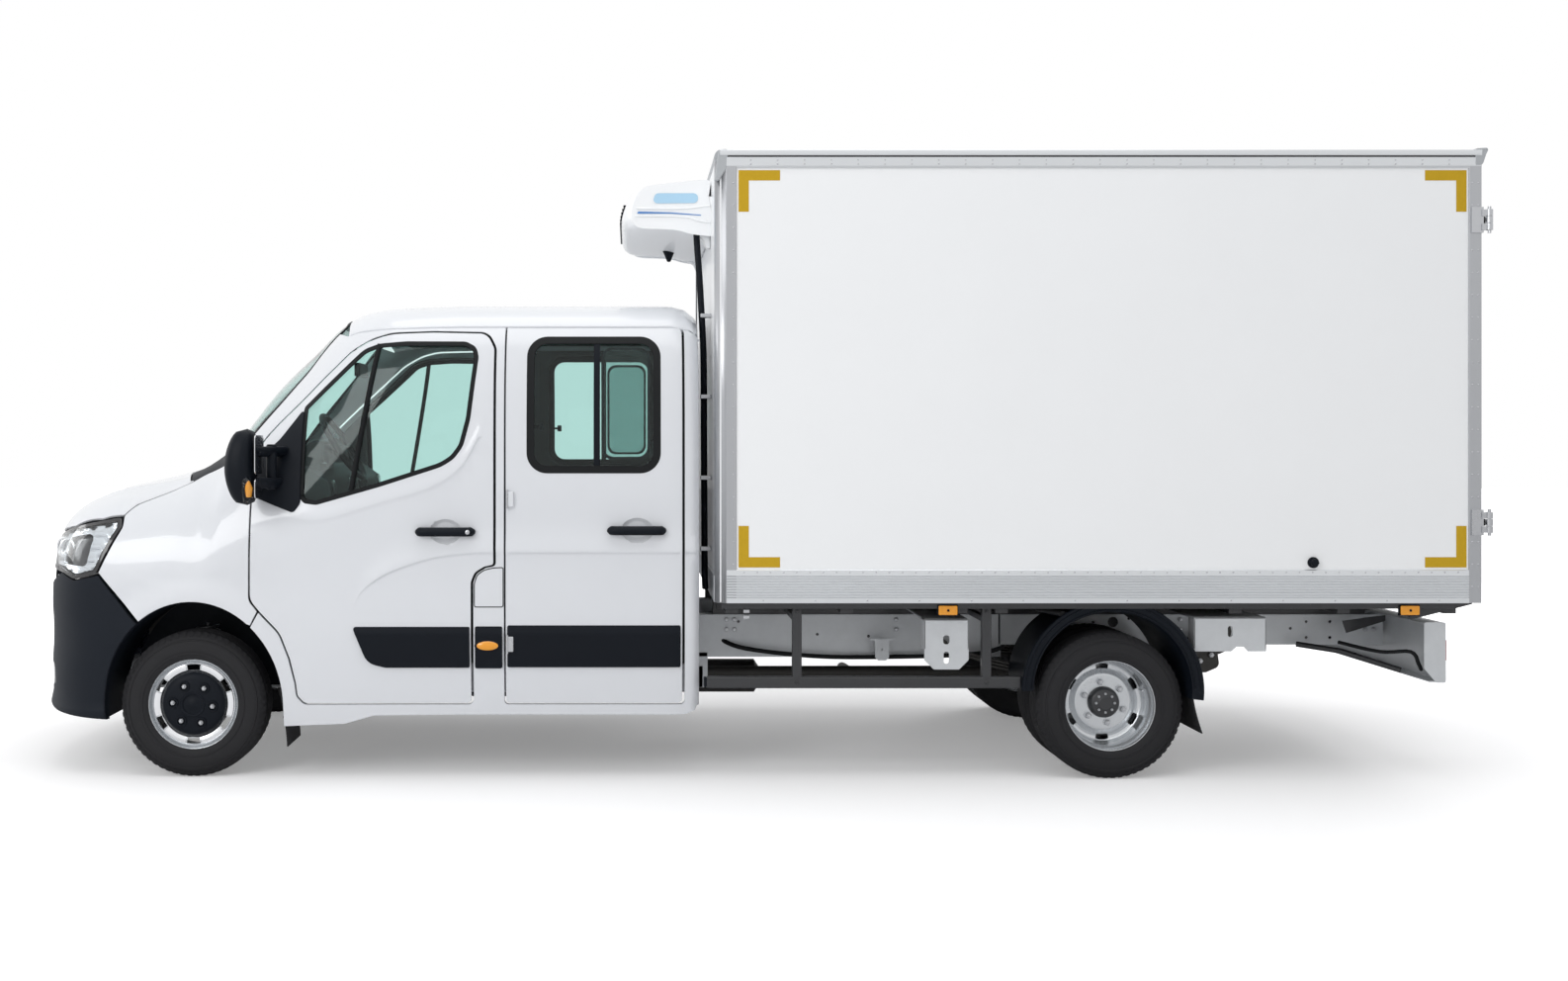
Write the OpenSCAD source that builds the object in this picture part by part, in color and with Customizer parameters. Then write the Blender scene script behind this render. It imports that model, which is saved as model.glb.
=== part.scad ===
// Crew-cab light truck with an insulated, refrigerated box body.
// X runs rearwards from the front axle while a piece is drawn, Y to the truck's right, Z up from
// the ground. The last lines shift every piece so that X = 0 is the middle of the truck's length.

/* [Chassis] */
// Front axle to rear axle
wheelbase = 4332; // [4200:1:4400]
// Radius of every tyre
tyre_r = 345; // [335:1:350]
// Width of one tyre
tyre_w = 195; // [180:1:200]
// Centre of a front tyre from the truck's middle plane
front_track_half = 875; // [860:1:885]
// Centre of a pair of rear tyres from the middle plane
rear_track_half = 806; // [800:1:812]
// Middle of one rear tyre to the middle of its twin
twin_pitch = 236; // [225:1:240]
// Outer face of a frame rail from the middle plane
rail_half = 430; // [420:1:440]

/* [Cab] */
// Front axle to the foremost point of the bumper
nose_reach = 864; // [860:1:880]
// Front axle to the back of the cab
cab_back = 2400; // [2390:1:2405]
// Thickness of the cab's walls and roof
cab_wall = 60; // [50:1:70]
// Thickness of a cab door
door_t = 80; // [70:1:90]
// Gap round a cab door
door_gap = 8; // [8:1:10]
// Gap behind a cab door, where its edge swings past the pillar
door_rear_gap = 12; // [12:1:14]

/* [Box] */
// Front axle to the front of the box
box_front = 2470; // [2465:1:2480]
// Front axle to the back of the box walls
box_back = 6045; // [6000:1:6060]
// Half the width of the box
box_half = 1070; // [1065:1:1075]
// Underside of the box floor
box_bottom = 840; // [838:1:845]
// Top of the box roof
box_top = 2950; // [2900:10:3000]
// Thickness of the side and front walls
wall_t = 60; // [50:1:70]
// Thickness of the roof and the floor
deck_t = 80; // [70:1:90]
// Thickness of a cargo door
cargo_door_t = 60; // [50:1:61]

/* [Hidden] */
LEFT = -1;
RIGHT = 1;
$fn = 48;

// Hinge pins of the cargo doors stand behind the box and just outside its walls.
cargo_pin = [box_back + 32, box_half + 14];
cargo_pin_r = 8;
overall_back = cargo_pin[0] + 16;
middle_x = (overall_back - nose_reach) / 2;
frame_top = 712;
rear_x = wheelbase;

// ---------------------------------------------------------------- cab shape
// Each station of the cab is a section across it: [x, bottom, top, half width, roundness].
// The nose narrows in plan as a superellipse that is 519 deep and 1000 wide.
nose_depth = 519;
nose_n = 2.35;
function nose_half(x) =
    1000 * pow(1 - pow((nose_depth - nose_reach - 5 - x) / nose_depth, nose_n), 1 / nose_n);
stations = [
    for (s = [[-nose_reach, 345, 760], [-845, 305, 900], [-820, 275, 1044], [-790, 255, 1160],
              [-740, 242, 1245], [-670, 238, 1292], [-560, 235, 1338], [-430, 235, 1376]])
        [s[0], s[1], s[2], nose_half(s[0]), 3.4],
    [-300, 235, 1406, 1006, 3.2],
    [-110, 235, 1460, 1016, 3],
    [60, 235, 1600, 1024, 2.3],
    [300, 235, 1905, 1032, 2.4],
    [480, 240, 2070, 1035, 2.7],
    [640, 250, 2200, 1035, 3.4],
    [780, 265, 2248, 1035, 4.4],
    [960, 300, 2262, 1035, 5.4],
    [1340, 320, 2268, 1035, 6],
    [2250, 322, 2268, 1035, 6],
    [2370, 322, 2240, 1020, 5.4],
    [cab_back, 326, 2200, 985, 5]
];
waist_z = 960;
floor_half = 860;
floor_z = 465;
bonnet_back = -70;
wing_inner = 740;
arc_steps = 9;
slice_t = 1.5;

// Half of a section as points from its bottom to its crown, drawn in by inset.
function half_section(s, inset) =
    let (hw = s[3] - inset, top = s[2] - inset, bottom = s[1] + inset,
         knee = min(waist_z, (s[1] + s[2]) / 2))
    concat(
        [[hw * 0.955, bottom], [hw * 0.985, bottom + 60], [hw, knee - (knee - bottom) * 0.3]],
        [for (i = [0 : arc_steps])
            let (a = 90 * pow(i / arc_steps, 0.8))
            [hw * pow(cos(a), 2 / s[4]), knee + (top - knee) * pow(sin(a), 2 / s[4])]]);

// A section as a thin slice standing across the cab.
module slice(s, inset) {
    half = half_section(s, inset);
    translate([s[0], 0, 0])
        rotate([90, 0, 90])
            linear_extrude(slice_t)
                polygon(concat(half, [for (i = [len(half) - 2 : -1 : 0]) [-half[i][0], half[i][1]]]));
}

// The cab as one closed shape, drawn in by inset on every side.
module cab_mass(inset = 0) {
    last = len(stations) - 1;
    for (i = [0 : last - 1]) {
        a = stations[i];
        b = stations[i + 1];
        front = i == 0 ? inset : 0;
        back = i == last - 1 ? inset : 0;
        hull() {
            slice([a[0] + front, a[1], a[2], a[3], a[4]], inset);
            slice([b[0] - back, b[1], b[2], b[3], b[4]], inset);
        }
    }
}

// A layer of the cab's skin between two depths.
module skin(outer, inner) {
    difference() {
        cab_mass(outer);
        cab_mass(inner);
    }
}

// A side-view outline pushed through one side of the truck, from the middle plane outwards.
module through_side(side, reach = 1400, start = 500) {
    mirror([0, side == RIGHT ? 1 : 0, 0])
        translate([0, -start, 0])
            rotate([90, 0, 0])
                linear_extrude(reach - start)
                    children();
}

// A side-view outline pushed through the whole truck.
module through_both(half = 1400) {
    translate([0, half, 0])
        rotate([90, 0, 0])
            linear_extrude(2 * half)
                children();
}

// ---------------------------------------------------------------- side-view outlines
sill_z = 357;
door_front = 284;
door_back = 1428;
crew_front = 1486;
crew_back = 2316;
crew_top = 2150;

module rounded(r) {
    offset(r) offset(-r) children();
}

module arch_outline(grow = 0) {
    translate([8, 348])
        scale([(427 + grow) / 100, (489 + grow) / 100])
            circle(100, $fn = 40);
    translate([-419 - grow, 0])
        square([854 + 2 * grow, 350]);
}

module front_door_outline() {
    rounded(24)
        polygon([[536, sill_z], [1322, sill_z], [1322, 985], [door_back, 1025],
                 [door_back, 2030], [1392, 2102], [1130, 2108], [935, 2102], [843, 2076],
                 [746, 2020], [595, 1876], [384, 1672], [294, 1572], [door_front, 1294],
                 [door_front, 845], [330, 790], [425, 690], [470, 571], [497, 455], [504, 392]]);
}

module front_window_outline() {
    rounded(22)
        polygon([[535, 1322], [600, 1315], [896, 1401], [1172, 1490], [1222, 1522],
                 [1262, 1574], [1296, 1700], [1332, 1985], [1322, 2020], [1286, 2040],
                 [1009, 2042], [880, 2030], [818, 2006], [535, 1738]]);
}

module crew_door_outline() {
    rounded(14)
        polygon([[crew_front, sill_z], [crew_back, sill_z], [crew_back, crew_top - 50],
                 for (a = [22.5, 45, 67.5])
                     [crew_back - 50 + 50 * cos(a), crew_top - 50 + 50 * sin(a)],
                 [crew_back - 50, crew_top], [crew_front, crew_top]]);
}

module crew_window_outline() {
    rounded(75)
        translate([1620, 1478])
            square([560, 570]);
}

// Both door openings, with the wider gap behind each door.
module door_holes() {
    for (back = [0, door_rear_gap - door_gap])
        translate([back, 0])
            offset(delta = door_gap) {
                front_door_outline();
                crew_door_outline();
            }
}

// ---------------------------------------------------------------- cab pieces
module cab_body() {
    color("white")
        union() {
            difference() {
                skin(0, cab_wall);
                // The nose in front of the scuttle belongs to the bonnet, wings and bumper.
                through_both()
                    polygon([[-1000, 0], [door_front - 8, 0], [door_front - 8, 1400],
                             [-62, 1400], [-62, 1700], [-1000, 1700]]);
                windscreen_plan(0);
                // Room for the frame under the raised floor.
                translate([-100, -floor_half, 0]) cube([cab_back + 200, 2 * floor_half, floor_z]);
                for (side = [LEFT, RIGHT]) {
                    through_side(side, start = wing_inner - 8) wing_outline(8);
                    through_side(side) arch_outline();
                    through_side(side, start = 700) door_holes();
                }
            }
            // Floor, inner sills, bulkhead and wheel housings.
            translate([450, -900, floor_z]) cube([cab_back - 480, 1800, 40]);
            translate([270, -500, floor_z]) cube([200, 1000, 40]);
            for (y = [-900, floor_half]) translate([470, y, 330]) cube([cab_back - 500, 40, 175]);
            translate([270, -880, 860]) cube([30, 1760, 570]);
            translate([270, -500, floor_z]) cube([30, 1000, 420]);
            for (y = [-940, 860]) translate([270, y, 860]) cube([30, 80, 420]);
            translate([-55, -700, 1340]) cube([355, 1400, 30]);
            translate([-55, -700, 1340]) cube([30, 1400, 90]);
            translate([270, -880, 860]) cube([210, 1760, 30]);
            for (y = [-500, 480]) translate([270, y, floor_z]) cube([210, 20, 420]);
            for (y = [-894, 498]) translate([453, y, 337]) cube([30, 396, 550]);
        }
}

// The windscreen's outline in plan, through the cab's upper half.
module windscreen_plan(grow = 0) {
    translate([0, 0, 1400])
        linear_extrude(1000)
            offset(grow)
                polygon(concat(
                    [for (y = [-780 : 130 : 780]) [-22 + 150 * pow(y / 780, 2), y]],
                    [for (y = [640 : -128 : -640]) [640 + 40 * pow(y / 640, 2), y]]));
}

module windscreen() {
    color([0.3, 0.42, 0.42, 0.5])
        intersection() {
            skin(8, 14);
            windscreen_plan(-3);
        }
}

bonnet_seam = [[-1000, 1130], [-800, 1130], [-600, 1196], [-354, 1242], [-311, 1289], [-231, 1322],
               [-160, 1351], [-90, 1384], [bonnet_back, 1396]];

module bonnet() {
    color("white")
        intersection() {
            skin(0, 30);
            through_both()
                polygon(concat(bonnet_seam, [[bonnet_back, 1700], [-1000, 1700]]));
        }
}

module wing_outline(grow = 0) {
    offset(grow)
        polygon([[-440, 966], [-258, 752], [-258, 0], [door_front - 8, 0], [door_front - 8, 1545],
                 [128, 1462], [-62, 1420], [-62, 1390], [-90, 1376], [-160, 1343],
                 [-231, 1314], [-311, 1281], [-350, 1234], [-343, 1183]]);
}

module front_wings() {
    color("white")
        difference() {
            intersection() {
                skin(0, 30);
                union()
                    for (side = [LEFT, RIGHT])
                        through_side(side, start = wing_inner) wing_outline();
            }
            through_side(LEFT, start = 0) arch_outline();
            through_side(RIGHT, start = 0) arch_outline();
        }
}

bumper_top = [[-1000, 820], [-800, 880], [-672, 962], [-579, 928], [-445, 958], [-266, 740]];

module front_bumper() {
    color([0.12, 0.13, 0.15])
        difference() {
            intersection() {
                skin(0, 45);
                through_both() polygon(concat([[-1000, 0]], bumper_top, [[-266, 0]]));
            }
            through_side(LEFT, start = 0) arch_outline();
            through_side(RIGHT, start = 0) arch_outline();
            // Room under the nose for the steered wheels.
            translate([-480, -945, 0]) cube([300, 1890, 300]);
            // Lower air intake.
            translate([-1000, -430, 430]) cube([300, 860, 150]);
        }
}

module front_grille() {
    color([0.08, 0.08, 0.09])
        intersection() {
            skin(12, 42);
            translate([-1000, -560, 0]) cube([600, 1120, 2000]);
            through_both()
                polygon([[-1000, 828], [-800, 888], [-700, 940], [-700, 1118], [-1000, 1116]]);
        }
}

module headlights() {
    color([0.85, 0.88, 0.9])
        difference() {
            intersection() {
                skin(4, 60);
                through_both()
                    polygon([[-1000, 966], [-672, 972], [-579, 938], [-452, 968], [-351, 1180],
                             [-360, 1230], [-600, 1188], [-800, 1122], [-1000, 1122]]);
            }
            translate([-1000, -568, 0]) cube([800, 1136, 2000]);
        }
}

// The space that a door's inner layer leaves free for the sills.
module sill_room() {
    translate([200, -905, 0]) cube([2300, 1810, 510]);
}

module front_door_lining() {
    difference() {
        offset(delta = -20) front_door_outline();
        offset(delta = 6) front_window_outline();
        translate([0, 1500]) square([2000, 1000]);
    }
}

module crew_door_lining() {
    difference() {
        offset(delta = -22) crew_door_outline();
        offset(delta = 6) crew_window_outline();
        translate([0, 1500]) square([3000, 1000]);
    }
}

module front_door(side) {
    color("white")
        mirror([0, side == LEFT ? 1 : 0, 0])
            union() {
                intersection() {
                    skin(0, 34);
                    through_side(RIGHT, start = 640)
                        difference() { front_door_outline(); front_window_outline(); }
                }
                difference() {
                    intersection() {
                        skin(30, door_t);
                        through_side(RIGHT, start = 640) front_door_lining();
                    }
                    sill_room();
                }
            }
}

module front_glass(side) {
    color([0.35, 0.5, 0.48, 0.45])
        intersection() {
            skin(14, 20);
            through_side(side, start = 640) offset(delta = -0.5) front_window_outline();
        }
}

module crew_door(side) {
    color("white")
        union() {
            intersection() {
                skin(0, 34);
                through_side(side, start = 640)
                    difference() { crew_door_outline(); crew_window_outline(); }
            }
            difference() {
                intersection() {
                    skin(30, door_t);
                    through_side(side, start = 640) crew_door_lining();
                }
                sill_room();
            }
        }
}

module crew_glass(side) {
    color([0.35, 0.5, 0.48, 0.45])
        intersection() {
            skin(14, 20);
            through_side(side, start = 640) offset(delta = -0.5) crew_window_outline();
        }
}

// Mirror: a foot on the door's corner, two arms and a tall head.
module mirror_arm(side) {
    color([0.1, 0.1, 0.12])
        mirror([0, side == RIGHT ? 1 : 0, 0])
            union() {
                hull() {
                    translate([330, -1040, 1300]) cube([150, 14, 20]);
                    translate([500, -1030, 1300]) cube([14, 14, 400]);
                    translate([300, -1040, 1360]) cube([20, 14, 120]);
                }
                for (z = [1395, 1540])
                    translate([300, -1150, z]) cube([90, 120, 36]);
                translate([290, -1180, 1390]) cube([92, 40, 190]);
                hull() {
                    translate([283, -1250, 1305]) cylinder(h = 340, r = 45);
                    translate([293, -1120, 1292]) cylinder(h = 352, r = 35);
                    translate([248, -1190, 1360]) cylinder(h = 250, r = 40);
                }
            }
}

module dashboard() {
    color([0.13, 0.14, 0.15])
        translate([0, 780, 0]) rotate([90, 0, 0]) linear_extrude(1560)
            polygon([[300, 1000], [300, 1465], [510, 1470], [620, 1390], [625, 1290],
                     [560, 1120], [520, 1000]]);
    color([0.13, 0.14, 0.15])
        translate([0, -250, 0]) rotate([90, 0, 0]) linear_extrude(370)
            polygon([[420, 1440], [440, 1565], [500, 1600], [545, 1590], [546, 1430]]);
}

wheel_hub = [615, -430, 1560];
module steering_wheel() {
    color([0.09, 0.09, 0.1])
        translate(wheel_hub) rotate([0, 57, 0]) {
            difference() {
                union() {
                    rotate_extrude() translate([185, 0]) circle(15);
                    for (a = [0, 120, 240]) rotate(a) translate([0, -14, -8]) cube([185, 28, 16]);
                    translate([0, 0, -30]) cylinder(h = 44, r = 62);
                }
            }
            translate([0, 0, -58]) cylinder(h = 40, r = 30);
        }
}

// One seat: a cushion on a plinth, raised by lift, and a reclined back with its headrest.
module seat(x, y, w, lift) {
    translate([x, y - w / 2, lift]) {
        translate([40, 20, floor_z + 40 - lift]) cube([380, w - 40, 230 + lift]);
        translate([0, 0, floor_z + 270]) cube([500, w, 130]);
        translate([430, 0, floor_z + 390]) rotate([0, 14, 0]) cube([120, w, 640]);
        translate([590, w / 2 - 120, floor_z + 1030]) rotate([0, 14, 0]) cube([90, 240, 190]);
    }
}

module seats() {
    color([0.16, 0.17, 0.18])
        union() {
            seat(760, -500, 500, 170);
            seat(760, 420, 860, 170);
            seat(1595, 0, 1640, 0);
        }
}

module engine_block() {
    color([0.3, 0.3, 0.31])
        translate([-420, -300, 520]) cube([620, 600, 560]);
}

// ---------------------------------------------------------------- box
inner_half = box_half - wall_t;
roof_under = box_top - deck_t;
frame_front = box_back - 50;

module box_floor() {
    color([0.75, 0.76, 0.78])
        translate([box_front + wall_t, -inner_half, box_bottom])
            cube([frame_front - box_front - wall_t, 2 * inner_half, deck_t]);
}

module box_side_wall(side) {
    color([0.93, 0.94, 0.95])
        translate([box_front, side == LEFT ? -box_half : inner_half, box_bottom])
            cube([frame_front - box_front, wall_t, roof_under - box_bottom]);
}

module box_front_wall() {
    color([0.93, 0.94, 0.95])
        translate([box_front, -inner_half, box_bottom])
            cube([wall_t, 2 * inner_half, roof_under - box_bottom]);
}

module box_roof() {
    color([0.93, 0.94, 0.95])
        translate([box_front, -box_half, roof_under])
            cube([frame_front - box_front, 2 * box_half, deck_t]);
}

opening_half = 1015;
opening_low = box_bottom + 75;
opening_high = box_top - 100;
hinge_heights = [1213, 2624];
lug_h = 30;
knuckle_h = 32;

module box_rear_frame() {
    color([0.7, 0.71, 0.73])
        union() {
            difference() {
                translate([frame_front, -box_half, box_bottom])
                    cube([50, 2 * box_half, box_top - box_bottom]);
                translate([frame_front - 5, -opening_half, opening_low])
                    cube([60, 2 * opening_half, opening_high - opening_low]);
            }
            // Gutter over the doors.
            translate([box_back - 10, -opening_half, box_top - 8]) cube([40, 2 * opening_half, 8]);
            for (side = [LEFT, RIGHT], z = hinge_heights)
                translate([0, side * cargo_pin[1], z]) {
                    translate([cargo_pin[0], 0, -knuckle_h / 2 - lug_h - 2])
                        cylinder(h = knuckle_h + 2 * lug_h + 4, r = cargo_pin_r);
                    for (low = [-knuckle_h / 2 - lug_h - 2, knuckle_h / 2 + 2]) {
                        translate([cargo_pin[0], 0, low]) cylinder(h = lug_h, r = 15);
                        translate([box_back - 6, side == LEFT ? 0 : -26, low])
                            cube([cargo_pin[0] - box_back + 6, 26, lug_h]);
                    }
                }
        }
}

leaf_gap = 7;
leaf_face = box_back + 12;

module cargo_door(side) {
    color([0.93, 0.94, 0.95])
        mirror([0, side == RIGHT ? 1 : 0, 0])
            difference() {
                union() {
                    translate([leaf_face - cargo_door_t, -opening_half + 6, opening_low + 6])
                        cube([cargo_door_t, opening_half - 6 - leaf_gap,
                              opening_high - opening_low - 12]);
                    for (z = hinge_heights) {
                        translate([leaf_face - 2, -cargo_pin[1], z - knuckle_h / 2])
                            cube([10, 230, knuckle_h]);
                        translate([leaf_face - 2, -cargo_pin[1], z - knuckle_h / 2])
                            cube([22, 12, knuckle_h]);
                        translate([cargo_pin[0], -cargo_pin[1], z - knuckle_h / 2])
                            cylinder(h = knuckle_h, r = 15);
                    }
                }
                for (z = hinge_heights)
                    translate([cargo_pin[0], -cargo_pin[1], z - knuckle_h])
                        cylinder(h = 2 * knuckle_h, r = cargo_pin_r + 0.4);
            }
}

rod_x = leaf_face + 18;
module lock_rods(side) {
    color([0.75, 0.76, 0.78])
        mirror([0, side == RIGHT ? 1 : 0, 0])
            union() {
                translate([rod_x, -130, opening_low + 12])
                    cylinder(h = opening_high - opening_low - 24, r = 13);
                for (z = [1000, 1320, 2100, 2760])
                    translate([leaf_face, -165, z]) cube([18, 70, 60]);
                translate([rod_x - 4, -420, 1440]) cube([10, 300, 34]);
            }
}

module refrigeration_unit() {
    color([0.95, 0.95, 0.96])
        union() {
            intersection() {
                translate([0, 700, 0]) rotate([90, 0, 0]) linear_extrude(1400)
                    polygon([[box_front, 2885], [2360, 2880], [2210, 2866], [2120, 2850],
                             [2066, 2825], [2035, 2780], [2020, 2710], [2028, 2676],
                             [2060, 2650], [2130, 2638], [2260, 2630], [2380, 2604],
                             [box_front, 2600]]);
                translate([0, 0, 2300]) linear_extrude(800)
                    polygon([[box_front, -700], [2180, -700], [2090, -640], [2035, -480],
                             [2020, -300], [2020, 300], [2035, 480], [2090, 640],
                             [2180, 700], [box_front, 700]]);
            }
        }
}

// ---------------------------------------------------------------- chassis
rail_w = 60;
web = 6;

// A C-section rail between two stations, open towards the middle of the truck.
module channel(x0, x1, z0, z1, side) {
    mirror([0, side == RIGHT ? 1 : 0, 0])
        difference() {
            translate([x0, -rail_half, z0]) cube([x1 - x0, rail_w, z1 - z0]);
            translate([x0 - 1, -rail_half + web, z0 + web])
                cube([x1 - x0 + 2, rail_w, z1 - z0 - 2 * web]);
        }
}

frame_back = 5888;
tow_holes = [5560, 634];
tow_spacing = [120, 80];
tow_hole_r = 6.5;

module chassis_frame() {
    color([0.62, 0.64, 0.66])
        difference() {
            union() {
                for (side = [LEFT, RIGHT]) {
                    channel(-600, 2440, 340, 450, side);
                    channel(2404, 3950, 496, frame_top, side);
                    channel(3940, frame_back, 557, frame_top, side);
                    // The drop from the frame's height to the cab's.
                    mirror([0, side == RIGHT ? 1 : 0, 0])
                        translate([2404, -rail_half, 340]) cube([60, 20, 172]);
                }
                for (m = [[-590, 390], [1000, 390], [1700, 390], [2500, 560], [3600, 580],
                          [5000, 590], [5780, 590]])
                    translate([m[0], -rail_half + web, m[1]])
                        cube([60, 2 * (rail_half - web), m[1] < 500 ? 54 : 70]);
            }
            // Four holes through each rail's web, for a tow bar or a tail lift.
            for (dx = [-0.5, 0.5], dz = [-0.5, 0.5])
                translate([tow_holes[0] + dx * tow_spacing[0], rail_half + 10,
                           tow_holes[1] + dz * tow_spacing[1]])
                    rotate([90, 0, 0]) cylinder(h = 2 * rail_half + 20, r = tow_hole_r);
        }
}

bearers = [2520, 3060, 3600, 3790, 4890, 5400, 5900];
module box_subframe() {
    color([0.1, 0.11, 0.12])
        union() {
            for (y = [-rail_half, rail_half - 60])
                translate([box_front + 20, y, frame_top]) cube([3310, 60, 78]);
            for (x = bearers)
                translate([x, -1010, 790 - 10]) cube([60, 2020, box_bottom - 780]);
        }
}

module side_guards() {
    color([0.1, 0.11, 0.12])
        union()
            for (side = [LEFT, RIGHT])
                mirror([0, side == RIGHT ? 1 : 0, 0]) {
                    translate([2430, -1010, 427]) cube([1485, 40, 56]);
                    for (x = [2835, 3728]) translate([x, -1010, 470]) cube([44, 40, 310]);
                }
}

guard_centre = [wheelbase + 6, 420];
module mudguards() {
    color([0.1, 0.11, 0.12])
        union()
            for (side = [LEFT, RIGHT])
                mirror([0, side == RIGHT ? 1 : 0, 0]) {
                    translate([guard_centre[0], -540, guard_centre[1]]) rotate([90, 0, 0])
                        rotate_extrude(angle = 180) translate([368, 0]) square([10, 495]);
                    translate([guard_centre[0], -1025, guard_centre[1]]) rotate([90, 0, 0])
                        rotate_extrude(angle = 180) translate([366, 0]) square([52, 10]);
                    // Mud flap.
                    translate([guard_centre[0] + 367, -1020, 210]) cube([12, 440, 215]);
                }
}

module rear_bumper() {
    color([0.78, 0.79, 0.8])
        union() {
            translate([5890, -1000, 455]) cube([24, 2000, 281]);
            translate([5811, -1000, 716]) cube([100, 2000, 20]);
            translate([5840, -1000, 455]) cube([70, 2000, 18]);
            for (y = [-1012, 1000]) translate([5811, y, 455]) cube([103, 12, 281]);
        }
}

module tail_lights() {
    color([0.75, 0.08, 0.06])
        union()
            for (y = [-970, 690]) translate([5914, y, 545]) cube([24, 280, 110]);
}

module exhaust() {
    color([0.45, 0.44, 0.42])
        union() {
            translate([700, 250, 300]) rotate([0, 90, 0]) cylinder(h = 1500, r = 28);
            translate([2150, 250, 300]) rotate([0, 90, 0]) cylinder(h = 620, r = 90);
            translate([2760, 250, 300]) rotate([0, 90, 0]) cylinder(h = 500, r = 28);
            translate([3250, 222, 272]) cube([60, 440, 56]);
        }
}

module fuel_tank() {
    color([0.14, 0.15, 0.16])
        translate([1280, 0, 0]) rotate([90, 0, 90]) linear_extrude(960)
            polygon([[-820, 455], [-820, 372], [-640, 330], [-450, 306], [-450, 455]]);
}

module driveshaft() {
    color([0.2, 0.2, 0.21])
        union() {
            translate([220, 0, 352]) rotate([0, 90, 0]) cylinder(h = 520, r = 85);
            translate([700, 0, 350]) rotate([0, 90, 0]) cylinder(h = rear_x - 870, r = 36);
        }
}

// ---------------------------------------------------------------- axles and wheels
axle_z = tyre_r;
module rear_axle() {
    color([0.12, 0.12, 0.13])
        union() {
            translate([rear_x, -600, axle_z]) rotate([-90, 0, 0]) cylinder(h = 1200, r = 48);
            translate([rear_x, 0, axle_z]) sphere(150);
            for (y = [-930, 930])
                translate([rear_x, y, axle_z]) rotate([y > 0 ? 90 : -90, 0, 0])
                    cylinder(h = 340, r = 34);
        }
}

module leaf_springs() {
    color([0.13, 0.13, 0.14])
        union()
            for (y = [-530, 470])
                translate([0, y + 60, 0]) rotate([90, 0, 0])
                    linear_extrude(60)
                        polygon([[3560, 470], [3640, 470], [4332, axle_z + 52], [5020, 520],
                                 [5100, 520], [5100, 552], [5010, 552], [4332, axle_z + 90],
                                 [3640, 500], [3600, 560], [3560, 560]]);
}

kingpin_y = 690;
module front_axle() {
    color([0.14, 0.14, 0.15])
        union() {
            translate([-60, -420, 280]) cube([120, 840, 60]);
            translate([-30, -640, 300]) cube([60, 1280, 40]);
            for (y = [-690, 690]) {
                translate([0, y, 255]) cylinder(h = 40, r = 24);
                translate([-30, y > 0 ? 600 : -690, 255]) cube([60, 90, 40]);
                translate([-30, y > 0 ? 600 : -640, 255]) cube([60, 40, 85]);
            }
        }
}

// The stub axle and the upright that turns with the steering.
module knuckle(side) {
    color([0.16, 0.16, 0.17])
        mirror([0, side == RIGHT ? 1 : 0, 0])
            union() {
                translate([0, -kingpin_y, 302]) cylinder(h = 110, r = 32);
                translate([0, -kingpin_y, axle_z]) rotate([90, 0, 0]) cylinder(h = 205, r = 30);
                translate([0, -kingpin_y, 420]) cylinder(h = 280, r = 26);
                translate([0, -kingpin_y, 400]) cylinder(h = 30, r = 28);
            }
}

bore_gap = 0.05;

// A tyre turned about its own axle, standing between y = 0 and its width.
module tyre() {
    rotate([-90, 0, 0])
        rotate_extrude()
            polygon([[208, 12], [222, 2], [262, 0], [310, 6], [332, 18], [tyre_r - 1, 34],
                     [tyre_r, tyre_w / 2], [tyre_r - 1, tyre_w - 34], [332, tyre_w - 18],
                     [310, tyre_w - 6], [262, tyre_w], [222, tyre_w - 2], [208, tyre_w - 12]]);
}

// A rim with its disc set to one side, and a bore for its axle.
module rim(disc_y, bore) {
    rotate([-90, 0, 0])
        rotate_extrude()
            polygon([[200, 14], [207.9, 14], [207.9, tyre_w - 14], [200, tyre_w - 14],
                     [198, tyre_w - 40], [190, disc_y + 16], [150, disc_y + 8], [bore, disc_y + 8],
                     [bore, disc_y - 20], [150, disc_y - 20], [186, disc_y - 14], [198, 40]]);
}

front_tyre_in = front_track_half - tyre_w / 2;
rear_outer_in = rear_track_half + twin_pitch / 2 - tyre_w / 2;
rear_inner_in = rear_track_half - twin_pitch / 2 - tyre_w / 2;

module on_side(side, x, y) {
    mirror([0, side == LEFT ? 1 : 0, 0]) translate([x, y, axle_z]) children();
}

module front_tyre(side) {
    color([0.07, 0.07, 0.075]) on_side(side, 0, front_tyre_in) tyre();
}

module front_rim(side) {
    color([0.7, 0.71, 0.73]) on_side(side, 0, front_tyre_in) rim(100, 30 + bore_gap);
}

module rear_tyres(side) {
    color([0.07, 0.07, 0.075])
        union() {
            on_side(side, rear_x, rear_outer_in) tyre();
            on_side(side, rear_x, rear_inner_in) tyre();
        }
}

module rear_rims(side) {
    color([0.7, 0.71, 0.73])
        on_side(side, rear_x, 0)
            union() {
                translate([0, rear_outer_in, 0]) rim(50, 34 + bore_gap);
                translate([0, rear_inner_in, 0]) rim(tyre_w - 50, 34 + bore_gap);
                rotate([-90, 0, 0])
                    difference() {
                        translate([0, 0, rear_inner_in + tyre_w - 50]) cylinder(h = 105, r = 120);
                        translate([0, 0, rear_inner_in]) cylinder(h = 400, r = 34 + bore_gap);
                    }
            }
}

// ---------------------------------------------------------------- the truck
module placed() {
    translate([-middle_x, 0, 0]) children();
}

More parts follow.
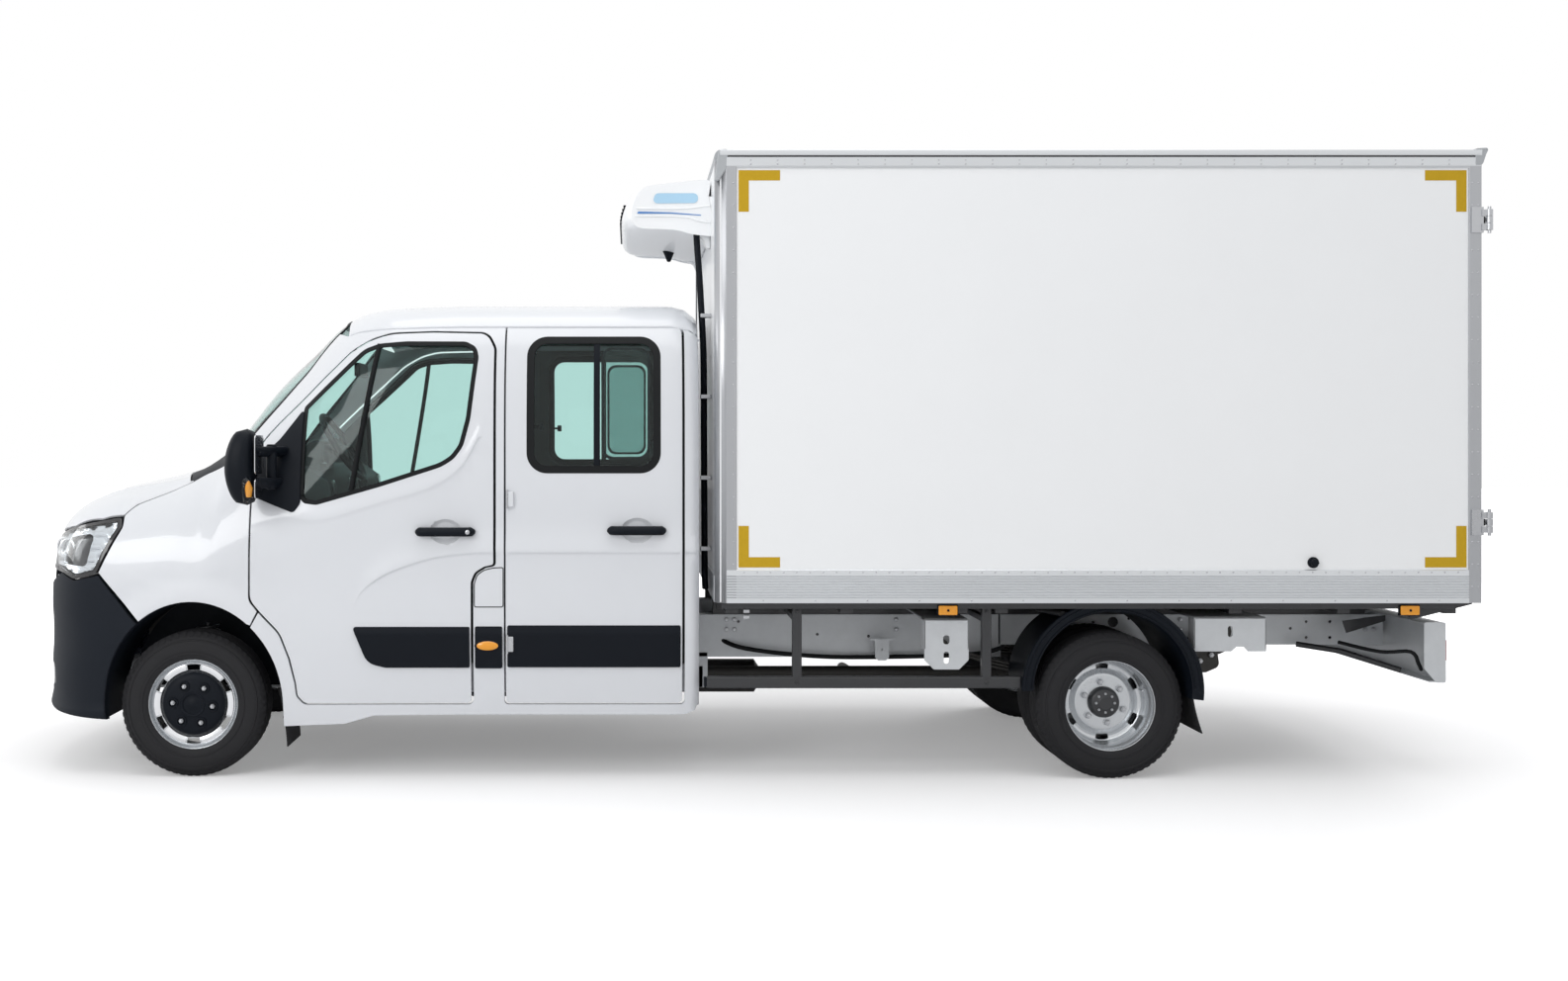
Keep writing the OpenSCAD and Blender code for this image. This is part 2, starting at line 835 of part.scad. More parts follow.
placed() chassis_frame();
placed() box_subframe();
placed() box_floor();
placed() box_side_wall(LEFT);  // box_left_wall
placed() box_side_wall(RIGHT);  // box_right_wall
placed() box_front_wall();
placed() box_roof();
placed() box_rear_frame();
placed() refrigeration_unit();
placed() cargo_door(LEFT);  // cargo_door_left
placed() cargo_door(RIGHT);  // cargo_door_right
placed() lock_rods(LEFT);  // lock_rods_left
placed() lock_rods(RIGHT);  // lock_rods_right
placed() cab_body();
placed() front_wings();
placed() bonnet();
placed() front_bumper();
placed() front_grille();
placed() headlights();
placed() windscreen();
placed() front_door(LEFT);  // front_door_left
placed() front_door(RIGHT);  // front_door_right
placed() front_glass(LEFT);  // front_glass_left
placed() front_glass(RIGHT);  // front_glass_right
placed() mirror_arm(LEFT);  // mirror_left
placed() mirror_arm(RIGHT);  // mirror_right
placed() crew_door(LEFT);  // crew_door_left
placed() crew_door(RIGHT);  // crew_door_right
placed() crew_glass(LEFT);  // crew_glass_left
placed() crew_glass(RIGHT);  // crew_glass_right
placed() dashboard();
placed() steering_wheel();
placed() seats();
placed() engine_block();
placed() front_axle();
placed() knuckle(LEFT);  // knuckle_left
placed() knuckle(RIGHT);  // knuckle_right
placed() front_tyre(LEFT);  // front_tyre_left
placed() front_tyre(RIGHT);  // front_tyre_right
placed() front_rim(LEFT);  // front_rim_left
placed() front_rim(RIGHT);  // front_rim_right
placed() rear_axle();
placed() leaf_springs();
placed() rear_tyres(LEFT);  // rear_tyres_left
placed() rear_tyres(RIGHT);  // rear_tyres_right
placed() rear_rims(LEFT);  // rear_rims_left
placed() rear_rims(RIGHT);  // rear_rims_right
placed() driveshaft();
placed() exhaust();
placed() fuel_tank();
placed() mudguards();
placed() side_guards();
placed() rear_bumper();
placed() tail_lights();
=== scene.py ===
# %% [markdown]
# # A refrigerated truck with a crew cab
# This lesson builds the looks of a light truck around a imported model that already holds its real
# sizes and its joints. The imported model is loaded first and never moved: each visible piece is
# made in metres in the same space, then told which body it rides on.

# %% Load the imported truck
import math

import bmesh
import bpy
from mathutils import Matrix, Vector, geometry, noise


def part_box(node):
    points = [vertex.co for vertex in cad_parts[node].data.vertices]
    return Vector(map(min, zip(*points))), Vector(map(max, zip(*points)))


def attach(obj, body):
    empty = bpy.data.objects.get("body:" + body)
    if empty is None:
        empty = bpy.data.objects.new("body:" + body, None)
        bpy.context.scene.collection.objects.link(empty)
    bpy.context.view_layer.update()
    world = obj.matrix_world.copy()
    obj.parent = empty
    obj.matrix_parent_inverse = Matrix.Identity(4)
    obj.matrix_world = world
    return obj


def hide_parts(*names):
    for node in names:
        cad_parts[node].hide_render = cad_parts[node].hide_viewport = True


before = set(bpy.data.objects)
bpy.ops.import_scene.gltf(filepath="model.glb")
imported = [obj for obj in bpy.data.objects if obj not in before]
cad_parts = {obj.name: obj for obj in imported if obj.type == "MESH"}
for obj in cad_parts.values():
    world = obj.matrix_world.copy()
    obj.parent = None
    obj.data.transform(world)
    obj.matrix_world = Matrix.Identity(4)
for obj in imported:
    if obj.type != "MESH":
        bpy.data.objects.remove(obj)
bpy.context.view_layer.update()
LEFT, RIGHT = -1, 1
SIDES = ((LEFT, "left"), (RIGHT, "right"))

# %% [markdown]
# Every place is worked out from a few stations of the imported model: the two axles and the box's
# corners. X runs rearwards, so lengths on the cab are easiest to give from the front axle, and
# `at` turns such a length into the truck's own X.

# %% Driving places taken from the frame
tyre_low, tyre_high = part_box("front_tyre_left")
AXLE_X = (tyre_low[0] + tyre_high[0]) / 2
TYRE_R = (tyre_high[2] - tyre_low[2]) / 2
TYRE_W = tyre_high[1] - tyre_low[1]
FRONT_TRACK = -(tyre_low[1] + tyre_high[1]) / 2
rear_low, rear_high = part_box("rear_tyres_left")
REAR_X = (rear_low[0] + rear_high[0]) / 2
REAR_OUTER = -rear_low[1] - TYRE_W / 2
REAR_INNER = -rear_high[1] + TYRE_W / 2
wall_low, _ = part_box("box_left_wall")
BOX_FRONT = wall_low[0]
BOX_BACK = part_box("box_rear_frame")[0][0] + 0.05
BOX_HALF = -wall_low[1]
BOX_LOW, BOX_HIGH = wall_low[2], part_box("box_roof")[1][2]


def at(x):
    """A distance behind the front axle, as the truck's X."""
    return AXLE_X + x


print(f"wheelbase {REAR_X - AXLE_X:.3f} m, box {BOX_BACK - BOX_FRONT:.2f} x {2 * BOX_HALF:.2f} m")

# %% [markdown]
# ## The camera
# The truck is seen square from its left side, from a person's eye height. A shifted lens keeps
# the picture's plane parallel to the truck while the view stands off its middle, as an
# architect's camera does, so upright lines stay upright.

# %% Camera with a shifted lens
camera_data = bpy.data.cameras.new("side_camera")
camera = bpy.data.objects.new("side_camera", camera_data)
bpy.context.scene.collection.objects.link(camera)
camera.location = (at(2.069), -8.5, 1.62)
camera.rotation_euler = (math.radians(90), 0, 0)
camera_data.sensor_width = 36
camera_data.lens = 36 * 1609 / 1586
camera_data.shift_x = 156 / 1586
camera_data.shift_y = -56 / 1586
camera_data.clip_end = 200
bpy.context.scene.camera = camera
print("lens:", round(camera_data.lens, 1), "mm")

# %% [markdown]
# ## The studio
# A pale floor meets a white world, so the truck stands on nothing but its own shadow. The white
# is added only for what the camera, the glass and the metal see. The truck itself is lit by a
# plain level of soft light, so that a colour renders about as it is written.

# %% Floor, world and soft lamps
def nodes_of(material):
    """Switches a material to nodes and returns its tree and its main shader."""
    material.use_nodes = True
    tree = material.node_tree
    return tree, tree.nodes["Principled BSDF"]


def wire(tree, kind, **inputs):
    """Adds a node of one kind, sets its plain inputs by name and links those that are sockets."""
    node = tree.nodes.new(kind)
    for key, value in inputs.items():
        socket = node.inputs[key.replace("_", " ")] if not isinstance(key,
            int) else node.inputs[key]
        if isinstance(value, bpy.types.NodeSocket):
            tree.links.new(value, socket)
        else:
            socket.default_value = value
    return node


world = bpy.data.worlds.new("studio")
bpy.context.scene.world = world
world.use_nodes = True
wtree = world.node_tree
background = wtree.nodes["Background"]
path = wtree.nodes.new("ShaderNodeLightPath")
seen = path.outputs["Is Camera Ray"]
for kind in ("Is Glossy Ray", "Is Transmission Ray"):
    either = wtree.nodes.new("ShaderNodeMath")
    either.operation = "MAXIMUM"
    wtree.links.new(seen, either.inputs[0])
    wtree.links.new(path.outputs[kind], either.inputs[1])
    seen = either.outputs[0]
level = wtree.nodes.new("ShaderNodeMapRange")
level.inputs["To Min"].default_value = 0.55
level.inputs["To Max"].default_value = 1.0
wtree.links.new(seen, level.inputs["Value"])
background.inputs["Color"].default_value = (1, 1, 1, 1)
wtree.links.new(level.outputs["Result"], background.inputs["Strength"])

floor_mesh = bpy.data.meshes.new("studio_floor")
floor_mesh.from_pydata([(-40, -40, 0), (40, -40, 0), (40, 40, 0), (-40, 40, 0)], [], [(0, 1, 2, 3)])
studio_floor = bpy.data.objects.new("studio_floor", floor_mesh)
bpy.context.scene.collection.objects.link(studio_floor)
floor_finish = bpy.data.materials.new("pale_floor")
ftree, fshader = nodes_of(floor_finish)
fshader.inputs["Base Color"].default_value = (0.86, 0.86, 0.87, 1)
fshader.inputs["Roughness"].default_value = 0.9
fshader.inputs["Emission Color"].default_value = (1, 1, 1, 1)
fpath = ftree.nodes.new("ShaderNodeLightPath")
near = ftree.nodes.new("ShaderNodeVectorMath")
near.operation = "LENGTH"
ftree.links.new(ftree.nodes.new("ShaderNodeNewGeometry").outputs["Position"], near.inputs[0])
fade = ftree.nodes.new("ShaderNodeMapRange")
for name, value in (("From Min", 3.0), ("From Max", 10.0), ("To Min", 0.24), ("To Max", 1.0)):
    fade.inputs[name].default_value = value
ftree.links.new(near.outputs["Value"], fade.inputs["Value"])
glow = ftree.nodes.new("ShaderNodeMath")
glow.operation = "MULTIPLY"
ftree.links.new(fade.outputs["Result"], glow.inputs[1])
ftree.links.new(fpath.outputs["Is Camera Ray"], glow.inputs[0])
ftree.links.new(glow.outputs[0], fshader.inputs["Emission Strength"])
floor_mesh.materials.append(floor_finish)


def soft_lamp(name, place, aim, size, watts):
    """A square area lamp at a place, turned to face a point."""
    data = bpy.data.lights.new(name, "AREA")
    data.shape = "SQUARE"
    data.size = size
    data.energy = watts
    lamp = bpy.data.objects.new(name, data)
    lamp.location = place
    lamp.rotation_euler = (Vector(aim) - Vector(place)).to_track_quat("-Z", "Y").to_euler()
    bpy.context.scene.collection.objects.link(lamp)
    return lamp


soft_lamp("top_lamp", (0, -1.5, 9), (0, 0, 0), 9, 340)
soft_lamp("front_side_lamp", (-7, -9, 5.5), (0, 0, 1.4), 5, 330)
soft_lamp("back_side_lamp", (7, 9, 5.5), (0, 0, 1.4), 5, 220)
soft_lamp("nose_lamp", (-11, 2, 4), (-2, 0, 1), 4, 120)
bpy.context.scene.view_settings.view_transform = "Standard"
print("lamps:", len(bpy.data.lights))

# %% [markdown]
# ## Finishes
# Each finish is a small node tree: a colour that varies a little, as paint, plastic and rubber
# do, and a fine bump at its real scale. White paint has a hardly visible orange-peel ripple
# under a clear coat. The box's panels are gelcoat, a softer white. Grained plastic, brushed
# metal, galvanised steel and tyre rubber follow.

# %% Finish maker
def finish(name, colour, rough, metal=0.0, coat=0.0, ripple=None, mottle=0.0, grain=(1, 1, 1),
           rough_spread=0.0, alpha=1.0, ior=1.5, mottle_scale=6.0, shine=0.5, clear=0.0):
    """A finish with a base colour, a bump called ripple (scale, height in metres) and a mottle."""
    made = bpy.data.materials.new(name)
    tree, shader = nodes_of(made)
    shader.inputs["Base Color"].default_value = (*colour, 1)
    shader.inputs["Roughness"].default_value = rough
    shader.inputs["Metallic"].default_value = metal
    shader.inputs["Coat Weight"].default_value = coat
    shader.inputs["Coat Roughness"].default_value = 0.06
    shader.inputs["IOR"].default_value = ior
    shader.inputs["Alpha"].default_value = alpha
    shader.inputs["Specular IOR Level"].default_value = shine
    shader.inputs["Transmission Weight"].default_value = clear
    space = tree.nodes.new("ShaderNodeTexCoord").outputs["Object"]
    stretched = wire(tree, "ShaderNodeMapping", Vector=space, Scale=grain).outputs["Vector"]
    if mottle:
        cloud = wire(tree, "ShaderNodeTexNoise", Vector=stretched, Scale=mottle_scale, Detail=5.0,
                     Roughness=0.6)
        tint = tree.nodes.new("ShaderNodeMapRange")
        tint.inputs["To Min"].default_value = 1 - mottle
        tint.inputs["To Max"].default_value = 1 + mottle
        tree.links.new(cloud.outputs["Fac"], tint.inputs["Value"])
        shade = tree.nodes.new("ShaderNodeVectorMath")
        shade.operation = "SCALE"
        shade.inputs[0].default_value = colour
        tree.links.new(tint.outputs["Result"], shade.inputs["Scale"])
        tree.links.new(shade.outputs["Vector"], shader.inputs["Base Color"])
        if rough_spread:
            spread = tree.nodes.new("ShaderNodeMapRange")
            spread.inputs["To Min"].default_value = rough - rough_spread
            spread.inputs["To Max"].default_value = rough + rough_spread
            tree.links.new(cloud.outputs["Fac"], spread.inputs["Value"])
            tree.links.new(spread.outputs["Result"], shader.inputs["Roughness"])
    if ripple:
        fine = wire(tree, "ShaderNodeTexNoise", Vector=stretched, Scale=ripple[0], Detail=2.0)
        bump = wire(tree, "ShaderNodeBump", Height=fine.outputs["Fac"], Strength=1.0,
                    Distance=ripple[1])
        tree.links.new(bump.outputs["Normal"], shader.inputs["Normal"])
    return made


# %% The truck's finishes
WHITE = (0.715, 0.735, 0.77)
white_paint = finish("white_paint", WHITE, 0.32, coat=0.7, ripple=(420, 0.00004), mottle=0.012)
gelcoat = finish("white_gelcoat", (0.91, 0.925, 0.94), 0.38, coat=0.25, ripple=(60, 0.00012),
                 mottle=0.012, mottle_scale=2.2)
black_plastic = finish("grained_black_plastic", (0.004, 0.006, 0.010), 0.5, ripple=(900, 0.00012),
                       mottle=0.12, rough_spread=0.08, shine=0.14)
bumper_plastic = finish("grained_grey_plastic", (0.009, 0.012, 0.018), 0.55, ripple=(900, 0.00014),
                        mottle=0.1, rough_spread=0.07, shine=0.15)
gloss_black = finish("gloss_black", (0.012, 0.012, 0.014), 0.12, coat=0.5, mottle=0.1)
seal_rubber = finish("window_seal", (0.006, 0.007, 0.008), 0.6, ripple=(300, 0.0001), mottle=0.1,
                     shine=0.2)
black_steel = finish("black_steel", (0.022, 0.023, 0.026), 0.42, coat=0.2, ripple=(140, 0.0002),
                     mottle=0.25, rough_spread=0.1)
cast_steel = finish("dark_cast_steel", (0.06, 0.058, 0.055), 0.62, metal=0.5, ripple=(160, 0.0005),
                    mottle=0.35, rough_spread=0.1)
galvanised = finish("galvanised_frame", (0.56, 0.58, 0.60), 0.45, metal=0.35,
                    ripple=(55, 0.00025), mottle=0.1, rough_spread=0.1, mottle_scale=14)
brushed_rail = finish("brushed_aluminium", (0.66, 0.68, 0.70), 0.34, metal=0.85,
                      ripple=(260, 0.0001), mottle=0.08, grain=(0.12, 1, 1), rough_spread=0.07)
brushed_upright = finish("brushed_upright", (0.44, 0.45, 0.47), 0.34, metal=0.85,
                         ripple=(260, 0.0001), mottle=0.08, grain=(1, 1, 0.12), rough_spread=0.07)
zinc = finish("bright_zinc", (0.50, 0.51, 0.53), 0.28, metal=0.9, ripple=(90, 0.0001),
              mottle=0.08, rough_spread=0.08)
wheel_silver = finish("silver_wheel_paint", (0.58, 0.60, 0.62), 0.26, metal=0.8, coat=0.2,
                      ripple=(300, 0.00005), mottle=0.06, rough_spread=0.05)
polished = finish("polished_steel", (0.80, 0.81, 0.83), 0.14, metal=1.0, ripple=(40, 0.00004),
                  mottle=0.04)
rubber = finish("tyre_rubber", (0.014, 0.014, 0.016), 0.72, ripple=(380, 0.0003), mottle=0.22,
                rough_spread=0.08, shine=0.3)
yellow_tape = finish("ochre_marking", (0.56, 0.35, 0.016), 0.5, ripple=(700, 0.00006),
                     mottle=0.07, mottle_scale=40, shine=0.2)
amber = finish("amber_lens", (0.85, 0.33, 0.006), 0.15, coat=0.6, ripple=(260, 0.0003), mottle=0.06)
red_lens = finish("red_lens", (0.5, 0.02, 0.015), 0.15, coat=0.6, ripple=(260, 0.0003),
                  mottle=0.06)
clear_lens = finish("clear_lens", (0.93, 0.95, 0.96), 0.02, ior=1.3, clear=1.0, mottle=0.02)
lamp_chrome = finish("lamp_reflector", (0.75, 0.77, 0.80), 0.15, metal=1.0, ripple=(120, 0.0003),
                     mottle=0.05)
green_glass = finish("tinted_glass", (0.66, 0.845, 0.815), 0.01, ior=1.3, clear=1.0, mottle=0.01)
dark_glass = finish("shaded_glass", (0.50, 0.60, 0.59), 0.01, ior=1.3, clear=1.0, mottle=0.01)
seat_cloth = finish("seat_cloth", (0.035, 0.037, 0.042), 0.95, ripple=(1400, 0.0008), mottle=0.25,
                    mottle_scale=90)
trim_grey = finish("interior_trim", (0.075, 0.08, 0.085), 0.7, ripple=(700, 0.0002), mottle=0.1)
trim_pale = finish("roof_lining", (0.33, 0.34, 0.34), 0.95, ripple=(900, 0.0003), mottle=0.06)
blue_stripe = finish("blue_stripe", (0.06, 0.22, 0.55), 0.35, coat=0.3, mottle=0.03)
pale_blue = finish("pale_blue_label", (0.42, 0.66, 0.85), 0.35, coat=0.3, mottle=0.03)
grey_shell = finish("grey_shell", (0.42, 0.44, 0.46), 0.45, ripple=(400, 0.0001), mottle=0.04)
deck_ply = finish("deck_surface", (0.16, 0.155, 0.15), 0.7, ripple=(220, 0.0006), mottle=0.15,
                  mottle_scale=30)
print("finishes:", len(bpy.data.materials))

# %% [markdown]
# ## Making pieces
# Every piece goes through one small maker, which links the mesh, gives it a finish and says
# which body it rides on. Blocks get bevelled edges, bars follow a path, turned pieces spin a
# profile about the axle, and plates are outlines given a thickness.

# %% The maker of pieces
made = {}


def piece(name, verts, faces, finish_used, body="truck", slot="white_paint", smooth=None,
          bevel=0.0, segments=2, replaces=()):
    """Makes an object from points and faces, and puts it on a body of the truck."""
    mesh = bpy.data.meshes.new(name)
    mesh.from_pydata([tuple(v) for v in verts], [], [tuple(f) for f in faces])
    mesh.update()
    obj = bpy.data.objects.new(name, mesh)
    bpy.context.scene.collection.objects.link(obj)
    finishes = finish_used if isinstance(finish_used, (list, tuple)) else [finish_used]
    for one in finishes:
        mesh.materials.append(one)
    if smooth is not None:
        mesh.shade_smooth()
        if smooth < 180:
            mesh.set_sharp_from_angle(angle=math.radians(smooth))
    if bevel:
        round_edges = obj.modifiers.new("round_edges", "BEVEL")
        round_edges.width = bevel
        round_edges.segments = segments
        round_edges.limit_method = "ANGLE"
        round_edges.angle_limit = math.radians(32)
        round_edges.harden_normals = smooth is not None
    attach(obj, body)
    if replaces:
        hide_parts(*replaces)
    made[name] = obj
    return obj


def join(parts):
    """Joins several (points, faces) lists into one."""
    verts, faces = [], []
    for some_verts, some_faces in parts:
        base = len(verts)
        verts += [tuple(v) for v in some_verts]
        faces += [tuple(i + base for i in f) for f in some_faces]
    return verts, faces


def block(low, high):
    """A box between two corners."""
    (x0, y0, z0), (x1, y1, z1) = low, high
    verts = [(x, y, z) for x in (x0, x1) for y in (y0, y1) for z in (z0, z1)]
    return verts, [(0, 1, 3, 2), (4, 6, 7, 5), (0, 4, 5, 1), (2, 3, 7, 6), (0, 2, 6, 4),
                   (1, 5, 7, 3)]


def plate(outline, place, thick):
    """An outline of 2D points with a thickness: place turns (u, v, depth) into a 3D point."""
    n = len(outline)
    verts = [place(u, v, 0) for u, v in outline] + [place(u, v, thick) for u, v in outline]
    faces = [tuple(range(n)), tuple(reversed(range(n, 2 * n)))]
    faces += [(i, n + i, n + (i + 1) % n, (i + 1) % n) for i in range(n)]
    return verts, faces


def bar(points, radius, sides=12, closed=False, flat=1.0):
    """A round bar that follows a path, with a steady twist."""
    points = [Vector(p) for p in points]
    n = len(points)
    verts, faces = [], []
    across = None
    for i, p in enumerate(points):
        ahead = points[(i + 1) % n] if closed or i < n - 1 else p
        behind = points[i - 1] if closed or i else p
        along = (ahead - behind).normalized()
        if across is None:
            across = along.orthogonal().normalized()
        across = (across - along * across.dot(along)).normalized()
        other = along.cross(across)
        r = radius[i] if isinstance(radius, (list, tuple)) else radius
        for k in range(sides):
            a = 2 * math.pi * k / sides
            verts.append(p + across * (r * math.cos(a)) + other * (r * flat * math.sin(a)))
    for i in range(n if closed else n - 1):
        for k in range(sides):
            a, b = i * sides + k, i * sides + (k + 1) % sides
            c, d = ((i + 1) % n) * sides + (k + 1) % sides, ((i + 1) % n) * sides + k
            faces.append((a, b, c, d))
    if not closed:
        faces.append(tuple(reversed(range(sides))))
        faces.append(tuple(range((n - 1) * sides, n * sides)))
    return verts, faces


def turned(profile, centre, side=LEFT, steps=72, closed=False, start=0.0, turn=2 * math.pi):
    """A profile of (radius, outward) pairs spun about an axle that runs outward to one side."""
    full = abs(turn - 2 * math.pi) < 1e-6
    count = steps if full else steps + 1
    verts, faces = [], []
    for k in range(count):
        a = start + turn * k / steps
        for r, out in profile:
            verts.append((centre[0] + r * math.cos(a), centre[1] + side * out,
                          centre[2] + r * math.sin(a)))
    n = len(profile)
    for k in range(steps):
        here, there = k * n, ((k + 1) % count) * n
        for i in range(n if closed else n - 1):
            j = (i + 1) % n
            quad = (here + i, here + j, there + j, there + i)
            faces.append(quad if side == RIGHT else quad[::-1])
    return verts, faces


def fillet(points, radius, steps=6):
    """Rounds each corner of a closed outline: radius is one number or one for each corner."""
    out = []
    n = len(points)
    for i in range(n):
        p, a, b = Vector(points[i]), Vector(points[i - 1]), Vector(points[(i + 1) % n])
        r = radius[i] if isinstance(radius, (list, tuple)) else radius
        da, db = (a - p), (b - p)
        la, lb = da.length, db.length
        da, db = da / la, db / lb
        half = math.acos(max(-1, min(1, da.dot(db)))) / 2
        if r <= 0 or half > math.radians(88):
            out.append(tuple(p))
            continue
        reach = min(r / math.tan(half), 0.48 * la, 0.48 * lb)
        r_here = reach * math.tan(half)
        mid = p + (da + db).normalized() * (r_here / math.sin(half))
        start, end = p + da * reach - mid, p + db * reach - mid
        sweep = start.angle_signed(end)
        for k in range(steps + 1):
            a_k = -sweep * k / steps
            c, s = math.cos(a_k), math.sin(a_k)
            out.append((mid.x + start.x * c - start.y * s, mid.y + start.x * s + start.y * c))
    return out


def smooth_curve(points, steps=6, closed=False):
    """A Catmull-Rom curve through the points."""
    pts = [Vector(p) for p in points]
    n = len(pts)
    out = []
    for i in range(n if closed else n - 1):
        p0 = pts[i - 1] if closed or i else pts[0]
        p1, p2 = pts[i], pts[(i + 1) % n]
        p3 = pts[(i + 2) % n] if closed or i < n - 2 else pts[-1]
        for k in range(steps):
            t = k / steps
            out.append(tuple(0.5 * ((2 * p1) + (p2 - p0) * t
                                    + (2 * p0 - 5 * p1 + 4 * p2 - p3) * t * t
                                    + (3 * p1 - p0 - 3 * p2 + p3) * t ** 3)))
    if not closed:
        out.append(tuple(pts[-1]))
    return out


print("makers ready")

# %% [markdown]
# ## The cab's surface
# The cab is one smooth surface. It is given as sections across the cab, each with a bottom, a
# top, a half width and a roundness, joined by smooth curves along the truck. Body panels are
# then laid on that surface, so neighbours always meet in one sweep, as pressed panels do.

# %% Sections along the cab and the surface between them
NOSE_TIP, NOSE_DEPTH, NOSE_POWER, KNEE = 0.869, 0.519, 2.35, 0.96


def nose_half(x):
    inward = (NOSE_DEPTH - NOSE_TIP - x) / NOSE_DEPTH
    return 1.0 if inward <= 0 else (1 - min(inward, 1) ** NOSE_POWER) ** (1 / NOSE_POWER)


STATIONS = [(x, low, top, nose_half(x), 3.4) for x, low, top in (
    (-0.864, 0.345, 0.76), (-0.845, 0.305, 0.90), (-0.820, 0.275, 1.044), (-0.790, 0.255, 1.16),
    (-0.740, 0.242, 1.245), (-0.670, 0.238, 1.292), (-0.560, 0.235, 1.338),
    (-0.430, 0.235, 1.376))] + [
    (-0.300, 0.235, 1.406, 1.006, 3.2), (-0.110, 0.235, 1.460, 1.016, 3.0),
    (0.060, 0.235, 1.600, 1.024, 2.3), (0.300, 0.235, 1.905, 1.032, 2.4),
    (0.480, 0.240, 2.070, 1.035, 2.7), (0.640, 0.250, 2.200, 1.035, 3.4),
    (0.780, 0.265, 2.248, 1.035, 4.4), (0.960, 0.300, 2.262, 1.035, 5.4),
    (1.340, 0.320, 2.268, 1.035, 6.0), (2.250, 0.322, 2.268, 1.035, 6.0),
    (2.370, 0.322, 2.240, 1.020, 5.4), (2.400, 0.326, 2.200, 0.985, 5.0)]


def slopes(column):
    """Slopes at the stations that never overshoot, for one column of the table."""
    xs = [s[0] for s in STATIONS]
    ys = [s[column] for s in STATIONS]
    step = [(ys[i + 1] - ys[i]) / (xs[i + 1] - xs[i]) for i in range(len(xs) - 1)]
    out = [step[0]]
    for i in range(1, len(xs) - 1):
        a, b = step[i - 1], step[i]
        out.append(0 if a * b <= 0 else 2 * a * b / (a + b))
    return out + [step[-1]]


SLOPES = [None] + [slopes(c) for c in range(1, 5)]


def section(x):
    """Bottom, top, half width and roundness at a distance behind the front axle."""
    x = max(STATIONS[0][0], min(STATIONS[-1][0], x))
    i = max(k for k in range(len(STATIONS) - 1) if STATIONS[k][0] <= x)
    a, b = STATIONS[i], STATIONS[i + 1]
    h = b[0] - a[0]
    t = (x - a[0]) / h
    basis = (1 + 2 * t) * (1 - t) ** 2, t * (1 - t) ** 2, t * t * (3 - 2 * t), t * t * (t - 1)
    out = [basis[0] * a[c] + basis[1] * h * SLOPES[c][i] + basis[2] * b[c]
           + basis[3] * h * SLOPES[c][i + 1] for c in range(1, 5)]
    if x < -0.35:
        out[2] = nose_half(x)
    return out


def half_width(x, z):
    """How far the cab's skin stands from the middle plane, or 0 above the roof."""
    low, top, half, power = section(x)
    knee = min(KNEE, (low + top) / 2)
    if z >= knee:
        rise = (z - knee) / (top - knee)
        return 0.0 if rise >= 1 else half * (1 - rise ** power) ** (1 / power)
    fall = (knee - z) / (knee - low)
    return half * (1 - 0.045 * max(0.0, min(fall, 1.3) - 0.1) ** 2 / 0.81)


def crown(x, y):
    """The height of the cab's skin above a point, for the roof and the bonnet."""
    low, top, half, power = section(x)
    knee = min(KNEE, (low + top) / 2)
    out = abs(y) / half
    return knee if out >= 1 else knee + (top - knee) * (1 - out ** power) ** (1 / power)


def nose_reach(angle, z):
    """The skin's distance from the nose's middle at an angle from straight ahead."""
    near, far = 0.0, 1.4
    for _ in range(26):
        r = (near + far) / 2
        x, y = -0.25 - r * math.cos(angle), r * math.sin(angle)
        inside = x > -NOSE_TIP and half_width(max(x, -0.864), z) > abs(y)
        near, far = (r, far) if inside else (near, r)
    return near


def on_flank(side):
    """Turns (x behind the front axle, z, depth) into a point on one flank of the cab."""
    return lambda x, z, depth=0.0: Vector((at(x), side * (half_width(x, z) - depth), z))


def on_crown(x, y, depth=0.0):
    return Vector((at(x), y, crown(x, y) - depth))


def on_nose(angle, z, depth=0.0):
    r = nose_reach(angle, z) - depth
    return Vector((at(-0.25 - r * math.cos(angle)), -r * math.sin(angle), z))


print(f"cab at the waist: {2 * half_width(1.5, 1.0):.3f} m wide, {crown(1.5, 0):.3f} m high")

# %% [markdown]
# ## Panels on the surface
# A panel is drawn as a flat outline, rounded at its corners and filled with small triangles,
# then wrapped onto the surface. Its rim rolls inwards over a few millimetres, like a folded
# sheet's edge, which is what makes a shut line catch the light. The shading comes from the
# surface itself, so it stays smooth however the triangles fall.

# %% The panel maker
def split_long(points, step):
    out = []
    n = len(points)
    for i in range(n):
        a, b = Vector(points[i]), Vector(points[(i + 1) % n])
        count = max(1, round((b - a).length / step))
        out += [tuple(a.lerp(b, k / count)) for k in range(count)]
    return out


def inset(points, distance):
    """A closed outline drawn in by a distance, for outlines that turn anticlockwise."""
    n = len(points)
    out = []
    for i in range(n):
        a, p, b = Vector(points[i - 1]), Vector(points[i]), Vector(points[(i + 1) % n])
        d1, d2 = (p - a).normalized(), (b - p).normalized()
        n1, n2 = Vector((-d1.y, d1.x)), Vector((-d2.y, d2.x))
        mid = n1 + n2
        mid = mid / max(mid.length_squared, 0.3)
        out.append(tuple(p + mid * (2 * distance)))
    return out


def area(points):
    return sum(points[i - 1][0] * p[1] - p[0] * points[i - 1][1] for i, p in enumerate(points)) / 2


def contains(points, u, v):
    hit = False
    for i, (bx, by) in enumerate(points):
        ax, ay = points[i - 1]
        if (ay > v) != (by > v) and u < (bx - ax) * (v - ay) / (by - ay) + ax:
            hit = not hit
    return hit


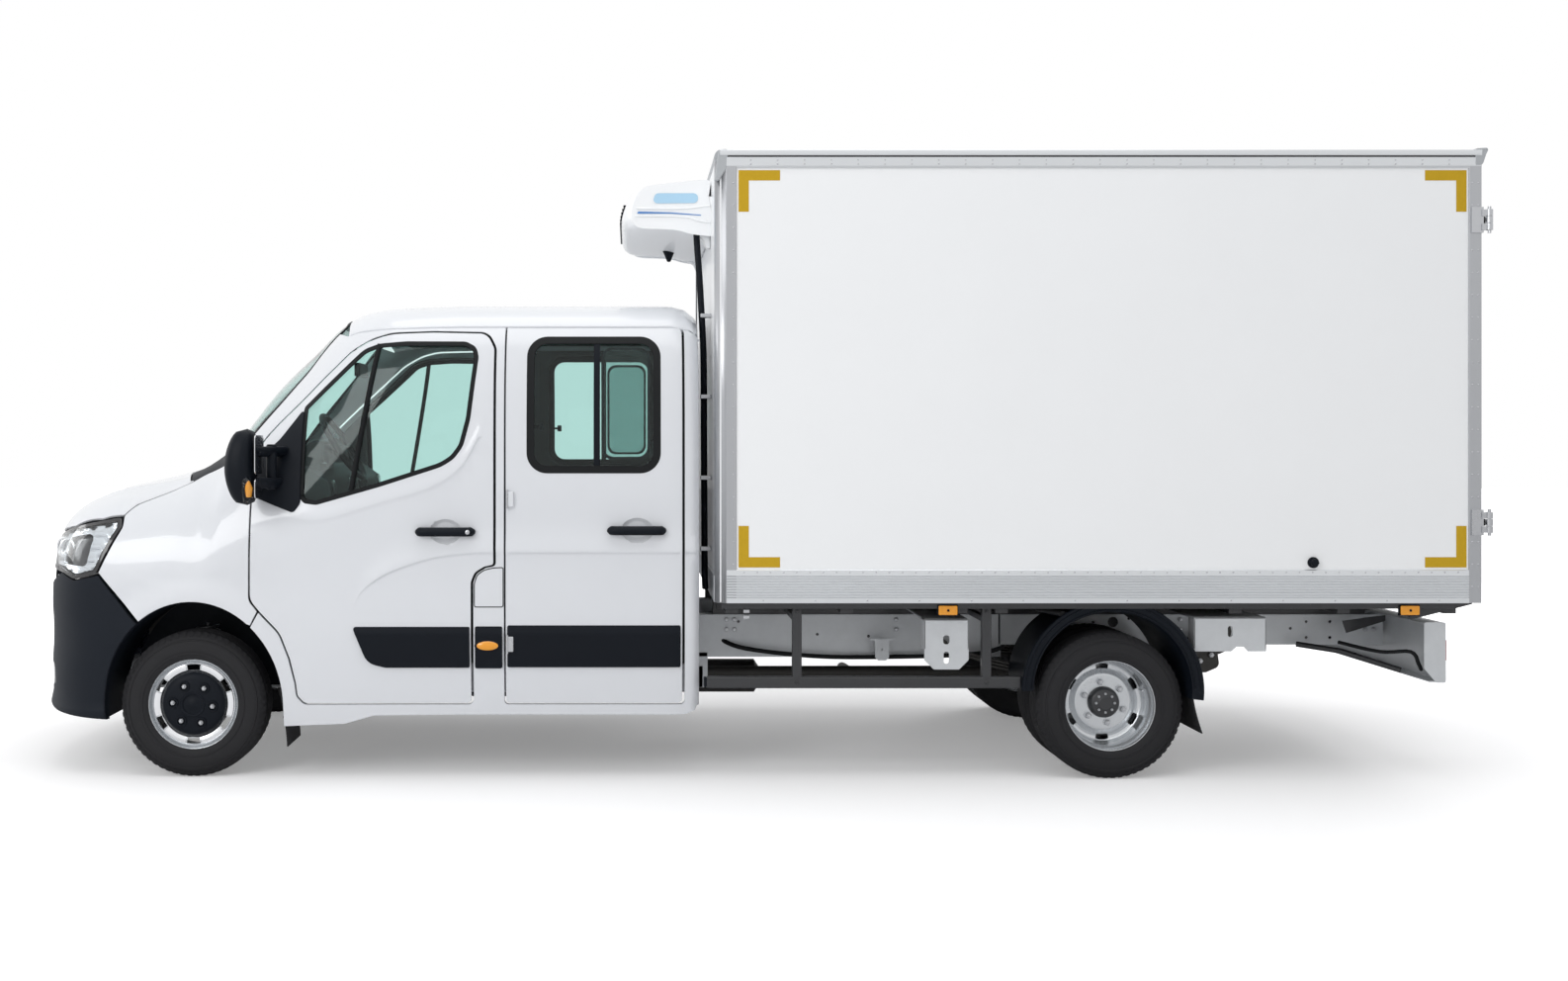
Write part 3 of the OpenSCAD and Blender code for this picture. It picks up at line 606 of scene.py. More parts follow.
def panel(name, outline, surface, finish_used, body="truck", holes=(), grid=0.045, edge=0.02,
          roll=0.004, thick=0.012, depth=0.0, relief=None, extra=(), **kwargs):
    """Lays an outline on a surface. relief(u, v) raises or sinks the skin, with extra points
    where it does so sharply."""
    rings = []
    loops = [outline if area(outline) > 0 else outline[::-1]]
    loops += [h[::-1] if area(h) > 0 else h for h in holes]
    points, edges, drop = [], [], []
    for loop in loops:
        dense = split_long(loop, edge)
        for inward, down in ((0.0, roll), (roll * 0.35, roll * 0.3), (roll * 1.2, 0.0)):
            ring = inset(dense, inward)
            base = len(points)
            points += ring
            drop += [down] * len(ring)
            edges += [(base + i, base + (i + 1) % len(ring)) for i in range(len(ring))]
        rings.append(ring)
    us = [p[0] for p in loops[0]]
    vs = [p[1] for p in loops[0]]
    inner = [inset(r, grid * 0.3) for r in rings]
    cols, rows = max(1, round((max(us) - min(us)) / grid)), max(1,
        round((max(vs) - min(vs)) / grid))
    spread = [(min(us) + (max(us) - min(us)) * i / cols, min(vs) + (max(vs) - min(vs)) * j / rows)
              for i in range(cols + 1) for j in range(rows + 1)]
    for u, v in spread + list(extra):
        if contains(inner[0], u, v) and not any(contains(r, u, v) for r in inner[1:]):
            points.append((u, v))
            drop.append(0.0)
    found, _, tris, origin, _, _ = geometry.delaunay_2d_cdt(
        [Vector(p) for p in points], edges, [], 0, 1e-7, True)
    down = [max((drop[k] for k in ids), default=0.0) for ids in origin]
    tris = [t for t in tris
            if contains(loops[0], *(sum((found[k] for k in t), Vector((0, 0))) / 3))
            and not any(contains(h, *(sum((found[k] for k in t), Vector((0, 0))) / 3))
                        for h in loops[1:])]
    raise_by = relief or (lambda u, v: 0.0)

    def lifted(u, v, d):
        return surface(u, v, d - raise_by(u, v))

    outer = [lifted(p.x, p.y, depth + d) for p, d in zip(found, down)]
    back = [surface(p.x, p.y, depth + thick) for p in found]
    e = 0.0015
    normals = []
    for p in found:
        du = lifted(p.x + e, p.y, 0) - lifted(p.x - e, p.y, 0)
        dv = lifted(p.x, p.y + e, 0) - lifted(p.x, p.y - e, 0)
        out = du.cross(dv)
        away = surface(p.x, p.y, 0) - surface(p.x, p.y, 0.05)
        normals.append((out if out.dot(away) > 0 else -out).normalized())
    n = len(outer)
    t0 = tris[len(tris) // 2]
    way = (outer[t0[1]] - outer[t0[0]]).cross(outer[t0[2]] - outer[t0[0]]).dot(normals[t0[0]])
    front = [tuple(t) if way > 0 else tuple(reversed(t)) for t in tris]
    faces = front + [tuple(k + n for k in reversed(t)) for t in front]
    count = {}
    for t in front:
        for a, b in zip(t, t[1:] + t[:1]):
            count[(a, b)] = count.get((a, b), 0) + 1
    border = [(a, b) for (a, b) in count if (b, a) not in count]
    faces += [(a, a + n, b + n, b) for a, b in border]
    obj = piece(name, outer + back, faces, finish_used, body, smooth=180, **kwargs)
    tilt = {}
    for a, b in border:
        side_way = (outer[b] - outer[a]).cross(normals[a])
        for k in (a, b):
            tilt[k] = tilt.get(k, Vector((0, 0, 0))) + side_way
    shading = [(normals[k] + tilt[k].normalized() * 0.9).normalized() if k in tilt and roll
               else normals[k] for k in range(n)]
    shading += [-m for m in normals]
    mesh = obj.data
    loops_out = []
    for poly in mesh.polygons:
        rim = len(poly.vertices) == 4
        for k in poly.vertices:
            if rim:
                loops_out.append(tilt.get(k % n, normals[k % n]).normalized())
            else:
                loops_out.append(shading[k])
    mesh.normals_split_custom_set(loops_out)
    return obj


print("panel maker ready")

# %% [markdown]
# ## Cab panels
# The outlines are drawn as seen from the side, in metres from the front axle and the ground.
# A swage is a folded ridge that runs along a door: the skin stands out a few millimetres along
# a line and falls away fast below it and slowly above. The flank is one pressing that frames
# both doors, so its outline follows the grown outline of each door and leaves an even gap.

# %% Outlines of the doors, the wing and the flank
def grown(line, distance):
    return inset(line if area(line) > 0 else line[::-1], -distance)


ARCH_X, ARCH_Z = 0.008, 0.348          # middle of the front wheel arch
ARCH_LONG, ARCH_TALL = 0.427, 0.489    # its two half axes


def arch(start, end, steps=20, grow=0.0):
    """Points on the wheel arch between two angles in degrees, 0 being rearwards and 90 up."""
    return [(ARCH_X + (ARCH_LONG + grow) * math.cos(math.radians(a)),
             ARCH_Z + (ARCH_TALL + grow) * math.sin(math.radians(a)))
            for a in (start + (end - start) * k / steps for k in range(steps + 1))]


def swage(line, height, below=0.010, above=0.09, fade=0.12):
    """A ridge along a line of (x, z) points, for a panel's relief, and points to carry it."""
    curve = [Vector(p) for p in smooth_curve(line, 8)]

    def lift(u, v):
        if not curve[0].x <= u <= curve[-1].x:
            return 0.0
        i = max(1, next((k for k, p in enumerate(curve) if p.x >= u), len(curve) - 1))
        a, b = curve[i - 1], curve[i]
        d = v - (a.y + (b.y - a.y) * (u - a.x) / max(b.x - a.x, 1e-6))
        width = above if d > 0 else below
        ends = min(1.0, (u - curve[0].x) / fade) if fade else 1.0
        return height * ends * math.exp(-(d / width) ** 2)

    rows = (-0.03, -0.019, -0.012, -0.006, 0.0, 0.006, 0.02, 0.04, 0.07)
    dense = [a.lerp(b, k / 4) for a, b in zip(curve, curve[1:]) for k in range(4)]
    return lift, [(p.x, p.y + d) for p in dense for d in rows]


front_door_line = fillet(
    [(0.536, 0.357), (1.322, 0.357), (1.322, 0.930), (1.340, 0.975), (1.385, 1.003),
     (1.428, 1.012), (1.428, 2.030), (1.392, 2.102), (1.130, 2.108), (0.935, 2.102),
     (0.843, 2.076), (0.746, 2.020), (0.595, 1.876), (0.384, 1.672), (0.294, 1.572),
     (0.284, 1.294), (0.284, 0.845), (0.330, 0.790), (0.425, 0.690), (0.470, 0.571),
     (0.497, 0.455), (0.504, 0.392)],
    [0.03, 0.02] + [0.05] * 3 + [0.012, 0.06, 0.06] + [0.3] * 7 + [0.1,
        0.08] + [0.15] * 3 + [0.03] * 2)
front_window = fillet(
    [(0.513, 1.328), (0.538, 1.300), (0.596, 1.293), (0.896, 1.379), (1.184, 1.472),
     (1.241, 1.508), (1.284, 1.566), (1.318, 1.695), (1.354, 1.987), (1.344, 2.035),
     (1.294, 2.062), (1.009, 2.064), (0.877, 2.054), (0.805, 2.028), (0.513, 1.752)],
    [0.015, 0.03, 0.05, 0.5, 0.2, 0.12, 0.12, 0.3, 0.06, 0.05, 0.06, 0.3, 0.2, 0.12, 0.03])
crew_door_line = fillet([(1.486, 0.357), (2.316, 0.357), (2.316, 2.150), (1.486, 2.150)],
                        [0.02, 0.02, 0.05, 0.02], 8)
crew_window = fillet([(1.586, 1.442), (2.213, 1.442), (2.213, 2.086), (1.586, 2.086)], 0.095, 10)
wing_line = fillet(
    [(-0.443, 0.967), (-0.343, 1.183), (-0.350, 1.234), (-0.311, 1.281), (-0.231, 1.314),
     (-0.160, 1.343), (-0.070, 1.388), (-0.014, 1.425), (0.128, 1.486), (0.276, 1.562),
     (0.276, 0.842), (0.317, 0.792), (0.2865, 0.728)],
    [0.006, 0.05, 0.02] + [0.2] * 6 + [0.012, 0.06, 0.002, 0.002]) + arch(52, 126)
around_door = [(x + (0.004 if x > 1.25 else 0), z) for x, z in grown(front_door_line, 0.008)][::-1]
first = max(range(len(around_door)), key=lambda k: (
    around_door[k - 1][0] < 0.32 and 0.80 < around_door[k - 1][1] < 1.58, around_door[k][1]))
around_door = [p for p in around_door[first:] + around_door[:first]
               if not (p[0] < 0.32 and 0.80 < p[1] < 1.58)]
flank_line = (arch(49, 0, 12) + [(0.437, 0.246), (0.480, 0.247), (0.720, 0.256), (0.860, 0.296),
              (1.340, 0.300), (2.330, 0.300), (2.378, 0.318), (2.396, 0.365)]
              + [(2.396, KNEE + 0.9 * (section(2.396)[1] - KNEE))]
              + [(x, KNEE + 0.9 * (section(x)[1] - KNEE))
                 for x in (2.38 - 0.06 * k for k in range(28))]
              + [(0.70, 2.0985), (0.64, 2.118), (0.52, 1.972), (0.40, 1.817), (0.26, 1.644),
                 (0.128, 1.493), (0.200, 1.529), (0.270, 1.567)] + around_door)
belt, belt_points = swage([(0.769, 0.800), (0.800, 0.875), (0.865, 0.935), (0.965, 0.990),
                           (1.150, 1.048), (1.330, 1.070), (1.440, 1.072), (1.9, 1.072),
                           (2.42, 1.072)], 0.010, 0.007, 0.06)
sill_line, sill_points = swage([(0.27, 1.20), (0.45, 1.235), (0.62, 1.228), (0.90, 1.310),
                                (1.12, 1.375), (1.27, 1.47), (1.36, 1.62)], 0.006, 0.016, 0.05)


def door_relief(x, z):
    dish = max(0.0, 1 - ((x - 1.204) / 0.075) ** 2 - ((z - 1.167) / 0.058) ** 2)
    return belt(x, z) + sill_line(x, z) - 0.020 * dish ** 0.7


def crew_relief(x, z):
    dish = max(0.0, 1 - ((x - 2.105) / 0.075) ** 2 - ((z - 1.173) / 0.058) ** 2)
    return belt(x, z) - 0.020 * dish ** 0.7


def dish_points(x, z):
    return [(x + 0.075 * r * math.cos(a), z + 0.058 * r * math.sin(a))
            for r in (0.0, 0.3, 0.6, 0.85, 0.96, 1.0, 1.04, 1.15)
            for a in (math.radians(15 * k) for k in range(24))]


def wing_relief(x, z):
    out = math.hypot((x - ARCH_X) / ARCH_LONG, (z - ARCH_Z) / ARCH_TALL) - 1
    t = max(0.0, min(1.0, 1 - out / 0.27))
    return 0.013 * t * t * (3 - 2 * t)


def flank_relief(x, z):
    return belt(x, z) + wing_relief(x, z) * max(0.0, min(1.0, (0.50 - x) / 0.18))


print("flank outline:", len(flank_line), "points, door:", len(front_door_line))

# %% Wings, flanks, doors and their glass
for side, word in SIDES:
    skin = on_flank(side)
    panel(f"wing_{word}", wing_line, skin, white_paint, relief=wing_relief, thick=0.01,
          replaces=("front_wings",))
    panel(f"flank_{word}", flank_line, skin, white_paint,
          holes=[fillet([(1.478, 0.349), (2.328, 0.349), (2.328, 2.158), (1.478, 2.158)],
                        [0.02, 0.02, 0.058, 0.02], 8)],
          relief=flank_relief, extra=belt_points, thick=0.03, replaces=("cab_body",))
    for kind, line, window, relief, extra, glass_cut in (
            ("front", front_door_line, front_window, door_relief,
             belt_points + sill_points + dish_points(1.204, 1.167), 0.020),
            ("crew", crew_door_line, crew_window, crew_relief,
             belt_points + dish_points(2.105, 1.173), 0.034)):
        body = f"{kind}_door_{word}"
        panel(f"{kind}_door_skin_{word}", line, skin, white_paint, body, holes=[window],
              relief=relief, extra=extra, replaces=(body,))
        panel(f"{kind}_door_shell_{word}", grown(line, -0.012), skin, white_paint, body,
              holes=[grown(window, 0.012)], depth=0.011, thick=0.055, roll=0.0, grid=0.2)
        lining = [(x, z) for x, z in grown(line, -0.035)]
        panel(f"{kind}_door_lining_{word}", lining, skin, trim_grey, body,
              holes=[grown(window, 0.004)], depth=0.064, thick=0.012, slot="black_plastic",
              roll=0.006)
        panel(f"{kind}_window_reveal_{word}", grown(window, 0.0115), skin, trim_grey, body,
              holes=[grown(window, 0.003)], depth=0.014, thick=0.052, roll=0,
              slot="black_plastic")
        panel(f"{kind}_window_frame_{word}", grown(window, 0.003), skin, seal_rubber, body,
              holes=[grown(window, -glass_cut)], depth=-0.0025, thick=0.020, roll=0.006,
              slot="black_plastic", edge=0.015)
        panel(f"{kind}_door_glass_{word}", grown(window, -glass_cut + 0.006), skin, green_glass,
              body, depth=0.010, thick=0.004, roll=0.0, slot="glass", grid=0.06,
              replaces=(f"{kind}_glass_{word}",))
print("side panels:", len([n for n in made if "door" in n or "flank" in n or "wing" in n]))


# %% [markdown]
# ## Nose, bonnet, windscreen and roof
# The bonnet, the windscreen and the roof are drawn in plan and laid on the crown of the cab.
# The bumper, the grille and the headlights wrap round the nose, so they are drawn unrolled:
# one coordinate goes round the nose and the other is the height.

# %% Roof, cab back, bonnet, scuttle and windscreen
def plan_seam(points, inward=0.0):
    """Points given in side view, as a plan outline's left edge."""
    return [(x, half_width(x, z) - inward) for x, z in points]


def both_halves(right_half):
    """Closes a plan outline that is given for one half from front to back."""
    return right_half + [(x, -y) for x, y in reversed(right_half)]


roof_side = [(x, section(x)[2] * (1 - 0.9 ** section(x)[3]) ** (1 / section(x)[3]) - 0.003)
             for x in (0.76 + 0.06 * k for k in range(28))]
roof_plan = both_halves([(0.648 + 0.04 * (y / 0.64) ** 2,
                          y) for y in (0.02, 0.2, 0.35, 0.5, 0.6, 0.648)]
                        + [(0.706, 0.774)] + roof_side + [(2.396, 0.80)])
panel("cab_roof", roof_plan, on_crown, white_paint, thick=0.02, grid=0.06,
      relief=lambda x,
      y: 0.004 * max(0, math.cos(y * 18)) ** 8 if 1.0 < x < 2.2 and abs(y) < 0.7 else 0)
back_half = [(half_width(2.396, z), z) for z in (0.34 + 0.06 * k for k in range(31)) if
             half_width(2.396, z) > 0.1]
panel("cab_back", [(y, z) for y, z in back_half] + [(0, section(2.396)[1])]
      + [(-y, z) for y, z in reversed(back_half)],
      lambda u, v, d=0.0: Vector((at(2.397) - d, u, v)), white_paint, thick=0.02, grid=0.12,
      holes=[fillet([(-0.45, 1.5), (0.45, 1.5), (0.45, 2.0), (-0.45, 2.0)], 0.08)],
      relief=lambda u, v: 0.006 if 0.5 < v < 1.3 and abs(u) < 0.7 else 0.0)
panel("cab_back_glass", fillet([(-0.45, 1.5), (0.45, 1.5), (0.45, 2.0), (-0.45, 2.0)], 0.08),
      lambda u, v, d=0.0: Vector((at(2.397) - d, u, v)), dark_glass, thick=0.005, depth=0.006,
      slot="glass", roll=0)

nose_scale = 0.8


def unrolled(x, z):
    """A place on the nose given in side view, as (distance round the nose, height)."""
    return nose_scale * math.atan2(half_width(x, z), -(x + 0.25)), z


def round_nose(u, v, depth=0.0):
    return on_nose(u / nose_scale, v, depth)


bonnet_sides = [(-0.354, 1.242), (-0.311, 1.289), (-0.231, 1.322), (-0.160, 1.351),
                (-0.090, 1.384), (-0.066, 1.396)]
lip = []
for k in range(15):
    a = 1.13 * k / 14
    z = 1.132 + 0.052 * (a / 1.13) ** 3
    r = nose_reach(a, z)
    lip.append((-0.25 - r * math.cos(a), r * math.sin(a)))
bonnet_half_line = lip + plan_seam([(-0.46, 1.224)] + bonnet_sides) + [
    (-0.19 + 0.124 * (y / 0.76) ** 2, y) for y in (0.70, 0.55, 0.40, 0.25, 0.10)]
panel("bonnet_skin", bonnet_half_line + [(x, -y) for x, y in reversed(bonnet_half_line[1:])],
      on_crown, white_paint, "bonnet", thick=0.012, grid=0.04, replaces=("bonnet",),
      relief=lambda x, y: 0.010 * math.exp(-((abs(y) - 0.56 - 0.25 * (x + 0.5)) / 0.035) ** 2)
      * max(0.0, min(1.0, (x + 0.74) / 0.3)))
scuttle_half = [(-0.182 + 0.124 * (y / 0.76) ** 2, y) for y in (0.02, 0.25, 0.45, 0.62, 0.725)]
scuttle_half += plan_seam([(-0.05, 1.396), (0.0, 1.428), (0.06, 1.452)], 0.006)
scuttle_half += [(-0.026 + 0.15 * (y / 0.78) ** 2, y) for y in (0.75, 0.55, 0.35, 0.15, 0.02)]
panel("scuttle", scuttle_half + [(x, -y) for x, y in reversed(scuttle_half)], on_crown,
      black_plastic, depth=0.004, thick=0.015, slot="black_plastic")
screen_half = ([(-0.022 + 0.15 * (y / 0.78) ** 2, y) for y in (0.02, 0.2, 0.4, 0.6, 0.72, 0.78)]
               + [(0.26, 0.746), (0.40, 0.711), (0.54, 0.677)]
               + [(0.64 + 0.04 * (y / 0.64) ** 2, y) for y in (0.638, 0.5, 0.3, 0.1)])
screen = fillet(screen_half + [(x, -y) for x, y in reversed(screen_half)], 0.06, 4)
panel("windscreen_glass", screen, on_crown, green_glass, depth=0.003, thick=0.006, slot="glass",
      roll=0.002, replaces=("windscreen",))
panel("windscreen_frit", screen, on_crown, gloss_black, depth=0.0095, thick=0.002,
      holes=[grown(screen, -0.045)], slot="black_plastic", roll=0)
panel("windscreen_seal", grown(screen, 0.006), on_crown, seal_rubber, depth=-0.003, thick=0.01,
      holes=[grown(screen, -0.014)], slot="black_plastic", roll=0.004)
print("bonnet outline:", len(bonnet_half_line), "points; screen:", len(screen))

# %% Bumper, grille and headlights
bumper_edge = [unrolled(x, z) for x, z in (
    (-0.80, 0.885), (-0.73, 0.925), (-0.672, 0.958), (-0.579, 0.926), (-0.447, 0.956),
    (-0.268, 0.738))]
front_arch = [unrolled(x, z) for x, z in arch(128, 180, 10)]
bumper_half = ([(0.0, 0.862), (0.2, 0.863), (0.4, 0.868)] + [p for p in bumper_edge if p[0] > 0.45]
               + front_arch + [unrolled(-0.417, 0.30), unrolled(-0.410, 0.272), (0.85, 0.285),
                               (0.5, 0.315), (0.25, 0.325), (0.0, 0.328)])
bumper_outline = bumper_half + [(-u, v) for u, v in reversed(bumper_half[1:-1])]
intake = fillet([(-0.42, 0.43), (0.42, 0.43), (0.44, 0.58), (-0.44, 0.58)], 0.03)
fogs = [fillet([(s * 0.62, 0.39), (s * 0.78, 0.40), (s * 0.79, 0.50), (s * 0.63, 0.50)], 0.025)
        for s in (-1, 1)]


def bumper_relief(u, v):
    step = 0.014 * math.exp(-((v - 0.655) / 0.10) ** 4)
    lip_low = 0.016 * math.exp(-((v - 0.30) / 0.035) ** 2)
    return -step * (1 if abs(u) < 0.95 else max(0, 1 - (abs(u) - 0.95) / 0.15)) * 0.5 + lip_low


panel("bumper", bumper_outline, round_nose, bumper_plastic, holes=[intake] + fogs, thick=0.03,
      relief=bumper_relief, slot="grey_plastic", replaces=("front_bumper",), roll=0.008)
# A gloss black sheet 40 mm behind the intake bars is painted shade for the dark inside the intake.
panel("intake_shade_sheet", grown(intake, 0.01), round_nose, gloss_black, depth=0.04, thick=0.01,
      slot="black_plastic", roll=0)
for k, z in enumerate((0.465, 0.505, 0.545)):
    piece(f"intake_bar_{k}", *bar([round_nose(u / 20, z, 0.016) for u in range(-8, 9)], 0.006,
                                  8, flat=0.6), black_plastic, slot="black_plastic", smooth=60)
for side, word in SIDES:
    hole = fogs[1 if side == LEFT else 0]
    panel(f"fog_lamp_{word}", grown(hole, 0.004), round_nose, lamp_chrome, depth=0.03,
          thick=0.006, slot="lamp", roll=0,
          relief=lambda u, v: 0.012 * max(0.0, 1 - math.hypot(abs(u) - 0.705, v - 0.448) / 0.045))
    panel(f"fog_lens_{word}", grown(hole, -0.004), round_nose, clear_lens, depth=0.006,
          thick=0.003, slot="lamp", roll=0)
grille_line = fillet([(-0.60, 0.90), (-0.3, 0.874), (0.3, 0.874), (0.60, 0.90), (0.625, 1.10),
                      (0.3, 1.117), (-0.3, 1.117), (-0.625, 1.10)], 0.02)
# A gloss black sheet behind the grille bars is painted shade for the dark inside the grille.
panel("grille_shade_sheet", grille_line, round_nose, gloss_black, depth=0.028, thick=0.01,
      slot="black_plastic", roll=0, replaces=("front_grille",))
panel("grille_rim", grown(grille_line, 0.004), round_nose, black_plastic, depth=0.002, thick=0.03,
      holes=[grown(grille_line, -0.016)], slot="black_plastic", roll=0.005)
for k in range(5):
    z = 0.915 + 0.04 * k
    piece(f"grille_bar_{k}", *bar([round_nose(0.605 * t / 12, z, 0.012) for t in range(-12, 13)],
                                  0.010, 8, flat=0.55), gloss_black if k % 2 else polished,
          slot="black_plastic", smooth=60)
lamp_line = fillet(
    [(0.64, 0.972), unrolled(-0.672, 0.966), unrolled(-0.579, 0.934), unrolled(-0.457, 0.966),
     unrolled(-0.355, 1.180), unrolled(-0.364, 1.226), unrolled(-0.60, 1.182), (0.665, 1.118)],
    [0.02, 0.05, 0.05, 0.03, 0.03, 0.015, 0.05, 0.02])
for side, word in SIDES:
    def nose_side(u, v, depth=0.0):
        return round_nose(u if side == LEFT else -u, v, depth)

    lens = grown(lamp_line, -0.016)
    panel(f"headlight_rim_{word}", lamp_line, nose_side, gloss_black, depth=0.002, thick=0.04,
          holes=[lens], slot="lamp", roll=0.006, replaces=("headlights",))
    panel(f"headlight_bucket_{word}", lamp_line, nose_side, gloss_black, depth=0.05, thick=0.01,
          slot="lamp", roll=0)
    den = fillet([unrolled(-0.670, 1.000), unrolled(-0.520, 0.995), unrolled(-0.490, 1.150),
                  unrolled(-0.655, 1.125)], 0.025)
    panel(f"headlight_reflector_{word}", grown(lens, -0.006), nose_side, lamp_chrome, depth=0.020,
          holes=[den], thick=0.014, slot="lamp", roll=0.004, grid=0.02,
          relief=lambda u, v: 0.0025 * math.sin(v * 420) * math.exp(-((v - 1.08) / 0.3) ** 2))
    for k, (u0, z0, r) in enumerate(((0.755, 1.065, 0.050), (0.86, 1.070, 0.044))):
        middle = nose_side(u0, z0, 0.036)
        out = (nose_side(u0, z0, -0.02) - nose_side(u0, z0, 0.03)).normalized()
        ring = []
        axis = out.orthogonal().normalized()
        for step in range(24):
            turn = step * math.pi / 12
            spin = axis * math.cos(turn) + out.cross(axis) * math.sin(turn)
            ring.append(middle + spin * r)
        piece(f"headlight_projector_{k}_{word}", *bar(ring, 0.007, 8, closed=True), polished,
              slot="lamp", smooth=60)
        piece(f"headlight_bulb_{k}_{word}", *join([bar(
            [middle - out * 0.02, middle + out * 0.004, middle + out * 0.012],
            [r * 0.8, r * 0.74, r * 0.35], 24)]), clear_lens if k else lamp_chrome, slot="lamp",
            smooth=50)
    strip = [nose_side(u, v, 0.012) for u, v in (
        (0.70, 1.105), (0.68, 1.04), (0.70, 0.985), (0.78, 0.972), (0.90, 0.965))]
    piece(f"day_lamp_{word}", *bar(smooth_curve(strip, 5), 0.007, 8), trim_pale, slot="lamp",
          smooth=60)
    panel(f"headlight_cover_{word}", grown(lens, 0.004), nose_side, clear_lens, depth=0.004,
          thick=0.003, slot="lamp", roll=0)
print("front pieces:", len(made))

# %% [markdown]
# ## Door furniture and mirrors
# Handles are moulded bars that stand off a dished recess. The black strips are plastic profiles
# clipped along the doors, with a bright bevel along their top. The mirror folds out on two arms
# from a sail-shaped plate that fills the door's front corner. They ride on the doors.

# %% Handles, strips, hinges, dividers and mirrors
strip_front = fillet([(0.765, 0.720), (1.316, 0.720), (1.316, 0.527), (0.92, 0.527),
                      (0.835, 0.548)],
                     [0.012, 0.006, 0.006, 0.06, 0.08])
strip_middle = fillet([(1.342, 0.722), (1.470, 0.722), (1.470, 0.524), (1.342, 0.524)], 0.008)
strip_crew = fillet([(1.494, 0.727), (2.308, 0.727), (2.308, 0.529), (1.494, 0.529)], 0.008)
flap_line = fillet([(1.341, 0.815), (1.473, 0.815), (1.473, 0.997), (1.430, 0.995), (1.386, 0.985),
                    (1.354, 0.962), (1.341, 0.922)], [0.008, 0.008, 0.006, 0.05, 0.05, 0.04, 0.05])


def strip_relief(u, v):
    return -0.010 * max(0.0, (v - 0.690) / 0.035)


def handle_bar(skin, x0, x1, z):
    """A closed bar with rounded ends that stands off the door."""
    rows = 22
    path, widths = [], []
    for k in range(rows + 1):
        t = k / rows
        path.append(skin(x0 + (x1 - x0) * t, z, -0.026 * min(1.0, math.sin(math.pi * t) * 3.2)
                         - 0.002))
        widths.append(0.0225 * min(1.0, (math.sin(math.pi * t) * 6 + 0.35)) ** 0.5)
    return bar(path, widths, 14, flat=0.92)


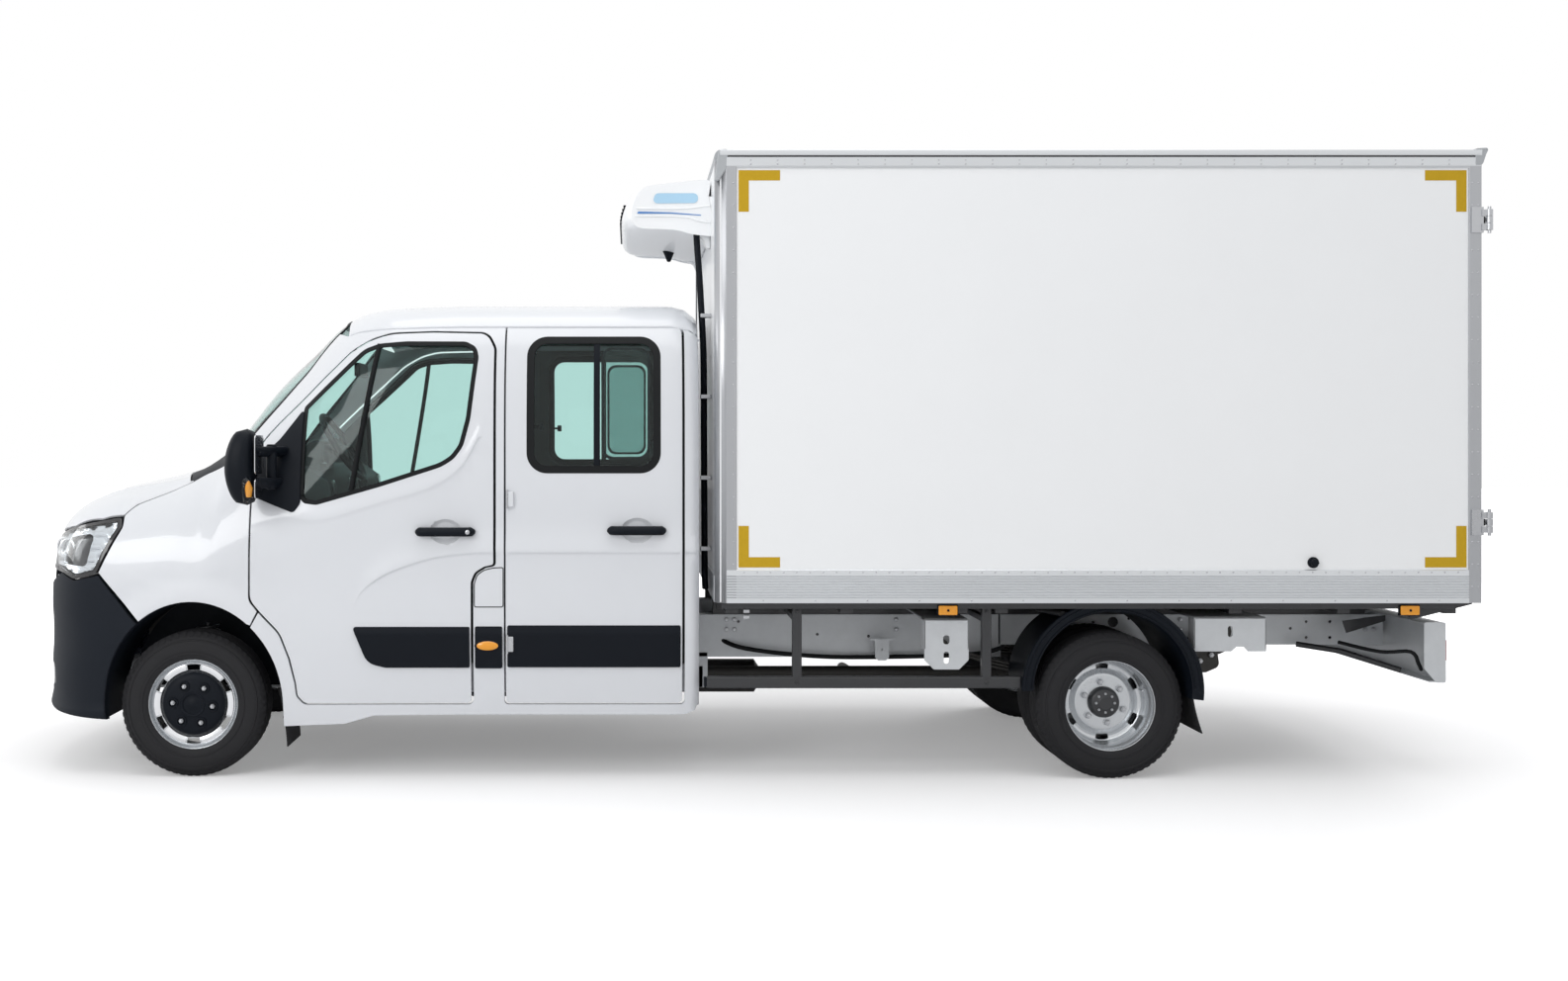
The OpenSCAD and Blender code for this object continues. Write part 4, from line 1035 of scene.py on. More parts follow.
for side, word in SIDES:
    skin = on_flank(side)
    front, crew = f"front_door_{word}", f"crew_door_{word}"
    for name, line, body in (("front", strip_front, front), ("middle", strip_middle, "truck"),
                             ("crew", strip_crew, crew)):
        panel(f"strip_{name}_{word}", line, skin, black_plastic, body, depth=-0.016, thick=0.016,
              relief=strip_relief, roll=0.007, slot="black_plastic",
              extra=[(0.78 + 0.03 * k, v) for k in range(52) for v in (0.682, 0.690, 0.698)])
    # A black band showing round the fuel flap is painted shade for its shut gap.
    panel(f"fuel_flap_gap_shade_{word}", grown(flap_line, 0.004), skin, seal_rubber, "truck",
          depth=-0.0008, thick=0.001, roll=0, relief=belt, slot="black_plastic")
    panel(f"fuel_flap_{word}", flap_line, skin, white_paint, "truck", depth=-0.0022, thick=0.002,
          roll=0.003)
    for name, x0, x1, z, body in (("front", 1.071, 1.337, 1.167, front),
                                  ("crew", 1.971, 2.232, 1.173, crew)):
        piece(f"handle_{name}_{word}", *handle_bar(skin, x0, x1, z), black_plastic, body,
              slot="black_plastic", smooth=50)
    lock = skin(1.312, 1.167, -0.048)
    piece(f"door_lock_{word}", *join([
        turned([(0.0, 0.008), (0.008, 0.008), (0.0105, 0.006), (0.0105, 0.0)],
               (lock.x, lock.y, lock.z), side, 24),
        block((lock.x - 0.001, min(lock.y, lock.y + side * 0.009), lock.z - 0.006),
              (lock.x + 0.001, max(lock.y, lock.y + side * 0.009), lock.z + 0.006))]), zinc, front,
        slot="bright_steel", smooth=40)
    for k, z in enumerate((1.320, 0.640)):
        spot = skin(1.500, z)
        out = (0.0, 0.016) if z > 1 else (0.012, 0.026)
        ys = sorted((spot.y + side * out[0] - side * 0.006, spot.y + side * out[1]))
        piece(f"door_hinge_{k}_{word}", *join([
            block((spot.x - 0.012, ys[0], z - 0.036), (spot.x + 0.024, ys[1], z + 0.036))]),
            white_paint if z > 1 else zinc, crew, bevel=0.004, smooth=40)
        piece(f"door_hinge_pin_{k}_{word}", *bar([(spot.x - 0.006, spot.y + side * (out[1] - 0.002),
                                                   z + d)
                                                 for d in (-0.044, 0.044)], 0.0065, 14), zinc,
              crew, slot="bright_steel", smooth=40)
    divider = [skin(0.880 - 0.120 * t, 2.050 - 0.690 * t,
                    0.004) for t in (k / 10 for k in range(11))]
    piece(f"quarter_divider_{word}", *bar(divider, 0.015, 8, flat=0.6), seal_rubber, front,
          slot="black_plastic", smooth=50)
    panel(f"crew_divider_{word}", [(1.899, 1.470), (1.929, 1.470), (1.929, 2.060), (1.899, 2.060)],
          skin, black_plastic, crew, depth=0.004, thick=0.014, slot="black_plastic")
    panel(f"crew_slider_{word}", fillet([(1.935, 1.505), (2.165, 1.505), (2.165, 2.035),
                                         (1.935, 2.035)], 0.05),
          skin, black_plastic, crew, depth=0.018, thick=0.008, slot="black_plastic",
          holes=[fillet([(1.948, 1.518), (2.152, 1.518), (2.152, 2.022), (1.948, 2.022)], 0.045)])
    panel(f"slider_glass_{word}", fillet([(1.944, 1.514), (2.156, 1.514), (2.156, 2.026),
                                          (1.944, 2.026)], 0.045),
          skin, dark_glass, crew, depth=0.020, thick=0.003, slot="glass", roll=0, grid=0.1)
    latch = skin(1.650, 1.660, 0.045)
    piece(f"window_latch_{word}", *join([
        block((latch.x - 0.012, latch.y - 0.012, latch.z - 0.018),
              (latch.x + 0.012, latch.y + 0.012, latch.z + 0.018)),
        block((latch.x - 0.040, latch.y - 0.006, latch.z - 0.006),
              (latch.x - 0.006, latch.y + 0.006, latch.z + 0.006))]),
        black_plastic, crew, slot="black_plastic", bevel=0.003)
    sail = fillet([(0.515, 1.752), (0.400, 1.600), (0.292, 1.500), (0.290, 1.330), (0.488, 1.254),
                   (0.520, 1.300)], [0.01, 0.12, 0.03, 0.03, 0.02, 0.04])
    panel(f"mirror_sail_{word}", sail, skin, black_plastic, front, depth=-0.014, thick=0.016,
          roll=0.008, slot="black_plastic", replaces=(f"mirror_{word}",),
          relief=lambda u,
          v: 0.018 * math.exp(-((u - 0.40) / 0.09) ** 2 - ((v - 1.46) / 0.13) ** 2))
    foot = skin(0.40, 1.46, -0.02)
    for k, (z, drop) in enumerate(((1.543, 0.0), (1.395, 0.006))):
        here = [(at(x), y, z + dz) for x, y, dz in (
            (0.430, foot.y - side * 0.02, 0.0), (0.395, foot.y + side * 0.07, 0.0),
            (0.350, foot.y + side * 0.135, drop), (0.310, foot.y + side * 0.155, drop))]
        piece(f"mirror_arm_{k}_{word}", *bar(smooth_curve(here, 5), 0.030, 14, flat=0.62),
              black_plastic, front, slot="black_plastic", smooth=50)
    piece(f"mirror_pivot_{word}", *bar([(at(0.392), foot.y + side * 0.07, z) for z in
                                        (1.365, 1.372, 1.57, 1.577)], [0.018, 0.024, 0.024, 0.018],
                                       20), black_plastic, front, slot="black_plastic", smooth=50)
    head_y = foot.y + side * 0.175
    rows, verts, faces = 26, [], []
    for i in range(rows + 1):
        t = i / rows
        swell = math.sin(math.pi * min(1.0, max(0.0, t))) ** 0.28 if 0 < t < 1 else 0.0
        z = 1.297 + 0.352 * t
        lean = 0.016 * math.sin(math.pi * t)
        for k in range(24):
            a = 2 * math.pi * k / 24
            ca, sa = math.cos(a), math.sin(a)
            px = 0.072 * abs(ca) ** 0.7 * (1 if ca > 0 else -1) * (0.75 if ca > 0 else 1.15)
            py = 0.105 * abs(sa) ** 0.75 * (1 if sa > 0 else -1)
            verts.append((at(0.305 - lean) + px * swell, head_y + py * swell, z))
    for i in range(rows):
        for k in range(24):
            a, b = i * 24 + k, i * 24 + (k + 1) % 24
            faces.append((a, b, b + 24, a + 24))
    piece(f"mirror_head_{word}", verts, faces, black_plastic, front, slot="black_plastic",
          smooth=60)
    for k, (z0, z1) in enumerate(((1.330, 1.420), (1.440, 1.620))):
        glass = fillet([(-0.085, z0), (0.085, z0), (0.085, z1), (-0.085, z1)], 0.022)
        piece(f"mirror_glass_{k}_{word}", *plate(glass, lambda u, v,
                                                 d: (at(0.3565) + d, head_y + u, v),
                                                0.004), polished, front, slot="glass", bevel=0.001)
    low = [(at(0.284 + x), head_y + side * y, z) for x, y, z in
           ((0.020, 0.078, 1.432), (0.036, 0.086, 1.412), (0.046, 0.090, 1.375),
            (0.044, 0.085, 1.340), (0.030, 0.076, 1.318))]
    piece(f"indicator_clear_{word}", *bar(low, [0.010, 0.024, 0.030, 0.028, 0.012], 14, flat=0.7),
          clear_lens, front, slot="lamp", smooth=60)
    piece(f"indicator_amber_{word}", *bar([Vector(p) + Vector((0, -side * 0.008,
        0)) for p in low[1:4]],
                                          [0.008, 0.015, 0.010], 12), amber, front, slot="lamp",
          smooth=60)
    marker = skin(1.402, 0.633, -0.016)
    ring = turned([(0.0, 0.010), (0.4, 0.0095), (0.8, 0.007), (1.0, 0.002), (1.0, 0.0)],
                  (0, 0, 0), side, 40)
    for name, used, grow, lift in (("rim", black_plastic, 1.1, 0.0), ("lens", amber, 0.92, 0.004)):
        verts = [(marker.x + v[0] * 0.056 * grow, marker.y + v[1] + side * lift,
                  marker.z + v[2] * 0.0235 * grow) for v in ring[0]]
        piece(f"side_marker_{name}_{word}", verts, ring[1], used, slot="lamp", smooth=40)
print("pieces:", len(made))

# %% Wipers, roof seam, sill trims and rear-view mirror
for k, (x0, y0, y1) in enumerate(((0.02, 0.10, -0.66), (0.02, 0.62, -0.02))):
    blade = [on_crown(x0 + 0.145 * ((y0 + (y1 - y0) * t) / 0.78) ** 2 + 0.035, y0 + (y1 - y0) * t,
                      -0.016)
             for t in (i / 14 for i in range(15))]
    piece(f"wiper_blade_{k}", *bar(blade, 0.007, 8, flat=1.6), seal_rubber, slot="black_plastic",
          smooth=60)
    root = on_crown(-0.05, y0 * 0.35 - 0.05, -0.03)
    middle = blade[7]
    piece(f"wiper_arm_{k}", *bar([root, root.lerp(middle, 0.25) + Vector((0, 0, 0.02)),
                                  root.lerp(middle, 0.7) + Vector((0, 0, 0.016)), middle],
                                 [0.014, 0.012, 0.008, 0.006], 10), black_plastic,
          slot="black_plastic", smooth=60)
    piece(f"wiper_pivot_{k}", *bar([root + Vector((0, 0, -0.03)), root + Vector((0, 0, 0.014))],
                                   0.02, 16), black_plastic, slot="black_plastic", smooth=40)
for side, word in SIDES:
    ditch = [on_flank(side)(x, KNEE + 0.9 * (section(x)[1] - KNEE), -0.0008)
             for x in (0.72 + 0.07 * k for k in range(25))]
    piece(f"roof_seam_{word}", *bar(ditch, 0.0065, 8), white_paint, smooth=60)
piece("inside_mirror", *join([
    bar([on_crown(0.56, 0.0, 0.02), (at(0.62), 0, on_crown(0.56, 0.0).z - 0.09)], 0.012, 10),
    block((at(0.62), -0.13, 1.93), (at(0.65), 0.13, 2.0))]), black_plastic, slot="black_plastic",
    bevel=0.008, smooth=40)
print("wipers and seams:", len(made))

# %% [markdown]
# ## Inside the cab
# Through the windows one sees a dark dashboard, the steering wheel, the seats and the linings.
# Trim panels are laid on the same cab surface as the doors, only deeper. Seats are stuffed, so
# each cushion starts as a ball blown up into a box: its top is crowned, its sides pull in
# between the corners, and sewn channels are pressed into its face.

# %% Floor, bulkhead, posts and roof lining
def across(outline, low, high):
    """A side-view outline with a thickness across the truck, from one y to another."""
    return plate(outline, lambda u, v, d: (at(u), low + d, v), high - low)


piece("cab_floor", *join([
    block((at(0.47), -0.93, 0.470), (at(2.36), 0.93, 0.505)),
    across([(0.285, 0.90), (0.305, 0.90), (0.478, 0.515), (0.460, 0.500)], -0.50, 0.50)]),
      trim_grey, slot="black_plastic", bevel=0.004)
piece("cab_bulkhead", *join([
    block((at(0.272), -0.80, 0.86), (at(0.298), 0.80, 1.455))]
    + [block((at(0.455), min(s * 0.50, s * 0.89), 0.345),
             (at(0.480), max(s * 0.50, s * 0.89), 0.885))
       for s in (-1, 1)]
    + [block((at(0.275), min(s * 0.50, s * 0.80), 0.860),
             (at(0.480), max(s * 0.50, s * 0.80), 0.885))
       for s in (-1, 1)]), trim_grey, slot="black_plastic", bevel=0.004)
for side, word in SIDES:
    skin = on_flank(side)
    sill = sorted((side * 0.895, side * 0.945))
    piece(f"inner_sill_{word}", *block((at(0.55), sill[0], 0.40), (at(2.35), sill[1], 0.535)),
          white_paint, bevel=0.006)
    for name, line in (("middle", [(1.370, 0.46), (1.540, 0.46), (1.540, 2.10), (1.370, 2.10)]),
                       ("rear", [(2.280, 0.46), (2.370, 0.46), (2.370, 2.10), (2.280, 2.10)])):
        panel(f"{name}_post_trim_{word}", fillet(line, 0.03), skin, trim_grey, depth=0.084,
              thick=0.012, slot="black_plastic", roll=0.006)
lining_edge = [(x, 0.93 * y) for x, y in roof_side[1:]]
panel("roof_lining", both_halves([(0.72, 0.02), (0.72, 0.3), (0.73, 0.6)] + lining_edge),
      on_crown, trim_pale, depth=0.040, thick=0.012, grid=0.08, slot="seat_fabric")
print("lined the cab:", len(made))

# %% Dashboard and steering wheel
DASH = fillet([(0.305, 1.005), (0.305, 1.460), (0.505, 1.466), (0.615, 1.388), (0.620, 1.292),
               (0.558, 1.122), (0.520, 1.005)], [0.01, 0.02, 0.07, 0.04, 0.05, 0.05, 0.01])
piece("dashboard", *across(DASH, -0.775, 0.775), trim_grey, slot="black_plastic", bevel=0.012,
      smooth=40, replaces=("dashboard",))
HOOD = fillet([(0.420, 1.430), (0.440, 1.560), (0.500, 1.598), (0.545, 1.588), (0.530, 1.430)],
              [0.01, 0.06, 0.05, 0.012, 0.01])
piece("instrument_hood", *across(HOOD, -0.615, -0.255), trim_grey, slot="black_plastic",
      bevel=0.014, segments=3, smooth=40)
piece("instruments", *block((at(0.532), -0.585, 1.475), (at(0.548), -0.285, 1.575)), gloss_black,
      slot="black_plastic", bevel=0.003)
piece("centre_console", *join([
    across(fillet([(0.50, 0.80), (0.52, 1.44), (0.635, 1.390), (0.645, 1.27), (0.70, 1.02),
                   (0.66, 0.80)], [0.01, 0.02, 0.03, 0.04, 0.04, 0.01]), -0.15, 0.17)]),
      trim_grey, slot="black_plastic", bevel=0.01, smooth=40)
piece("console_screen", *block((at(0.632), -0.10, 1.295), (at(0.645), 0.12, 1.385)), gloss_black,
      slot="black_plastic", bevel=0.003)
for k, y in enumerate((-0.70, -0.19, 0.21, 0.70)):
    piece(f"air_vent_{k}", *join([bar([(at(0.560), y, 1.355), (at(0.622), y, 1.362)], 0.038, 24)]
                                 + [block((at(0.618), y - 0.032, 1.338 + 0.014 * i),
                                          (at(0.626), y + 0.032, 1.342 + 0.014 * i))
                                    for i in range(4)]), gloss_black, slot="black_plastic",
          smooth=40)
piece("gear_lever", *join([bar([(at(0.670), 0.0, 1.06), (at(0.735), -0.01, 1.17)], 0.009, 10),
                           bar([(at(0.730), -0.01, 1.160), (at(0.740), -0.01, 1.175),
                                (at(0.755), -0.012, 1.205), (at(0.760), -0.012, 1.215)],
                               [0.012, 0.024, 0.026, 0.012], 16)]), black_plastic,
      slot="black_plastic", smooth=50)
HUB = Vector((at(0.615), -0.430, 1.560))
TILT = math.radians(57)
COLUMN = Vector((math.sin(TILT), 0, math.cos(TILT)))
UP_RIM = Vector((-math.cos(TILT), 0, math.sin(TILT)))


def on_wheel(angle, radius, lift=0.0):
    """A place on the steering wheel: an angle from its top, a distance and a height."""
    return HUB + radius * (UP_RIM * math.cos(angle) + Vector((0, math.sin(angle),
        0))) + COLUMN * lift


rim = [on_wheel(2 * math.pi * k / 48, 0.185) for k in range(48)]
spokes = []
for angle in (90, 270, 180):
    a = math.radians(angle)
    spokes.append(bar([on_wheel(a, 0.03, -0.022), on_wheel(a, 0.10, -0.016), on_wheel(a, 0.182)],
                      [0.030, 0.022, 0.014], 12, flat=0.5))
piece("steering_wheel", *join([bar(rim, 0.015, 12, closed=True)] + spokes), black_plastic,
      slot="black_plastic", smooth=60, replaces=("steering_wheel",))
piece("steering_boss", *bar([HUB - COLUMN * 0.050, HUB - COLUMN * 0.030, HUB - COLUMN * 0.004,
                             HUB + COLUMN * 0.004], [0.045, 0.066, 0.062, 0.030], 28),
      trim_grey, slot="black_plastic", smooth=50)
piece("steering_column", *bar([HUB - COLUMN * 0.040, HUB - COLUMN * 0.120], 0.042, 20), trim_grey,
      slot="black_plastic", smooth=50)
for k, swing in enumerate((-1, 1)):
    root = HUB - COLUMN * 0.060
    piece(f"column_stalk_{k}", *bar([root, root + Vector((0.01, swing * 0.13, 0.02))],
                                    [0.008, 0.011], 10), black_plastic, slot="black_plastic",
          smooth=60)
print("dashboard and steering wheel made")


# %% Seats with crowned, sewn cushions
def stuffed(name, centre, size, lean=0.0, crown=0.02, sewn=(), across_sewn=(), cells=22):
    """A stuffed box: crowned on top, pulled in along its sides, with sewn channels pressed in.
    lean turns it about the cross axis; sewn and across_sewn are places from -1 to 1."""
    hx, hy, hz = (s / 2 for s in size)
    verts, faces, known = [], [], {}
    turn = Matrix.Rotation(lean, 3, "Y")

    def corner(x, y, z):
        key = (round(x, 5), round(y, 5), round(z, 5))
        if key not in known:
            pull = (abs(x) ** 7 + abs(y) ** 7 + abs(z) ** 7) ** (1 / 7)
            px, py, pz = x / pull, y / pull, z / pull
            px *= 1 - 0.035 * (1 - py * py) * abs(px)
            py *= 1 - 0.030 * (1 - px * px) * abs(py)
            top = max(0.0, pz) ** 3
            rise = crown * (1 - px * px) * (1 - py * py) * top
            for place, along in ((s, py) for s in sewn):
                rise -= 0.009 * math.exp(-((along - place) * hy / 0.010) ** 2) * top
            for place, along in ((s, px) for s in across_sewn):
                rise -= 0.009 * math.exp(-((along - place) * hx / 0.010) ** 2) * top
            known[key] = len(verts)
            verts.append(Vector(centre) + turn @ Vector((px * hx, py * hy, pz * hz + rise)))
        return known[key]

    wide = max(cells, round(cells * size[1] / 0.5))
    for axis in range(3):
        for end in (-1, 1):
            nu, nv = {2: (cells, wide), 1: (cells, 10), 0: (wide, 10)}[axis]
            for i in range(nu):
                for j in range(nv):
                    quad = []
                    for du, dv in ((0, 0), (1, 0), (1, 1), (0, 1)):
                        u, v = 2 * (i + du) / nu - 1, 2 * (j + dv) / nv - 1
                        quad.append(corner(*{2: (u, v, end), 1: (u, end, v), 0: (end, u, v)}[axis]))
                    flip = (end > 0) == (axis == 1)
                    faces.append(tuple(reversed(quad)) if flip else tuple(quad))
    obj = piece(name, verts, faces, seat_cloth, slot="seat_fabric", smooth=180)
    rim = []
    for k in range(64):
        a = 2 * math.pi * k / 64
        c, s = math.cos(a), math.sin(a)
        q = (abs(c) ** 7 + abs(s) ** 7) ** (1 / 7)
        rim.append(Vector(centre) + turn @ Vector((hx * 0.955 * c / q, hy * 0.965 * s / q,
                                                   hz * 0.80)))
    piece(name + "_seam", *bar(rim, 0.0035, 6, closed=True), seal_rubber, slot="seat_fabric",
          smooth=60)
    return obj


LEAN = math.radians(14)
for name, x, y, width, places, lift in (("driver", 0.760, -0.500, 0.500, 1, 0.17),
                                        ("passenger", 0.760, 0.420, 0.860, 2, 0.17),
                                        ("bench", 1.595, 0.000, 1.640, 3, 0.0)):
    piece(f"{name}_seat_base", *block((at(x + 0.05), y - width / 2 + 0.04, 0.507),
                                      (at(x + 0.44), y + width / 2 - 0.04, 0.748 + lift)),
                                      trim_grey,
          slot="black_plastic", bevel=0.01,
          **({"replaces": ("seats",)} if name == "driver" else {}))
    each = width / places
    for k in range(places):
        middle = y - width / 2 + each * (k + 0.5)
        tag = f"{name}_{k}"
        stuffed(f"cushion_{tag}", (at(x + 0.245), middle, 0.800 + lift),
                (0.47, each - 0.006, 0.125),
                crown=0.022, sewn=(-0.62, 0.62), across_sewn=(0.35,))
        up = Vector((math.sin(LEAN), 0, math.cos(LEAN)))
        back = Vector((at(x + 0.470), middle, 0.870 + lift)) + up * 0.31
        stuffed(f"backrest_{tag}", back, (0.62, each - 0.006, 0.105), lean=LEAN - math.pi / 2,
                crown=0.020, sewn=(-0.60, 0.60), across_sewn=(0.30,))
        head = Vector((at(x + 0.470), middle, 0.870 + lift)) + up * 0.685
        stuffed(f"headrest_{tag}", head, (0.12, 0.24, 0.085), lean=LEAN - math.pi / 2, crown=0.015,
                cells=12)
        piece(f"headrest_posts_{tag}", *join([bar([head + Vector((0, d, 0)) - up * 0.12,
                                                   head + Vector((0, d, 0))], 0.006, 10)
                                              for d in (-0.06, 0.06)]), zinc,
              slot="bright_steel", smooth=60)
print("seats made:", len(made))

# %% Engine block and fuel tank
piece("engine_block", *join([
    block((at(-0.415), -0.295, 0.525), (at(0.195), 0.295, 0.985)),
    block((at(-0.380), -0.200, 0.980), (at(0.150), 0.200, 1.075))]
    + [block((at(-0.36 + 0.13 * k), -0.215, 0.975), (at(-0.30 + 0.13 * k), 0.215, 1.045))
       for k in range(4)]), cast_steel, slot="dark_steel", bevel=0.02, segments=3, smooth=40,
      replaces=("engine_block",))
TANK = fillet([(-0.820, 0.454), (-0.820, 0.372), (-0.640, 0.330), (-0.450, 0.307), (-0.450, 0.454)],
              [0.03, 0.03, 0.06, 0.03, 0.03])
piece("fuel_tank", *plate(TANK, lambda u, v, d: (at(1.282) + d, u, v), 0.956), black_plastic,
      slot="black_plastic", bevel=0.012, smooth=40, replaces=("fuel_tank",))
piece("tank_straps", *join([plate(grown(TANK, 0.0), lambda u, v, d, x=x: (at(x) + d, u, v), 0.04)
                            for x in (1.50, 2.00)]), galvanised, slot="galvanised", smooth=40)
print("engine and tank made")

# %% [markdown]
# ## Wheels
# Tyres are turned profiles with tread blocks cut by four grooves, and shoulder lugs. A front rim
# shows its bulged disc under a polished trim ring, six slots and a black hub cover with six
# nuts. A rear pair shows the deep dish of its outer rim.

# %% Tyres, rims and hubs
def tyre(centre_x, centre_y, side, name, body, replaces):
    r, w = TYRE_R, TYRE_W
    profile = []
    for out, radius in ((-0.085, 0.212), (-0.0955, 0.225), (-0.0975, 0.262), (-0.094, 0.300),
                        (-0.083, 0.325), (-0.071, r - 0.006), (-0.062, r - 0.002)):
        profile.append((radius, out))
    for groove in (-0.040, -0.0135, 0.0135, 0.040):
        profile += [(r - 0.0005, groove - 0.0048), (r - 0.009, groove - 0.0034),
                    (r - 0.009, groove + 0.0034), (r - 0.0005, groove + 0.0048)]
    profile += [(radius, -out) for radius, out in reversed(profile[:7])]
    detail = []
    for radius, out in profile:
        detail.append((radius, out))
    here = turned(detail, (centre_x, centre_y, TYRE_R), side, 120)
    verts, faces = here
    blocks = []
    for k in range(60):
        a0 = 2 * math.pi * k / 60
        for s in (-1, 1):
            pts = []
            for a, grow in ((a0, 0), (a0 + 0.062, 0)):
                for radius, out in ((0.322, 0.0855), (r - 0.009, 0.0745), (r - 0.0012, 0.0665)):
                    pts.append((centre_x + radius * math.cos(a + (0.02 if radius > 0.34 else 0)),
                                centre_y + s * (out + 0.0022),
                                TYRE_R + radius * math.sin(a + (0.02 if radius > 0.34 else 0))))
            for a in (a0, a0 + 0.062):
                for radius, out in ((0.322, 0.078), (r - 0.016, 0.066), (r - 0.010, 0.060)):
                    pts.append((centre_x + radius * math.cos(a), centre_y + s * out,
                                TYRE_R + radius * math.sin(a)))
            blocks.append((pts, [(0, 1, 4, 3), (1, 2, 5, 4), (0, 6, 7, 1), (1, 7, 8, 2),
                                 (3, 4, 10, 9), (4, 5, 11, 10), (0, 3, 9, 6), (2, 8, 11, 5)]))
    ring = turned([(0.236, 0.0965), (0.238, 0.0995), (0.246, 0.0998), (0.248, 0.0968)],
                     (centre_x, centre_y, TYRE_R), side, 96)
    bead = turned([(0.300, 0.0938), (0.302, 0.0966), (0.306, 0.0955), (0.308, 0.0915)],
                  (centre_x, centre_y, TYRE_R), side, 96)
    piece(name, *join([(verts, faces), ring, bead] + blocks), rubber, body, slot="tyre",
          smooth=38, replaces=replaces)


def disc(outline_rings, centre, side, slots, slot_r, slot_size):
    """A wheel disc as rings of (radius, outward), with slots cut by leaving faces out."""
    steps = 144
    verts, faces = [], []
    for k in range(steps):
        a = 2 * math.pi * k / steps
        for radius, out in outline_rings:
            verts.append((centre[0] + radius * math.cos(a), centre[1] + side * out,
                          centre[2] + radius * math.sin(a)))
    n = len(outline_rings)
    for k in range(steps):
        for i in range(n - 1):
            middle = (outline_rings[i][0] + outline_rings[i + 1][0]) / 2
            a = 360 * (k + 0.5) / steps
            nearest = min(abs((a - 30 - 60 * j + 180) % 360 - 180) for j in range(slots))
            along = math.radians(nearest) * slot_r
            if (along / slot_size[0]) ** 4 + ((middle - slot_r) / slot_size[1]) ** 4 < 1:
                continue
            quad = (k * n + i, k * n + i + 1, ((k + 1) % steps) * n + i + 1,
                    ((k + 1) % steps) * n + i)
            faces.append(quad if side == RIGHT else quad[::-1])
    return verts, faces


def nut(centre, side, across, out, tall):
    """A nut with a chamfered top and a stud, on an axle that points to one side."""
    x, y, z = centre
    parts = [turned([(0.0, out + tall), (across * 0.8, out + tall), (across, out + tall * 0.8),
                     (across, out), (0.0, out)], centre, side, 6),
             turned([(0.0, out + tall + 0.008), (across * 0.42, out + tall + 0.007),
                     (across * 0.5, out + tall + 0.004), (across * 0.5, out)], centre, side, 16)]
    return join(parts)


def finer(profile, most=0.004):
    out = [profile[0]]
    for (r0, o0), (r1, o1) in zip(profile, profile[1:]):
        n = max(1, math.ceil(math.hypot(r1 - r0, o1 - o0) / most))
        out += [(r0 + (r1 - r0) * k / n, o0 + (o1 - o0) * k / n) for k in range(1, n + 1)]
    return out


